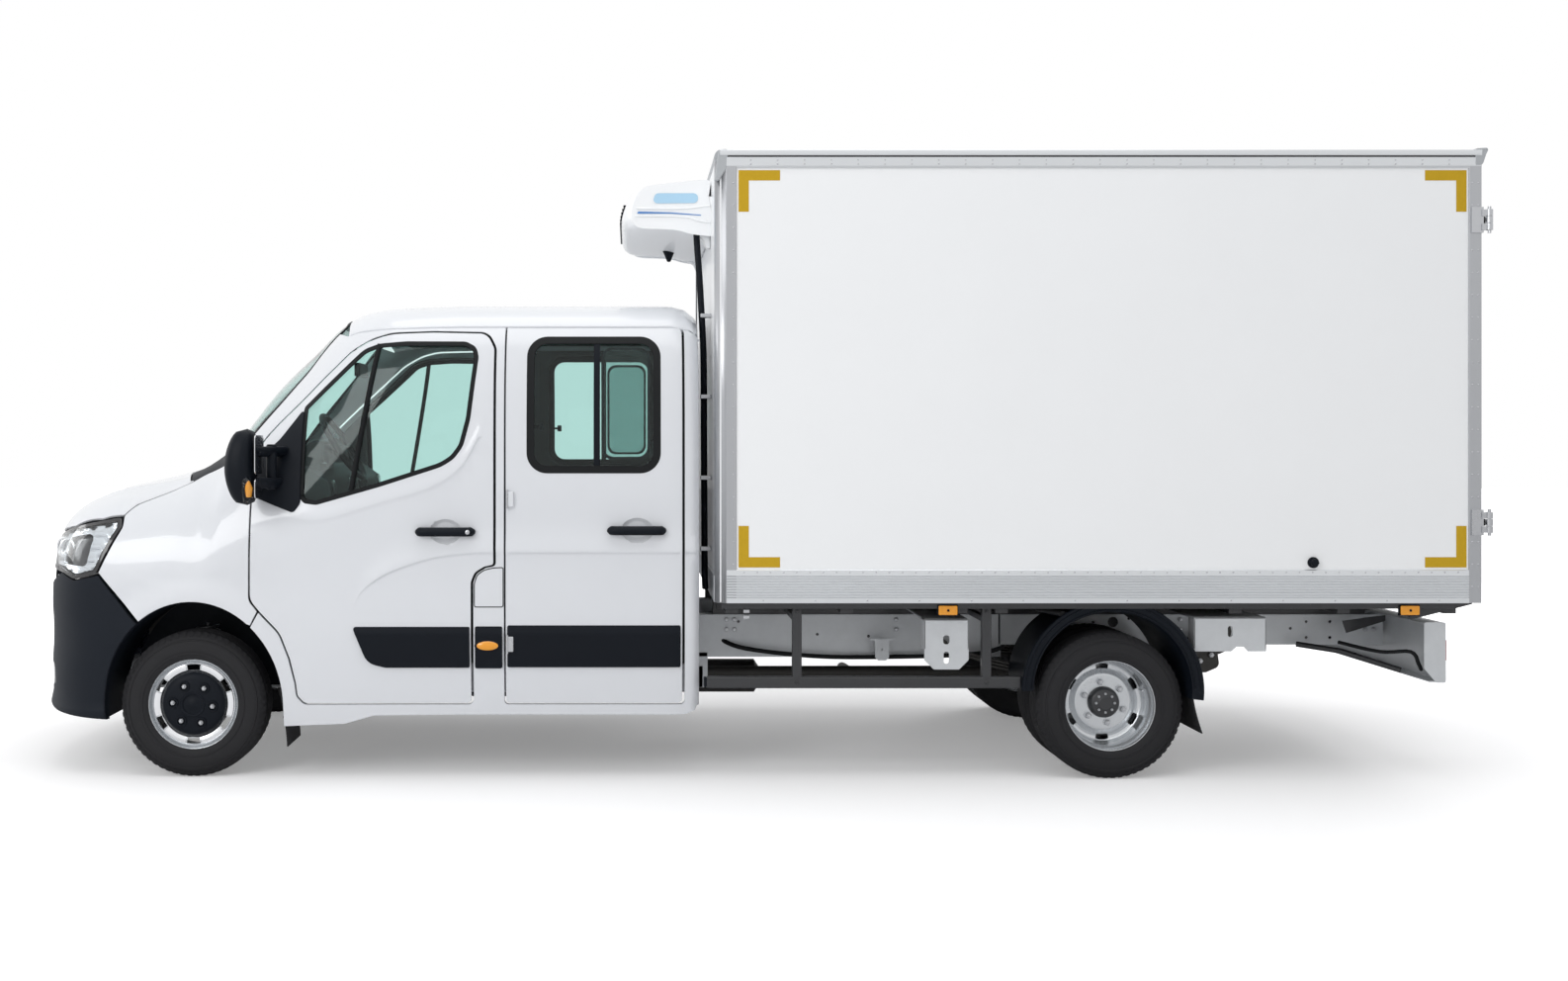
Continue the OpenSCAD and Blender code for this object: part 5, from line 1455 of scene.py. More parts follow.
for side, word in SIDES:
    body, x, y, z = f"front_wheel_{word}", AXLE_X, side * FRONT_TRACK, TYRE_R
    tyre(x, y, side, f"front_tyre_{word}_look", body, (f"front_tyre_{word}",))
    rim = finer([(0.2205, 0.070), (0.2205, 0.0775), (0.216, 0.080), (0.211, 0.078), (0.208, 0.066),
                 (0.203, 0.058), (0.199, 0.060), (0.195, 0.070), (0.188, 0.0765), (0.175, 0.078),
                 (0.162, 0.0745), (0.150, 0.066), (0.138, 0.060), (0.06, 0.058)])
    piece(f"front_rim_{word}_look", *join([disc(rim, (x, y, z), side, 6, 0.175, (0.034, 0.0135)),
          turned([(0.2205, 0.07), (0.205, 0.055), (0.200, 0.0), (0.205, -0.06), (0.2205, -0.078)],
                 (x, y, z), side, 96)]), wheel_silver, body, slot="rim_steel", smooth=30,
          replaces=(f"front_rim_{word}",))
    piece(f"front_trim_ring_{word}", *turned(
        [(0.2335, 0.083), (0.236, 0.088), (0.232, 0.0925), (0.222, 0.0915), (0.214, 0.086),
         (0.212, 0.078)], (x, y, z), side, 120), polished, body, slot="rim_steel", smooth=50)
    piece(f"front_disc_polish_{word}", *disc(
        finer([(0.196, 0.0705), (0.188, 0.0775), (0.175, 0.0790), (0.162, 0.0755), (0.153, 0.068)],
              0.003), (x, y, z), side, 6, 0.175, (0.038, 0.0165)), polished, body, slot="rim_steel",
        smooth=50)
    piece(f"front_brake_{word}", *turned(
        [(0.0, 0.020), (0.150, 0.020), (0.155, 0.016), (0.155, 0.0), (0.09, 0.0), (0.08, -0.03)],
        (x, y, z), side, 72), cast_steel, body, slot="dark_steel", smooth=40)
    cover = [(0.0, 0.096), (0.018, 0.096), (0.022, 0.0935), (0.045, 0.0935), (0.048, 0.098),
             (0.056, 0.099), (0.060, 0.095), (0.118, 0.091), (0.138, 0.086), (0.148, 0.076),
             (0.1525, 0.062)]
    piece(f"front_hub_cover_{word}", *turned(cover, (x, y, z), side, 96), black_plastic, body,
          slot="black_plastic", smooth=40)
    nuts, cups = [], []
    for k in range(6):
        a = math.radians(30 + 60 * k + 25)
        at_nut = (x + 0.094 * math.cos(a), y, z + 0.094 * math.sin(a))
        nuts.append(nut(at_nut, side, 0.0125, 0.088, 0.016))
        cups.append(turned([(0.026, 0.090), (0.024, 0.0985), (0.019, 0.0985), (0.0165, 0.091)],
                           at_nut, side, 28))
    piece(f"front_nuts_{word}", *join(nuts), zinc, body, slot="bright_steel", smooth=30)
    piece(f"front_nut_cups_{word}", *join(cups), black_plastic, body, slot="black_plastic",
          smooth=40)

    body, x = f"rear_wheels_{word}", REAR_X
    for k, (name, y_out) in enumerate((("outer", REAR_OUTER), ("inner", REAR_INNER))):
        tyre(x, side * y_out, side, f"rear_tyre_{name}_{word}", body,
             (f"rear_tyres_{word}",) if k == 0 else ())
    y = side * REAR_OUTER
    rim = finer([(0.2205, 0.072), (0.2205, 0.079), (0.216, 0.082), (0.210, 0.0805), (0.206, 0.070),
                 (0.204, 0.050), (0.196, 0.036), (0.193, 0.010), (0.192, -0.030), (0.188, -0.043),
                 (0.180, -0.050), (0.170, -0.052), (0.158, -0.050), (0.146, -0.040),
                 (0.136, -0.032),
                 (0.126, -0.030), (0.112, -0.030), (0.070, -0.030)])
    piece(f"rear_rim_{word}_look", *join([disc(rim, (x, y, z), side, 6, 0.170, (0.032, 0.0125)),
          turned([(0.2205, 0.072), (0.207, 0.055), (0.206, -0.05), (0.2205, -0.079)], (x, y, z),
                 side, 96)]), wheel_silver, body, slot="rim_steel", smooth=32,
          replaces=(f"rear_rims_{word}",))
    y_in = side * REAR_INNER
    piece(f"rear_inner_rim_{word}", *turned(
        [(0.2205, 0.079), (0.206, 0.060), (0.200, 0.03), (0.190, 0.10), (0.12, 0.104),
         (0.05, 0.104),
         (0.05, 0.0), (0.12, -0.01), (0.190, 0.0), (0.200, -0.03), (0.206, -0.06),
         (0.2205, -0.079)],
        (x, y_in, z), side, 72), wheel_silver, body, slot="rim_steel", smooth=40)
    hub = [(0.0, 0.012), (0.030, 0.012), (0.034, 0.009), (0.058, 0.007), (0.066, 0.002),
           (0.072, -0.010), (0.075, -0.030)]
    piece(f"rear_hub_{word}", *turned(hub, (x, y, z), side, 60), black_steel, body,
          slot="black_plastic", smooth=35)
    nuts = []
    for k in range(6):
        a = math.radians(30 + 60 * k + 10)
        nuts.append(nut((x + 0.098 * math.cos(a), y, z + 0.098 * math.sin(a)), side, 0.0155, -0.030,
                        0.020))
    piece(f"rear_nuts_{word}", *join(nuts), zinc, body, slot="bright_steel", smooth=30)
    bolts = []
    for k in range(8):
        a = math.radians(45 * k)
        bolts.append(nut((x + 0.044 * math.cos(a), y, z + 0.044 * math.sin(a)), side, 0.0065, 0.006,
                         0.006))
    piece(f"rear_hub_bolts_{word}", *join(bolts), zinc, body, slot="bright_steel", smooth=30)
    valve = (x + 0.180 * math.cos(0.35), y + side * -0.02, z + 0.180 * math.sin(0.35))
    piece(f"rear_valve_{word}", *bar([valve, (valve[0], valve[1] + side * 0.05, valve[2])],
                                     0.004, 10), zinc, body, slot="bright_steel", smooth=40)
    piece(f"rear_brake_{word}", *turned(
        [(0.05, 0.03), (0.150, 0.03), (0.158, 0.02), (0.158, -0.075), (0.06, -0.08)],
        (x, side * REAR_INNER, z), side, 60), cast_steel, body, slot="dark_steel", smooth=40)
print("wheels done:", len(made))

# %% [markdown]
# ## The insulated box
# The box's walls are flat sandwich panels with a gelcoat skin. Aluminium profiles cover every
# edge: a ribbed skirt along the bottom, a rail along the top with a black strip in its step as
# painted shadow, rounded corner posts at the front and a stainless frame at the back. Rivets hold
# them at an even pitch.

# %% Walls, edge profiles, rivets and corner marks


def sweep_x(profile, x0, x1, side=LEFT):
    """A profile of (outward from the side wall, z) swept along the truck."""
    verts = [(x, side * (BOX_HALF + out), z) for x in (x0, x1) for out, z in profile]
    n = len(profile)
    faces = [(i, (i + 1) % n, n + (i + 1) % n, n + i) for i in range(n)]
    return verts, faces + [tuple(range(n)), tuple(reversed(range(n, 2 * n)))]


def rivets(places, out, r=0.0042, tall=0.0022):
    """Domed rivet heads: out is the way they point."""
    out = Vector(out).normalized()
    a = out.orthogonal().normalized()
    b = out.cross(a)
    verts, faces = [], []
    for p in places:
        base = len(verts)
        for r_k, h in ((1.0, 0.0), (0.86, 0.6), (0.45, 0.93)):
            for k in range(8):
                t = math.pi * k / 4
                spoke = a * math.cos(t) + b * math.sin(t)
                verts.append(Vector(p) + spoke * (r * r_k) + out * (tall * h))
        verts.append(Vector(p) + out * tall)
        for ring in range(2):
            for k in range(8):
                i, j = base + ring * 8 + k, base + ring * 8 + (k + 1) % 8
                faces.append((i, j, j + 8, i + 8))
        faces += [(base + 16 + k, base + 16 + (k + 1) % 8, base + 24) for k in range(8)]
    return verts, faces


def steps_between(a, b, pitch, start=0.5):
    n = max(1, round((b - a) / pitch))
    return [a + (b - a) * (k + start) / n for k in range(n)]


post_x = BOX_FRONT + 0.051
rear_post_x = BOX_BACK - 0.060
skirt_top, rail_low = BOX_LOW + 0.152, BOX_HIGH - 0.083
for side, word in SIDES:
    y = side * BOX_HALF
    lo, hi = min(y, y - side * 0.06), max(y, y - side * 0.06)
    piece(f"box_side_{word}", *block((BOX_FRONT + 0.02, lo, BOX_LOW),
                                     (BOX_BACK - 0.05, hi, BOX_HIGH - 0.08)),
          gelcoat, slot="panel", replaces=(f"box_{word}_wall",))
    ribs = [(-0.004, BOX_LOW - 0.004), (0.010, BOX_LOW - 0.004), (0.010, BOX_LOW + 0.012)]
    for k in range(9):
        z = BOX_LOW + 0.018 + 0.0125 * k
        ribs += [(0.0095, z), (0.0062, z + 0.002), (0.0062, z + 0.0045), (0.0095, z + 0.0065)]
    ribs += [(0.0085, skirt_top - 0.018), (0.0075, skirt_top - 0.003), (0.004, skirt_top),
             (-0.004, skirt_top)]
    piece(f"box_skirt_{word}", *sweep_x(ribs, post_x, rear_post_x, side), brushed_rail,
          slot="alloy",
          smooth=30)
    top = [(-0.004, rail_low), (0.005, rail_low), (0.0055, rail_low + 0.006),
           (0.008, rail_low + 0.010),
           (0.0085, BOX_HIGH - 0.034), (0.006, BOX_HIGH - 0.031), (0.006, BOX_HIGH - 0.026),
           (0.010, BOX_HIGH - 0.024), (0.012, BOX_HIGH - 0.004), (0.010, BOX_HIGH + 0.001),
           (-0.02, BOX_HIGH + 0.003), (-0.045, BOX_HIGH + 0.002), (-0.045, BOX_HIGH - 0.001),
           (-0.004, BOX_HIGH - 0.001)]
    piece(f"box_top_rail_{word}", *sweep_x(top, BOX_FRONT + 0.02, BOX_BACK, side), brushed_rail,
          slot="alloy", smooth=30)
    # A black strip in the step under the rail's top lip is painted shadow.
    piece(f"box_top_painted_shadow_{word}", *sweep_x(
        [(0.0, BOX_HIGH - 0.0335), (0.0072, BOX_HIGH - 0.0335), (0.0072, BOX_HIGH - 0.0245),
         (0.0, BOX_HIGH - 0.0245)],
        BOX_FRONT + 0.03, BOX_BACK - 0.01, side), black_steel, slot="alloy")
    for name, x0, x1 in (("front", BOX_FRONT + 0.048, post_x + 0.046),
                         ("rear", rear_post_x, BOX_BACK)):
        ys = sorted((y - side * 0.002, y + side * 0.007))
        piece(f"box_{name}_trim_{word}", *block((x0, ys[0], BOX_LOW - 0.004),
                                                (x1, ys[1], BOX_HIGH - 0.006)),
              brushed_upright, slot="alloy", bevel=0.0025, smooth=40)
    corner = [(0.055 - 0.055 * math.cos(a), 0.055 - 0.055 * math.sin(a))
              for a in (math.radians(7.5 * k) for k in range(13))]
    verts, faces = [], []
    for z in (BOX_LOW - 0.004, BOX_HIGH - 0.02):
        for along, inward in corner:
            verts.append((BOX_FRONT - 0.004 + along, side * (BOX_HALF + 0.006 - inward), z))
    n = len(corner)
    faces = [(i, i + 1, n + i + 1, n + i) for i in range(n - 1)]
    post = piece(f"box_corner_post_{word}", verts, faces, brushed_upright, slot="alloy", smooth=60)
    post.modifiers.new("thickness", "SOLIDIFY").thickness = 0.003
    piece(f"box_corner_cap_{word}", *plate(
        fillet([(BOX_FRONT - 0.010, BOX_HIGH - 0.185), (BOX_FRONT + 0.052, BOX_HIGH - 0.085),
                (BOX_FRONT + 0.060, BOX_HIGH + 0.006), (BOX_FRONT + 0.012, BOX_HIGH + 0.004)],
               [0.02, 0.03, 0.012, 0.05]),
        lambda u, v, d: (u, side * (BOX_HALF + 0.009 - d), v), 0.07), grey_shell, slot="alloy",
        bevel=0.006, smooth=40)
    side_rivets = [(x, y + side * 0.0085, z) for z in (BOX_HIGH - 0.046, rail_low + 0.018)
                   for x in steps_between(post_x + 0.05, rear_post_x - 0.03, 0.125)]
    side_rivets += [(x, y + side * 0.0085, skirt_top - 0.012) for x in
                    steps_between(post_x + 0.05, rear_post_x - 0.02, 0.062)]
    side_rivets += [(x, y + side * 0.0100, BOX_LOW + 0.008) for x in
                    steps_between(post_x + 0.05, rear_post_x - 0.02, 0.24)]
    side_rivets += [(x, y + side * 0.0070, z) for x in (post_x + 0.032, rear_post_x + 0.016,
                                                        rear_post_x + 0.044)
                    for z in steps_between(BOX_LOW + 0.02, BOX_HIGH - 0.10, 0.105)]
    piece(f"box_rivets_{word}", *rivets(side_rivets, (0, side, 0)), zinc, slot="bright_steel",
          smooth=50)
    marks = []
    x0, x1 = post_x + 0.046 + 0.010, rear_post_x - 0.008
    z0, z1 = skirt_top + 0.010, rail_low - 0.010
    for mx, sx in ((x0, 1), (x1, -1)):
        for mz, sz in ((z0, 1), (z1, -1)):
            ell = [(0, 0), (0.194, 0), (0.194, 0.048), (0.048, 0.048), (0.048, 0.194), (0, 0.194)]
            marks.append(plate([(mx + sx * u, mz + sz * v) for u, v in ell],
                               lambda u, v, d: (u, y + side * (0.0012 - d), v), 0.001))
    piece(f"corner_marks_{word}", *join(marks), yellow_tape, slot="panel")
gx = at(5.260)
piece("side_gland", *join([
    turned([(0.0, 0.030), (0.014, 0.030), (0.017, 0.026), (0.018, 0.012), (0.024, 0.010),
            (0.026, 0.006),
            (0.026, 0.0)], (gx, -BOX_HALF, 1.025), LEFT, 40),
    turned([(0.0155, 0.0275), (0.0185, 0.0275), (0.0185, 0.014), (0.0155, 0.014)],
           (gx, -BOX_HALF, 1.025), LEFT, 6)]), black_plastic, slot="black_plastic", smooth=30)
print("box sides:", len([n for n in made if n.startswith("box")]))

# %% Box front, roof, inside and rear frame
front_half = BOX_HALF - 0.048
piece("box_front_panel", *block((BOX_FRONT, -front_half, BOX_LOW),
                                (BOX_FRONT + 0.06, front_half, BOX_HIGH - 0.05)),
      gelcoat, slot="panel", replaces=("box_front_wall",))
piece("box_roof_panel", *block((BOX_FRONT + 0.02, -BOX_HALF + 0.01, BOX_HIGH - 0.08),
                               (BOX_BACK - 0.05, BOX_HALF - 0.01, BOX_HIGH)), gelcoat, slot="panel",
      replaces=("box_roof",))
piece("box_front_cap", *bar([(BOX_FRONT + 0.03, y, BOX_HIGH - 0.030) for y in
                             (-BOX_HALF + 0.01, 0, BOX_HALF - 0.01)], 0.036, 24), grey_shell,
      slot="alloy", smooth=60)
piece("box_front_skirt", *block((BOX_FRONT - 0.006, -front_half, BOX_LOW - 0.004),
                                (BOX_FRONT + 0.002, front_half, BOX_LOW + 0.12)), brushed_rail,
      slot="alloy", bevel=0.002)
floor_low, floor_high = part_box("box_floor")
piece("box_floor_deck", *block(tuple(floor_low), tuple(floor_high)), deck_ply, slot="floor_panel",
      replaces=("box_floor",))
kick = []
for side in (LEFT, RIGHT):
    ys = sorted((side * (BOX_HALF - 0.06), side * (BOX_HALF - 0.064)))
    kick.append(block((BOX_FRONT + 0.06, ys[0], floor_high[2]),
                      (BOX_BACK - 0.06, ys[1], floor_high[2] + 0.25)))
piece("box_kick_plates", *join(kick), brushed_rail, slot="alloy", bevel=0.001)
rails = [block((BOX_FRONT + 0.3, y - 0.02, BOX_HIGH - 0.086),
               (BOX_BACK - 0.3, y + 0.02, BOX_HIGH - 0.08))
         for y in (-0.5, 0.5)]
piece("box_ceiling_strips", *join(rails), trim_pale, slot="panel", bevel=0.002)
piece("evaporator", *join([
    block((BOX_FRONT + 0.062, -0.52, 2.55), (BOX_FRONT + 0.42, 0.52, 2.82))]), gelcoat,
    slot="panel",
    bevel=0.03, segments=4, smooth=40)
for k in range(3):
    yy = -0.33 + 0.33 * k
    guard = [bar([(BOX_FRONT + 0.426, yy + r * math.cos(a), 2.685 + r * math.sin(a))
                  for a in (math.radians(15 * i) for i in range(24))], 0.0025, 6, closed=True)
             for r in (0.03, 0.06, 0.09, 0.115)]
    piece(f"evaporator_guard_{k}", *join(guard), black_steel, slot="black_steel", smooth=60)
    # A thin gloss black disc behind each guard is painted shade for the dark of the fan's opening.
    piece(f"evaporator_hole_shade_{k}", *bar([(BOX_FRONT + 0.419, yy, 2.685),
                                        (BOX_FRONT + 0.4215, yy, 2.685)], 0.118, 40),
          gloss_black, slot="black_plastic")

OPEN_HALF, OPEN_LOW, OPEN_HIGH = 1.015, BOX_LOW + 0.075, BOX_HIGH - 0.100
frame_parts = []
for s in (-1, 1):
    ys = sorted((s * OPEN_HALF, s * (BOX_HALF + 0.002)))
    frame_parts.append(block((BOX_BACK - 0.052, ys[0], BOX_LOW - 0.004),
                             (BOX_BACK + 0.001, ys[1], BOX_HIGH)))
frame_parts.append(block((BOX_BACK - 0.052, -OPEN_HALF, OPEN_HIGH),
                         (BOX_BACK + 0.001, OPEN_HALF, BOX_HIGH)))
frame_parts.append(block((BOX_BACK - 0.052, -OPEN_HALF, BOX_LOW - 0.004),
                         (BOX_BACK + 0.001, OPEN_HALF, OPEN_LOW)))
piece("rear_frame", *join(frame_parts), brushed_upright, slot="alloy", bevel=0.003, smooth=40)
piece("rear_gutter", *block((BOX_BACK - 0.01, -BOX_HALF + 0.03, BOX_HIGH - 0.010),
                            (BOX_BACK + 0.032, BOX_HALF - 0.03, BOX_HIGH + 0.003)),
      brushed_rail, slot="alloy", bevel=0.003, smooth=40)
for side, word in SIDES:
    hook = fillet([(BOX_BACK - 0.03, BOX_HIGH - 0.07), (BOX_BACK + 0.004, BOX_HIGH - 0.07),
                   (BOX_BACK + 0.020, BOX_HIGH - 0.02), (BOX_BACK + 0.036, BOX_HIGH + 0.012),
                   (BOX_BACK - 0.03, BOX_HIGH + 0.008)], [0.004, 0.02, 0.04, 0.01, 0.01])
    piece(f"rear_top_cap_{word}", *plate(hook, lambda u, v,
                                         d: (u, side * (BOX_HALF + 0.010 - d), v), 0.05),
          grey_shell, slot="alloy", bevel=0.003, smooth=40)
    for k, z in enumerate((2.900, 2.890)):
        piece(f"roof_marker_{k}_{word}", *block(
            (BOX_BACK + 0.001, side * (0.80 - 0.35 * k) - 0.04, z),
            (BOX_BACK + 0.014, side * (0.80 - 0.35 * k) + 0.04, z + 0.03)),
            red_lens, slot="red_lamp", bevel=0.004, smooth=40)
print("box pieces:", len([n for n in made if n.startswith(("box", "rear"))]))

# %% [markdown]
# ## Cargo doors
# Two leaves swing on stainless hinges that stand outside the wall's line, so a leaf can turn
# right round and lie along the box's side. Each leaf has a seal, an aluminium edge and a full
# height lock rod with cam ends, guide brackets and a handle that folds flat.

# %% Cargo doors, hinges and lock rods
HINGE_Z = (1.213, 2.624)
PIN_X, PIN_Y = BOX_BACK + 0.032, BOX_HALF + 0.014
LEAF_FACE = BOX_BACK + 0.012
for side, word in SIDES:
    body = f"cargo_door_{word}"

    def leaf(x0, x1, y0, y1, z0, z1):
        ys = sorted((side * y0, side * y1))
        return block((x0, ys[0], z0), (x1, ys[1], z1))

    y0, y1 = 0.007, OPEN_HALF - 0.006
    z0, z1 = OPEN_LOW + 0.006, OPEN_HIGH - 0.006
    piece(f"leaf_{word}", *leaf(LEAF_FACE - 0.060, LEAF_FACE - 0.002, y0 + 0.004, y1 - 0.004,
                                z0 + 0.004, z1 - 0.004),
          gelcoat, body, slot="panel", replaces=(body,))
    piece(f"leaf_edge_{word}", *join([
        leaf(LEAF_FACE - 0.058, LEAF_FACE, y0, y0 + 0.034, z0, z1),
        leaf(LEAF_FACE - 0.058, LEAF_FACE, y1 - 0.034, y1, z0, z1),
        leaf(LEAF_FACE - 0.058, LEAF_FACE, y0 + 0.034, y1 - 0.034, z0, z0 + 0.034),
        leaf(LEAF_FACE - 0.058, LEAF_FACE, y0 + 0.034, y1 - 0.034, z1 - 0.034, z1)]),
        brushed_upright,
        body, slot="alloy", bevel=0.002)
    seal_loop = [(LEAF_FACE - 0.052, side * y, z) for y, z in fillet(
        [(y0 + 0.003, z0 + 0.003), (y1 + 0.001, z0 + 0.003), (y1 + 0.001, z1 - 0.003),
         (y0 + 0.003, z1 - 0.003)], 0.02)]
    piece(f"leaf_seal_{word}", *bar(seal_loop, 0.0045, 8, closed=True), seal_rubber, body,
          slot="black_plastic", smooth=60)
    for k, z in enumerate(HINGE_Z):
        strap = fillet([(0.0, -0.016), (0.20, -0.016), (0.23, -0.009), (0.23, 0.009), (0.20, 0.016),
                        (0.0, 0.016)],
                       0.006)
        piece(f"hinge_strap_{k}_{word}", *plate(
            strap, lambda u, v, d: (LEAF_FACE + 0.008 - d, side * (PIN_Y - u), z + v), 0.008), zinc,
            body, slot="bright_steel", bevel=0.001)
        piece(f"hinge_knuckle_{k}_{word}", *join([
            bar([(PIN_X, side * PIN_Y, z - 0.016), (PIN_X, side * PIN_Y, z + 0.016)], 0.0152, 24),
            leaf(LEAF_FACE, PIN_X, PIN_Y - 0.012, PIN_Y, z - 0.015, z + 0.015)]), zinc, body,
            slot="bright_steel", smooth=40)
        for n, u in enumerate((0.06, 0.12, 0.19)):
            piece(f"strap_bolt_{k}_{n}_{word}", *rivets(
                [(LEAF_FACE + 0.008, side * (PIN_Y - u), z)], (1, 0, 0), 0.009, 0.006), zinc, body,
                slot="bright_steel", smooth=40)
        lugs = []
        for low in (z - 0.048, z + 0.018):
            lugs.append(bar([(PIN_X, side * PIN_Y, low), (PIN_X, side * PIN_Y, low + 0.030)],
                            0.0152, 24))
            ys = sorted((side * (PIN_Y + 0.004), side * (PIN_Y - 0.018)))
            lugs.append(block((BOX_BACK - 0.004, ys[0], low), (PIN_X, ys[1], low + 0.030)))
        lugs.append(bar([(PIN_X, side * PIN_Y, z - 0.062), (PIN_X, side * PIN_Y, z + 0.062)],
                        0.0078, 18))
        ys = sorted((side * (BOX_HALF + 0.013), side * (BOX_HALF + 0.001)))
        lugs.append(block((BOX_BACK - 0.050, ys[0], z - 0.060),
                          (BOX_BACK + 0.006, ys[1], z + 0.060)))
        piece(f"hinge_lugs_{k}_{word}", *join(lugs), zinc, slot="bright_steel", smooth=40,
              replaces=("box_rear_frame",))
    rod_x, rod_y = LEAF_FACE + 0.018, 0.130
    piece(f"lock_rod_{word}", *bar([(rod_x, side * rod_y, z0 + 0.008),
                                    (rod_x, side * rod_y, z1 - 0.008)],
                                   0.0115, 20), zinc, body, slot="bright_steel", smooth=40,
          replaces=(f"lock_rods_{word}",))
    for k, z in enumerate((z0 + 0.03, 1.30, 2.10, z1 - 0.06)):
        piece(f"rod_guide_{k}_{word}", *join([
            leaf(LEAF_FACE, LEAF_FACE + 0.005, rod_y - 0.045, rod_y + 0.045, z, z + 0.055),
            bar([(rod_x, side * rod_y, z + 0.012), (rod_x, side * rod_y, z + 0.043)], 0.0185, 20)]),
            black_plastic if k in (1, 2) else zinc, body, slot="black_plastic", smooth=40)
    for k, z in enumerate((z0 - 0.002, z1 - 0.020)):
        piece(f"rod_cam_{k}_{word}", *join([
            leaf(rod_x - 0.016, rod_x + 0.012, rod_y - 0.022, rod_y + 0.012, z, z + 0.022)]), zinc,
            body, slot="bright_steel", bevel=0.004, smooth=40)
    handle = [(rod_x + 0.012, side * rod_y, 1.45), (rod_x + 0.020, side * (rod_y + 0.06), 1.45),
              (rod_x + 0.014, side * (rod_y + 0.20), 1.452),
              (rod_x + 0.016, side * (rod_y + 0.31), 1.455)]
    piece(f"rod_handle_{word}", *bar(smooth_curve(handle, 5), 0.012, 12, flat=0.6), zinc, body,
          slot="bright_steel", smooth=50)
    piece(f"handle_keeper_{word}", *join([
        leaf(LEAF_FACE, LEAF_FACE + 0.006, rod_y + 0.22, rod_y + 0.30, 1.40, 1.51),
        leaf(LEAF_FACE + 0.004, LEAF_FACE + 0.030, rod_y + 0.235, rod_y + 0.285, 1.415, 1.436)]),
        zinc, body, slot="bright_steel", bevel=0.003, smooth=40)
print("door pieces:", len([n for n in made if "leaf" in n or "rod" in n or "hinge" in n]))

# %% [markdown]
# ## Refrigeration unit
# The condenser hangs on the box's front above the cab: a moulded white shell with a rounded
# nose, a step line along its side and a grille in front. A black hose runs down the box's front
# behind the cab.

# %% Refrigeration unit, its vents, drain and hose
UNIT_TOP = [(0.0, 2.878), (-0.10, 2.872), (-0.20, 2.862), (-0.32, 2.850), (-0.375, 2.836),
            (-0.410, 2.805), (-0.432, 2.755), (-0.444, 2.705)]
UNIT_LOW = [(-0.438, 2.672), (-0.415, 2.650), (-0.36, 2.642), (-0.28, 2.640), (-0.19, 2.634),
            (-0.10, 2.612), (0.0, 2.602)]


def unit_shell(name, profile, used, half):
    """Sweeps a side profile across the truck, drawing the nose in near the ends."""
    cols = 36
    verts, faces = [], []
    for i in range(cols + 1):
        t = -1 + 2 * i / cols
        y = half * t
        end = 1 - abs(t) ** 7
        for x, z in profile:
            verts.append((BOX_FRONT + x * (0.86 + 0.14 * end ** 0.6), y,
                          2.75 + (z - 2.75) * (0.93 + 0.07 * end ** 0.5)))
    n = len(profile)
    for i in range(cols):
        for j in range(n - 1):
            faces.append((i * n + j, i * n + j + 1, (i + 1) * n + j + 1, (i + 1) * n + j))
    faces += [tuple(range(n)), tuple(reversed(range(cols * n, cols * n + n)))]
    return piece(name, verts, faces, used, slot="panel", smooth=35)


whole = smooth_curve(UNIT_TOP + UNIT_LOW, 3)
unit = unit_shell("unit_shell", whole + [(0.0, 2.66), (0.0, 2.8)], gelcoat, 0.655)
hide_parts("refrigeration_unit")
unit.modifiers.new("soft_edges", "BEVEL").width = 0.012
unit.modifiers["soft_edges"].segments = 3
unit.modifiers["soft_edges"].limit_method = "ANGLE"
unit.modifiers["soft_edges"].angle_limit = math.radians(50)
for side, word in SIDES:
    y = side * 0.6565
    for k, line in enumerate((
            ((-0.375, 2.700), (-0.25, 2.700), (-0.12, 2.694), (-0.06, 2.676), (-0.005, 2.668)),
            ((-0.370, 2.738), (-0.20, 2.736), (-0.10, 2.740), (-0.005, 2.752)))):
        step = smooth_curve([(BOX_FRONT + x, y + side * 0.001, z) for x, z in line], 4)
        piece(f"unit_step_{k}_{word}", *bar(step, 0.005, 8), gelcoat, slot="panel", smooth=60)
    piece(f"unit_stripe_{word}", *plate([(BOX_FRONT + x, z) for x, z in (
        (-0.365, 2.712), (-0.20, 2.712), (-0.05, 2.702), (-0.05, 2.706), (-0.20, 2.718),
        (-0.360, 2.722))],
        lambda u, v, d: (u, y + side * (0.0016 - d), v), 0.001), blue_stripe, slot="panel")
    label = fillet([(-0.290, 2.762), (-0.065, 2.764), (-0.065, 2.812), (-0.275, 2.812)], 0.022)
    piece(f"unit_label_{word}", *plate([(BOX_FRONT + x, z) for x, z in label],
                                      lambda u, v, d: (u, y + side * (0.0016 - d), v), 0.001),
                                      pale_blue,
          slot="panel")
    neck = [(BOX_FRONT + x, z) for x, z in ((-0.10, 2.625), (0.0, 2.650), (0.0, 2.545),
                                            (-0.02, 2.545), (-0.040, 2.590))]
    piece(f"unit_neck_{word}", *plate(neck, lambda u, v, d: (u, side * (0.60 - d), v), 0.05),
          gelcoat,
          slot="panel", bevel=0.008, smooth=40)
slats = []
for k in range(6):
    z = 2.690 + 0.018 * k
    x = BOX_FRONT - 0.4475 + 2.2 * max(0.0, z - 2.69) ** 2
    slats.append(block((x - 0.004, -0.42, z), (x + 0.010, 0.42, z + 0.008)))
piece("unit_grille", *join(slats), black_plastic, slot="black_plastic", bevel=0.002)
cone = turned([(0.0, -0.060), (0.010, -0.056), (0.028, -0.012), (0.034, 0.0), (0.0, 0.0)],
              (0, 0, 0), RIGHT, 24)
piece("unit_drain", [(BOX_FRONT - 0.185 + v[0], 0.30 + v[2], 2.636 + v[1]) for v in cone[0]],
      cone[1],
      black_plastic, slot="black_plastic", smooth=40)
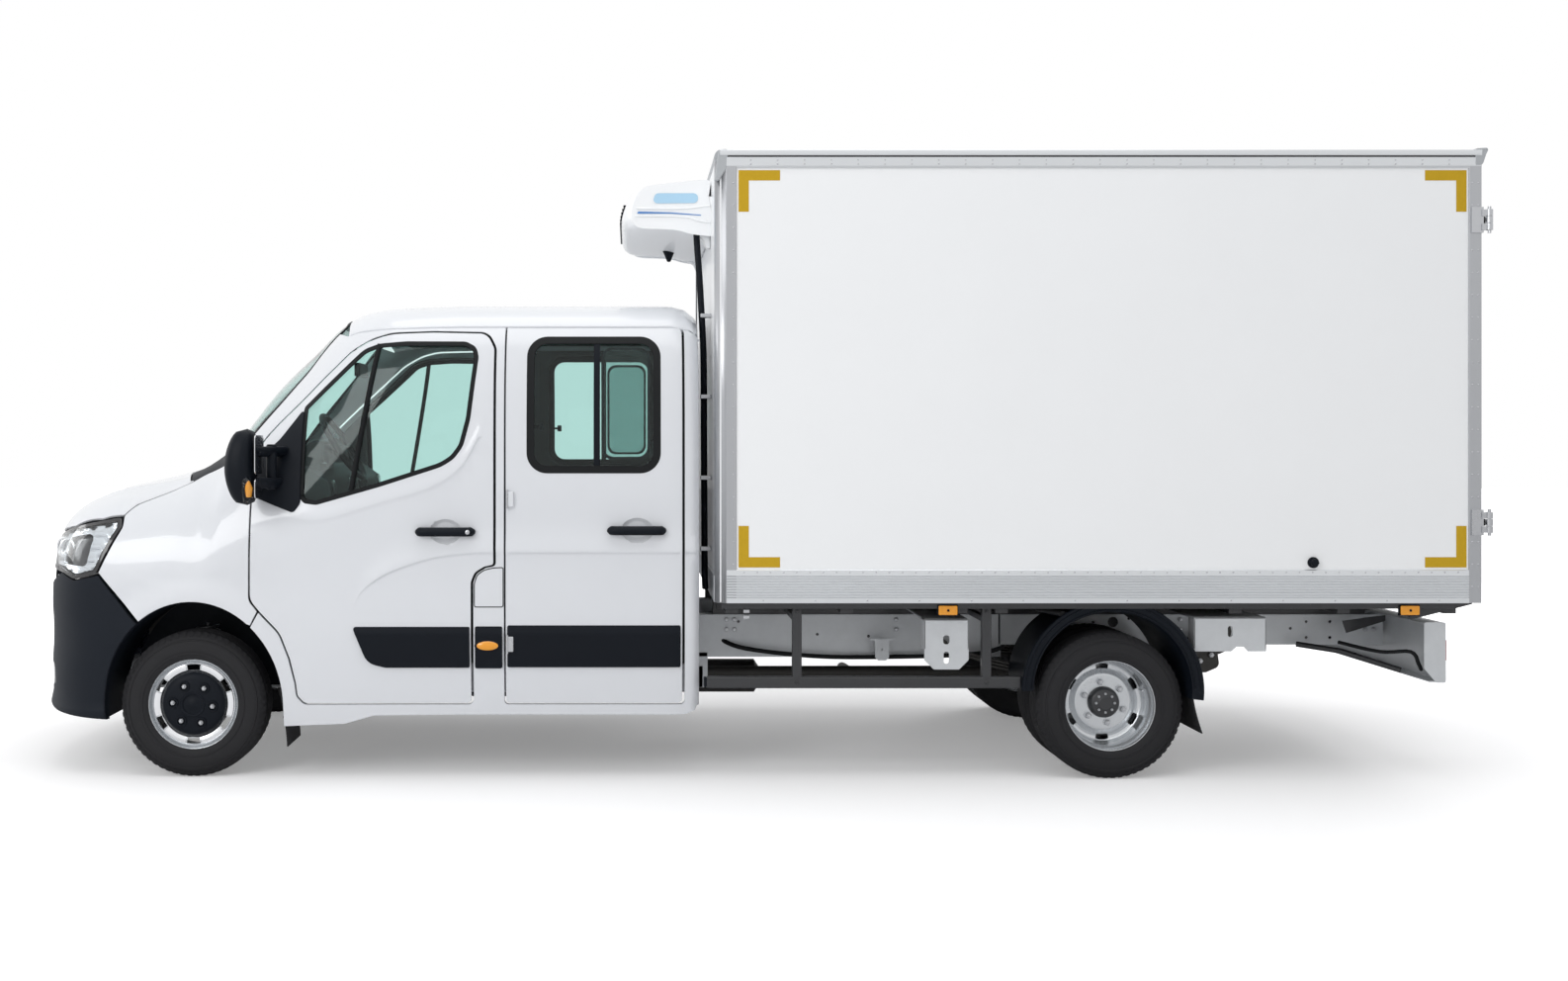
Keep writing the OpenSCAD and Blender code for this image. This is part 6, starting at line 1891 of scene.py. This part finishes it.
hose = smooth_curve([(BOX_FRONT - 0.060, -0.62, 2.46), (BOX_FRONT - 0.050, -0.625, 2.30),
                     (BOX_FRONT - 0.036, -0.63, 2.00), (BOX_FRONT - 0.034, -0.628, 1.60),
                     (BOX_FRONT - 0.032, -0.63, 1.20), (BOX_FRONT - 0.030, -0.62, 0.95),
                     (BOX_FRONT - 0.026, -0.60, 0.86)], 8)
piece("unit_hose", *bar([(BOX_FRONT - 0.07, -0.60, 2.615), (BOX_FRONT - 0.066, -0.61, 2.54)] + hose,
                        0.016, 14), black_plastic, slot="black_plastic", smooth=60)
for k, z in enumerate((2.20, 1.80, 1.40, 1.05)):
    piece(f"hose_clip_{k}", *block((BOX_FRONT - 0.052, -0.655, z), (BOX_FRONT, -0.602, z + 0.02)),
          zinc,
          slot="bright_steel", bevel=0.003, smooth=40)
print("unit pieces:", len([n for n in made if n.startswith(("unit", "hose"))]))

# %% [markdown]
# ## Chassis, brackets and guards
# A galvanised ladder frame carries the box on a black subframe. The rails are C sections with
# their open side inwards. Plates with slots bolt to the rails for the box and the guards, and
# the rear bumper is a C section that is open to the front.

# %% Frame rails, subframe and brackets
RAIL = 0.430
frame_x = [at(v) for v in (2.404, 3.950, 5.888)]


def channel(x0, x1, z0, z1, side, web=0.006, flange=0.060):
    outline = [(0, z0), (flange, z0), (flange, z0 + web), (web, z0 + web), (web, z1 - web),
               (flange, z1 - web),
               (flange, z1), (0, z1)]
    verts = [(x, side * (RAIL - u), z) for x in (x0, x1) for u, z in outline]
    n = len(outline)
    faces = [(i, (i + 1) % n, n + (i + 1) % n, n + i) for i in range(n)]
    return verts, faces + [tuple(range(n)), tuple(reversed(range(n, 2 * n)))]


def slotted(name, outline, y, thick, used, holes=(), body="truck", slot="galvanised",
            side=LEFT):
    """A flat plate that faces sideways, with holes right through it."""
    panel(name, outline, lambda u, v, d=0.0: Vector((at(u), side * (y - d), v)), used, body,
          holes=holes,
          thick=thick, roll=0.001, grid=0.2, edge=0.05, slot=slot)


def stadium(x, z, w, h):
    r = min(w, h) / 2
    return fillet([(x - w / 2, z - h / 2), (x + w / 2, z - h / 2), (x + w / 2, z + h / 2),
                   (x - w / 2, z + h / 2)],
                  r * 0.98, 6)


parts = []
for side in (LEFT, RIGHT):
    parts += [channel(at(-0.6), at(2.44), 0.340, 0.450, side),
              channel(frame_x[0], frame_x[1], 0.496, 0.712, side),
              channel(frame_x[1] - 0.012, frame_x[2], 0.557, 0.712, side)]
    parts.append(block((at(2.404), min(side * 0.43, side * 0.41), 0.340),
                       (at(2.464), max(side * 0.43, side * 0.41), 0.52)))
for x, z, tall in ((-0.59, 0.39, 0.054), (1.0, 0.39, 0.054), (1.7, 0.39, 0.054), (2.5, 0.56, 0.07),
                   (3.6, 0.58, 0.07),
                   (5.0, 0.59, 0.07), (5.78, 0.59, 0.07)):
    parts.append(block((at(x), -0.424, z), (at(x + 0.06), 0.424, z + tall)))
piece("frame_rails", *join(parts), galvanised, slot="galvanised", bevel=0.002, smooth=40,
      replaces=("chassis_frame",))
holes_seen = [(2.62, 0.675), (3.02, 0.61), (3.28, 0.60), (4.42, 0.672), (4.60, 0.69), (5.42, 0.64),
              (5.50, 0.674),
              (5.50, 0.594), (5.62, 0.674), (5.62, 0.594), (5.73, 0.64)]
for side, word in SIDES:
    # The holes in the rails are not cut: thin gloss black discs at their places are painted shade
    # for the dark of each hole.
    dots = [turned([(0.0, 0.0008), (0.0075, 0.0008), (0.0075, 0.0)], (at(x), side * RAIL, z), side,
                   16) for x, z in holes_seen]
    dots.append(turned([(0.0, 0.0008), (0.026, 0.0008), (0.026, 0.0)],
                       (at(4.52), side * RAIL, 0.672), side, 28))
    piece(f"rail_hole_shade_{word}", *join(dots), gloss_black, slot="galvanised", smooth=40)
    heads = [nut((at(x), side * RAIL, z), side, 0.012, 0.0,
                 0.010) for x in (2.56, 2.60, 3.42, 3.70, 4.86, 4.94, 5.80, 5.84)
             for z in (0.635, 0.685)]
    piece(f"rail_bolts_{word}", *join(heads), zinc, slot="bright_steel", smooth=30)
    slotted(f"front_plate_{word}", fillet([(3.458, 0.753), (3.458, 0.560), (3.503, 0.515),
                                           (3.622, 0.515),
                                           (3.667, 0.560), (3.667, 0.753)],
                                           [0.004, 0.01, 0.01, 0.01, 0.01, 0.004]),
            1.0, 0.006, galvanised, [stadium(3.562, 0.655, 0.030, 0.044),
                                     stadium(3.562, 0.570, 0.026, 0.058)], side=side)
    slotted(f"rear_plate_{word}", [(4.730, 0.600), (4.905, 0.600), (4.930, 0.622), (4.965, 0.622),
                                   (4.985, 0.600),
                                   (5.070, 0.600), (5.070, 0.762), (4.730, 0.762)],
            1.0, 0.006, galvanised, [stadium(4.900, 0.694, 0.022, 0.052)], side=side)
    webs = []
    for x0, x1, z0, z1 in ((3.458, 3.667, 0.745, 0.753), (4.730, 5.070, 0.754, 0.762)):
        ys = sorted((side * 1.0, side * 0.44))
        webs.append(block((at(x0), ys[0], z0), (at(x1), ys[1], z1)))
    for x in (3.458, 3.661, 4.730, 5.064):
        ys = sorted((side * 1.0, side * 0.92))
        webs.append(block((at(x), ys[0], 0.61), (at(x + 0.006), ys[1], 0.753)))
    piece(f"plate_webs_{word}", *join(webs), galvanised, slot="galvanised", bevel=0.0015)
    bracket = fillet([(3.300, 0.590), (3.300, 0.505), (3.315, 0.490), (3.355, 0.490),
                      (3.370, 0.505), (3.370, 0.590),
                      (3.405, 0.590), (3.405, 0.598), (3.275, 0.598), (3.275, 0.590)], 0.003)
    slotted(f"hanging_bracket_{word}", bracket, 0.52, 0.005, galvanised,
            [stadium(3.335, 0.545, 0.012, 0.012)], side=side)
long_parts = [block((at(2.49), min(s * 0.43, s * 0.37), 0.712),
                    (at(5.80), max(s * 0.43, s * 0.37), 0.790)) for s in (-1, 1)]
for x in (2.52, 3.06, 3.60, 3.79, 4.89, 5.40, 5.90):
    long_parts.append(block((at(x), -1.010, 0.780), (at(x + 0.06), 1.010, 0.840)))
for s in (-1, 1):
    ys = sorted((s * 1.045, s * 1.005))
    long_parts.append(block((at(2.50), ys[0], 0.806), (at(5.93), ys[1], 0.836)))
    ys = sorted((s * 0.62, s * 0.56))
    long_parts.append(block((at(2.50), ys[0], 0.760), (at(5.95), ys[1], 0.836)))
piece("subframe", *join(long_parts), black_steel, slot="black_steel", bevel=0.002,
      replaces=("box_subframe",))
for side, word in SIDES:
    y = side * 1.0
    ys = sorted((y, y - side * 0.012))
    tail = fillet([(5.72, 0.835), (6.03, 0.838), (6.03, 0.825), (5.74, 0.752)], 0.004)
    piece(f"rear_wing_plate_{word}", *plate([(at(u), v) for u, v in tail],
                                           lambda u, v, d: (u, side * (1.02 - d), v), 0.012),
                                           black_steel, slot="black_steel")
    for k, (x0, x1) in enumerate(((3.514, 3.603), (5.676, 5.765))):
        ys = sorted((side * 1.052, side * 1.036))
        piece(f"amber_base_{k}_{word}", *block((at(x0 - 0.004), ys[0], 0.774),
                                               (at(x1 + 0.004), ys[1], 0.826)),
              black_plastic, slot="black_plastic", bevel=0.003)
        lens = join([block((at(x0), min(side * 1.062, side * 1.050), 0.778),
                           (at(x1), max(side * 1.062, side * 1.050), 0.822))])
        piece(f"amber_marker_{k}_{word}", *lens, amber, slot="lamp", bevel=0.006, segments=3,
              smooth=40)
        piece(f"amber_centre_{k}_{word}", *turned([(0.0, 0.004), (0.005, 0.004), (0.006, 0.0)],
              ((at(x0) + at(x1)) / 2, side * 1.062, 0.80), side, 16), black_plastic,
              slot="black_plastic", smooth=40)
    ties = [block((at(2.605), min(side * 0.99, side * 0.97), z),
                  (at(2.635), max(side * 0.99, side * 0.97), z + 0.018))
            for z in (0.752, 0.780)]
    piece(f"lashing_tabs_{word}", *join(ties), zinc, slot="bright_steel", bevel=0.003)
print("frame pieces:", len(made))

# %% Guards, mudguards and flaps
arc_x, arc_z = REAR_X + 0.006, 0.420
for side, word in SIDES:
    def slab(x0, x1, y0, y1, z0, z1):
        ys = sorted((side * y0, side * y1))
        return block((at(x0), ys[0], z0), (at(x1), ys[1], z1))

    piece(f"side_guard_{word}", *join([slab(2.430, 3.915, 0.970, 1.010, 0.427, 0.483)]),
          black_steel, slot="black_steel",
          bevel=0.008, segments=3, smooth=40, replaces=("side_guards",))
    piece(f"guard_posts_{word}", *join([slab(x, x + 0.044, 0.970, 1.010, 0.47,
                                             0.82) for x in (2.835, 3.728)]
                                      + [slab(x + 0.008, x + 0.036, 0.43, 0.99, 0.735,
                                              0.765) for x in (2.835, 3.728)]),
          black_steel, slot="black_steel", bevel=0.004, smooth=40)
    piece(f"guard_end_{word}", *join([slab(2.418, 2.432, 0.974, 1.006, 0.431, 0.479),
                                      slab(3.913, 3.927, 0.974, 1.006, 0.431, 0.479)]),
          black_plastic, slot="black_plastic", bevel=0.004)
    heads = [nut((at(x + 0.022), side * 1.010, z), side, 0.009, 0.0,
                 0.006) for x in (2.835, 3.728) for z in (0.455, 0.79)]
    piece(f"guard_bolts_{word}", *join(heads), black_steel, slot="black_steel", smooth=30)
    shell = [(0.372, 0.530), (0.372, 1.000), (0.376, 1.024), (0.392, 1.032), (0.425, 1.030),
             (0.428, 1.034),
             (0.424, 1.040), (0.388, 1.040), (0.372, 1.034), (0.366, 1.012), (0.366, 0.530)]
    start, turn = math.radians(-6), math.radians(186)
    verts, faces = turned([(r, out) for r, out in shell], (arc_x, 0, arc_z), side, 72, True, start,
                          turn)
    piece(f"mudguard_{word}", verts, faces + [tuple(range(11)),
                                              tuple(reversed(range(len(verts) - 11, len(verts))))],
          black_plastic, slot="black_plastic", smooth=35, replaces=("mudguards",))
    for k, r in enumerate((0.381, 0.409)):
        ring = [(arc_x + r * math.cos(a), side * 1.040, arc_z + r * math.sin(a))
                for a in (math.radians(2 + 176 * i / 48) for i in range(49))]
        piece(f"mudguard_bead_{k}_{word}", *bar(ring, 0.0035, 6), black_plastic,
              slot="black_plastic", smooth=60)
    piece(f"mudguard_stay_{word}", *join([bar([(arc_x + s * 0.20, side * 0.43, 0.74),
                                               (arc_x + s * 0.22, side * 0.98, 0.775)], 0.014, 12)
                                         for s in (-1, 1)]), black_steel, slot="black_steel",
                                         smooth=60)
    verts, faces = [], []
    rows = 12
    for i in range(rows + 1):
        t = i / rows
        x = 4.708 + 0.052 * t ** 1.6
        for x_off, y0 in ((0.0, 1.020), (0.007, 1.020), (0.007, 0.590), (0.0, 0.590)):
            verts.append((at(x + x_off), side * (y0 - (0.01 * t if y0 > 0.8 else 0)),
                          0.44 - 0.225 * t))
    for i in range(rows):
        for j in range(4):
            a, b = i * 4 + j, i * 4 + (j + 1) % 4
            faces.append((a, b, b + 4, a + 4))
    faces += [(0, 1, 2, 3), (rows * 4 + 3, rows * 4 + 2, rows * 4 + 1, rows * 4)]
    piece(f"mud_flap_{word}", verts, faces, rubber, slot="black_plastic", smooth=30)
    verts = []
    for i in range(rows + 1):
        t = i / rows
        x = 0.412 + 0.034 * math.sin(1.4 * t)
        for x_off, y0 in ((0.0, 0.985), (0.006, 0.985), (0.006, 0.70), (0.0, 0.70)):
            verts.append((at(x + x_off), side * (y0 - 0.02 * t), 0.42 - 0.275 * t))
    piece(f"front_flap_{word}", verts, faces, rubber, slot="black_plastic", smooth=30)
    liner = [(0.418, 0.64), (0.418, 0.93), (0.424, 0.972), (0.43, 0.972), (0.424, 0.64)]
    verts, faces2 = [], []
    steps = 40
    for i in range(steps + 1):
        a = math.radians(-8 + 196 * i / steps)
        for r, out in liner:
            k = r / ARCH_LONG
            verts.append((at(ARCH_X + ARCH_LONG * k * math.cos(a)), side * out,
                          ARCH_Z + ARCH_TALL * k * math.sin(a)))
    n = len(liner)
    for i in range(steps):
        for j in range(n):
            a, b = i * n + j, i * n + (j + 1) % n
            faces2.append((a, b, b + n, a + n))
    piece(f"arch_liner_{word}", verts, faces2, black_plastic, slot="black_plastic", smooth=50)
    inner_wall = [(x, z) for x, z in arch(-2, 182, 40, grow=-0.008) if z > 0.34]
    piece(f"arch_wall_{word}", *plate(inner_wall, lambda u, v, d: (at(u), side * (0.525 + d), v),
                                      0.008),
          black_plastic, slot="black_plastic")
print("guards ready:", len(made))

# %% Rear bumper and tail lights
bumper_c = [(5.811, 0.736), (5.914, 0.736), (5.914, 0.455), (5.840, 0.455), (5.840, 0.461),
            (5.906, 0.461), (5.906, 0.728),
            (5.811, 0.728)]
piece("rear_bumper_beam", *plate([(at(u), v) for u, v in bumper_c], lambda u, v,
                                 d: (u, -1.0 + d, v), 2.0), galvanised,
      slot="bright_steel", bevel=0.002, replaces=("rear_bumper",))
for side, word in SIDES:
    end = fillet([(5.813, 0.738), (5.916, 0.738), (5.916, 0.453), (5.870, 0.453), (5.813, 0.520)],
                 [0.01, 0.01, 0.01, 0.01, 0.02])
    piece(f"bumper_end_{word}", *plate([(at(u), v) for u, v in end], lambda u, v,
                                       d: (u, side * (1.003 - d), v), 0.004),
          galvanised, slot="bright_steel", bevel=0.001)
    arm = [(5.60, 0.700), (5.812, 0.728), (5.812, 0.700), (5.62, 0.640)]
    piece(f"bumper_arm_{word}", *plate([(at(u), v) for u, v in arm], lambda u, v,
                                       d: (u, side * (0.62 - d), v), 0.008),
          black_steel, slot="black_steel")
    brace = [(at(5.42), side * 0.50, 0.57), (at(5.60), side * 0.60, 0.548),
             (at(5.84), side * 0.72, 0.47)]
    piece(f"bumper_brace_{word}", *bar(brace, 0.014, 10), black_steel, slot="black_steel",
          smooth=60)
    piece(f"cable_tail_{word}", *bar(smooth_curve([(at(5.56), side * 0.66, 0.60),
                                                   (at(5.70), side * 0.8, 0.572),
                                                  (at(5.80), side * 0.90, 0.585),
                                                  (at(5.828), side * 0.92, 0.53),
                                                  (at(5.85), side * 0.90, 0.50)], 5), 0.009, 8),
                                                  seal_rubber,
          slot="black_plastic", smooth=60)
    ys = sorted((side * 0.97, side * 0.69))
    lamp = block((at(5.914), ys[0], 0.545), (at(5.926), ys[1], 0.655))
    piece(f"tail_base_{word}", *lamp, black_plastic, slot="black_plastic", bevel=0.004,
          replaces=("tail_lights",))
    for k, (a, b, used) in enumerate(((0.0, 0.42, red_lens), (0.42, 0.70, amber),
                                      (0.70, 1.0, clear_lens))):
        y0, y1 = side * (0.965 - 0.27 * a), side * (0.965 - 0.27 * b)
        piece(f"tail_lens_{k}_{word}", *block((at(5.926), min(y0, y1) + 0.001, 0.551),
                                              (at(5.940), max(y0, y1) - 0.001, 0.649)),
              used, slot="red_lamp", bevel=0.004, segments=3, smooth=40)
plate_y = 0.26
piece("number_plate", *block((at(5.9145), -plate_y, 0.50), (at(5.918), plate_y, 0.61)), trim_pale,
      slot="panel", bevel=0.002)
print("rear pieces:", len(made))

# %% Axles, springs and what hangs under the frame
for side, word in SIDES:
    leaves = []
    for k in range(5):
        span = 0.70 - 0.12 * k
        base = TYRE_R + 0.070 - 0.016 * k + 0.02
        pts = [(REAR_X + span * t, side * 0.50,
                base + 0.13 * (span * t / 0.70) ** 2) for t in (i / 10 - 1 for i in range(21))]
        verts, faces = [], []
        for x, y, z in pts:
            for dy, dz in ((-0.032, 0), (0.032, 0), (0.032, 0.012), (-0.032, 0.012)):
                verts.append((x, y + dy, z + dz))
        for i in range(20):
            for j in range(4):
                a, b = i * 4 + j, i * 4 + (j + 1) % 4
                faces.append((a, b, b + 4, a + 4))
        faces += [(3, 2, 1, 0), (80, 81, 82, 83)]
        leaves.append((verts, faces))
    piece(f"leaf_spring_{word}", *join(leaves), cast_steel, slot="dark_steel", bevel=0.001,
          replaces=("leaf_springs",))
    piece(f"spring_eyes_{word}", *join([bar([(REAR_X + dx, side * 0.455, TYRE_R + 0.225),
                                             (REAR_X + dx, side * 0.545, TYRE_R + 0.225)], 0.030,
                                             20)
                                       for dx in (-0.70, 0.70)]), cast_steel, slot="dark_steel",
                                       smooth=50)
    hanger = fillet([(4.985, 0.700), (5.060, 0.700), (5.075, 0.640), (5.055, 0.545), (5.000, 0.520),
                     (4.960, 0.560)],
                    [0.005, 0.005, 0.02, 0.03, 0.03, 0.02])
    piece(f"spring_hanger_{word}", *join([
        plate([(at(u), v) for u, v in hanger], lambda u, v, d: (u, side * (y - d), v),
              0.010) for y in (0.462, 0.555)]),
        cast_steel, slot="dark_steel", bevel=0.002)
    stop = fillet([(4.760, 0.610), (4.940, 0.610), (4.990, 0.545), (5.000, 0.470), (4.930, 0.440),
                   (4.800, 0.452), (4.770, 0.50)],
                  [0.01, 0.01, 0.02, 0.03, 0.03, 0.03, 0.03])
    piece(f"bump_stop_{word}", *plate([(at(u), v) for u, v in stop], lambda u, v,
                                      d: (u, side * (0.60 - d), v), 0.06),
          cast_steel, slot="dark_steel", bevel=0.006, smooth=40)
    piece(f"stop_bolts_{word}", *join([nut((at(x), side * 0.60, z), side, 0.014, 0.0, 0.012) for x,
                                       z in ((4.90, 0.50), (4.955, 0.53))]),
          zinc, slot="bright_steel", smooth=30)
    damper = [(REAR_X - 0.10, side * 0.60, 0.34), (REAR_X - 0.16, side * 0.56, 0.50),
              (REAR_X - 0.20, side * 0.50, 0.66)]
    piece(f"rear_damper_{word}", *bar(damper, [0.030, 0.030, 0.018], 16), black_steel,
          slot="black_steel", smooth=50)
    piece(f"axle_clamp_{word}", *join([block((REAR_X - 0.09, side * 0.50 - 0.05, TYRE_R - 0.06),
                                             (REAR_X + 0.09, side * 0.50 + 0.05, TYRE_R - 0.045)),
                                      block((REAR_X - 0.09, side * 0.50 - 0.05, TYRE_R + 0.105),
                                            (REAR_X + 0.09, side * 0.50 + 0.05, TYRE_R + 0.12))]
                                     + [bar([(REAR_X + dx, side * 0.50 + dy, TYRE_R - 0.07),
                                             (REAR_X + dx, side * 0.50 + dy, TYRE_R + 0.13)], 0.009,
                                             10)
                                        for dx in (-0.065, 0.065) for dy in (-0.042, 0.042)]),
                                        cast_steel, slot="dark_steel", smooth=40)
    hose = smooth_curve([(at(2.48), side * 0.36, 0.62), (at(2.62), side * 0.46, 0.55),
                         (at(3.0), side * 0.47, 0.505), (at(3.4), side * 0.46, 0.50),
                         (at(3.80), side * 0.50, 0.52), (at(3.95), side * 0.52, 0.56)], 8)
    piece(f"brake_hose_{word}", *bar(hose, 0.011, 10), seal_rubber, slot="black_plastic", smooth=60)
piece("axle_housing", *join([
    bar([(REAR_X, -0.60, TYRE_R), (REAR_X, -0.16, TYRE_R), (REAR_X, -0.10, TYRE_R),
         (REAR_X, 0.10, TYRE_R), (REAR_X, 0.16, TYRE_R), (REAR_X, 0.60, TYRE_R)],
        [0.046, 0.052, 0.13, 0.13, 0.052, 0.046], 32),
    bar([(REAR_X - 0.22, 0, TYRE_R + 0.01), (REAR_X - 0.10, 0, TYRE_R), (REAR_X + 0.13, 0, TYRE_R),
         (REAR_X + 0.16, 0, TYRE_R)],
        [0.05, 0.11, 0.135, 0.06], 32)]), cast_steel, slot="dark_steel", smooth=40,
        replaces=("rear_axle",))
piece("propshaft", *join([
    bar([(at(0.70), 0, 0.352), (at(1.95), 0, 0.352), (REAR_X - 0.22, 0, TYRE_R + 0.01)], 0.034, 20),
    bar([(at(0.22), 0, 0.38), (at(0.50), 0, 0.37), (at(0.74), 0, 0.355)], [0.16, 0.12, 0.06], 20)]
    + [bar([(at(x), 0, 0.352), (at(x + 0.10), 0, 0.352)], 0.052, 16) for x in (0.78, 1.93, 4.02)]),
    cast_steel, slot="dark_steel",
    smooth=40, replaces=("driveshaft",))
pipe = smooth_curve([(at(0.40), 0.25, 0.36), (at(0.9), 0.25, 0.30), (at(2.15), 0.25, 0.30)], 6)
tail = smooth_curve([(at(2.77), 0.25, 0.30), (at(3.15), 0.25, 0.30), (at(3.27), 0.34, 0.30),
                     (at(3.29), 0.50, 0.295), (at(3.29), 0.66, 0.285)], 6)
piece("exhaust_pipes", *join([bar(pipe, 0.028, 16), bar(tail, 0.028, 16),
                             bar([(at(2.13), 0.25, 0.30), (at(2.17), 0.25, 0.30),
                                  (at(2.75), 0.25, 0.30), (at(2.79), 0.25, 0.30)],
                                 [0.03, 0.09, 0.09, 0.03], 28)]), cast_steel, slot="dark_steel",
                                 smooth=40, replaces=("exhaust",))
piece("front_beam", *join([bar([(AXLE_X, y, z) for y, z in ((-0.64, 0.32), (-0.46, 0.315),
                                                            (-0.36, 0.31), (0.36, 0.31),
                                                            (0.46, 0.315), (0.64, 0.32))],
                              [0.026, 0.030, 0.045, 0.045, 0.030, 0.026], 16)]
                         + [block((at(-0.06), -0.42, 0.282), (at(0.06), 0.42, 0.338))]), cast_steel,
                         slot="dark_steel", smooth=40,
      bevel=0.004, replaces=("front_axle",))
for side, word in SIDES:
    body = f"knuckle_{word}"
    y = side * 0.690
    piece(f"upright_{word}", *join([
        bar([(AXLE_X, y, 0.255), (AXLE_X, y, 0.30), (AXLE_X, y, 0.42)], [0.022, 0.034, 0.034], 20),
        bar([(AXLE_X, y, 0.345), (AXLE_X, y + side * 0.10, 0.345),
             (AXLE_X, y + side * 0.20, 0.345)], [0.05, 0.05, 0.029], 20)]),
        cast_steel, body, slot="dark_steel", smooth=40, replaces=(body,))
    piece(f"strut_{word}", *join([bar([(AXLE_X, y, 0.40), (AXLE_X, y, 0.56)], 0.028, 20),
                                  bar([(AXLE_X, y, 0.56), (AXLE_X, y, 0.70)], 0.012, 14)]),
          black_steel, body, slot="dark_steel", smooth=40)
    coil = [(AXLE_X + 0.055 * math.cos(a), y + 0.055 * math.sin(a),
             0.50 + 0.19 * a / (2 * math.pi * 6))
            for a in (2 * math.pi * k / 16 for k in range(16 * 6 + 1))]
    piece(f"coil_{word}", *bar(coil, 0.006, 8), black_steel, body, slot="dark_steel", smooth=60)
print("running gear:", len(made))
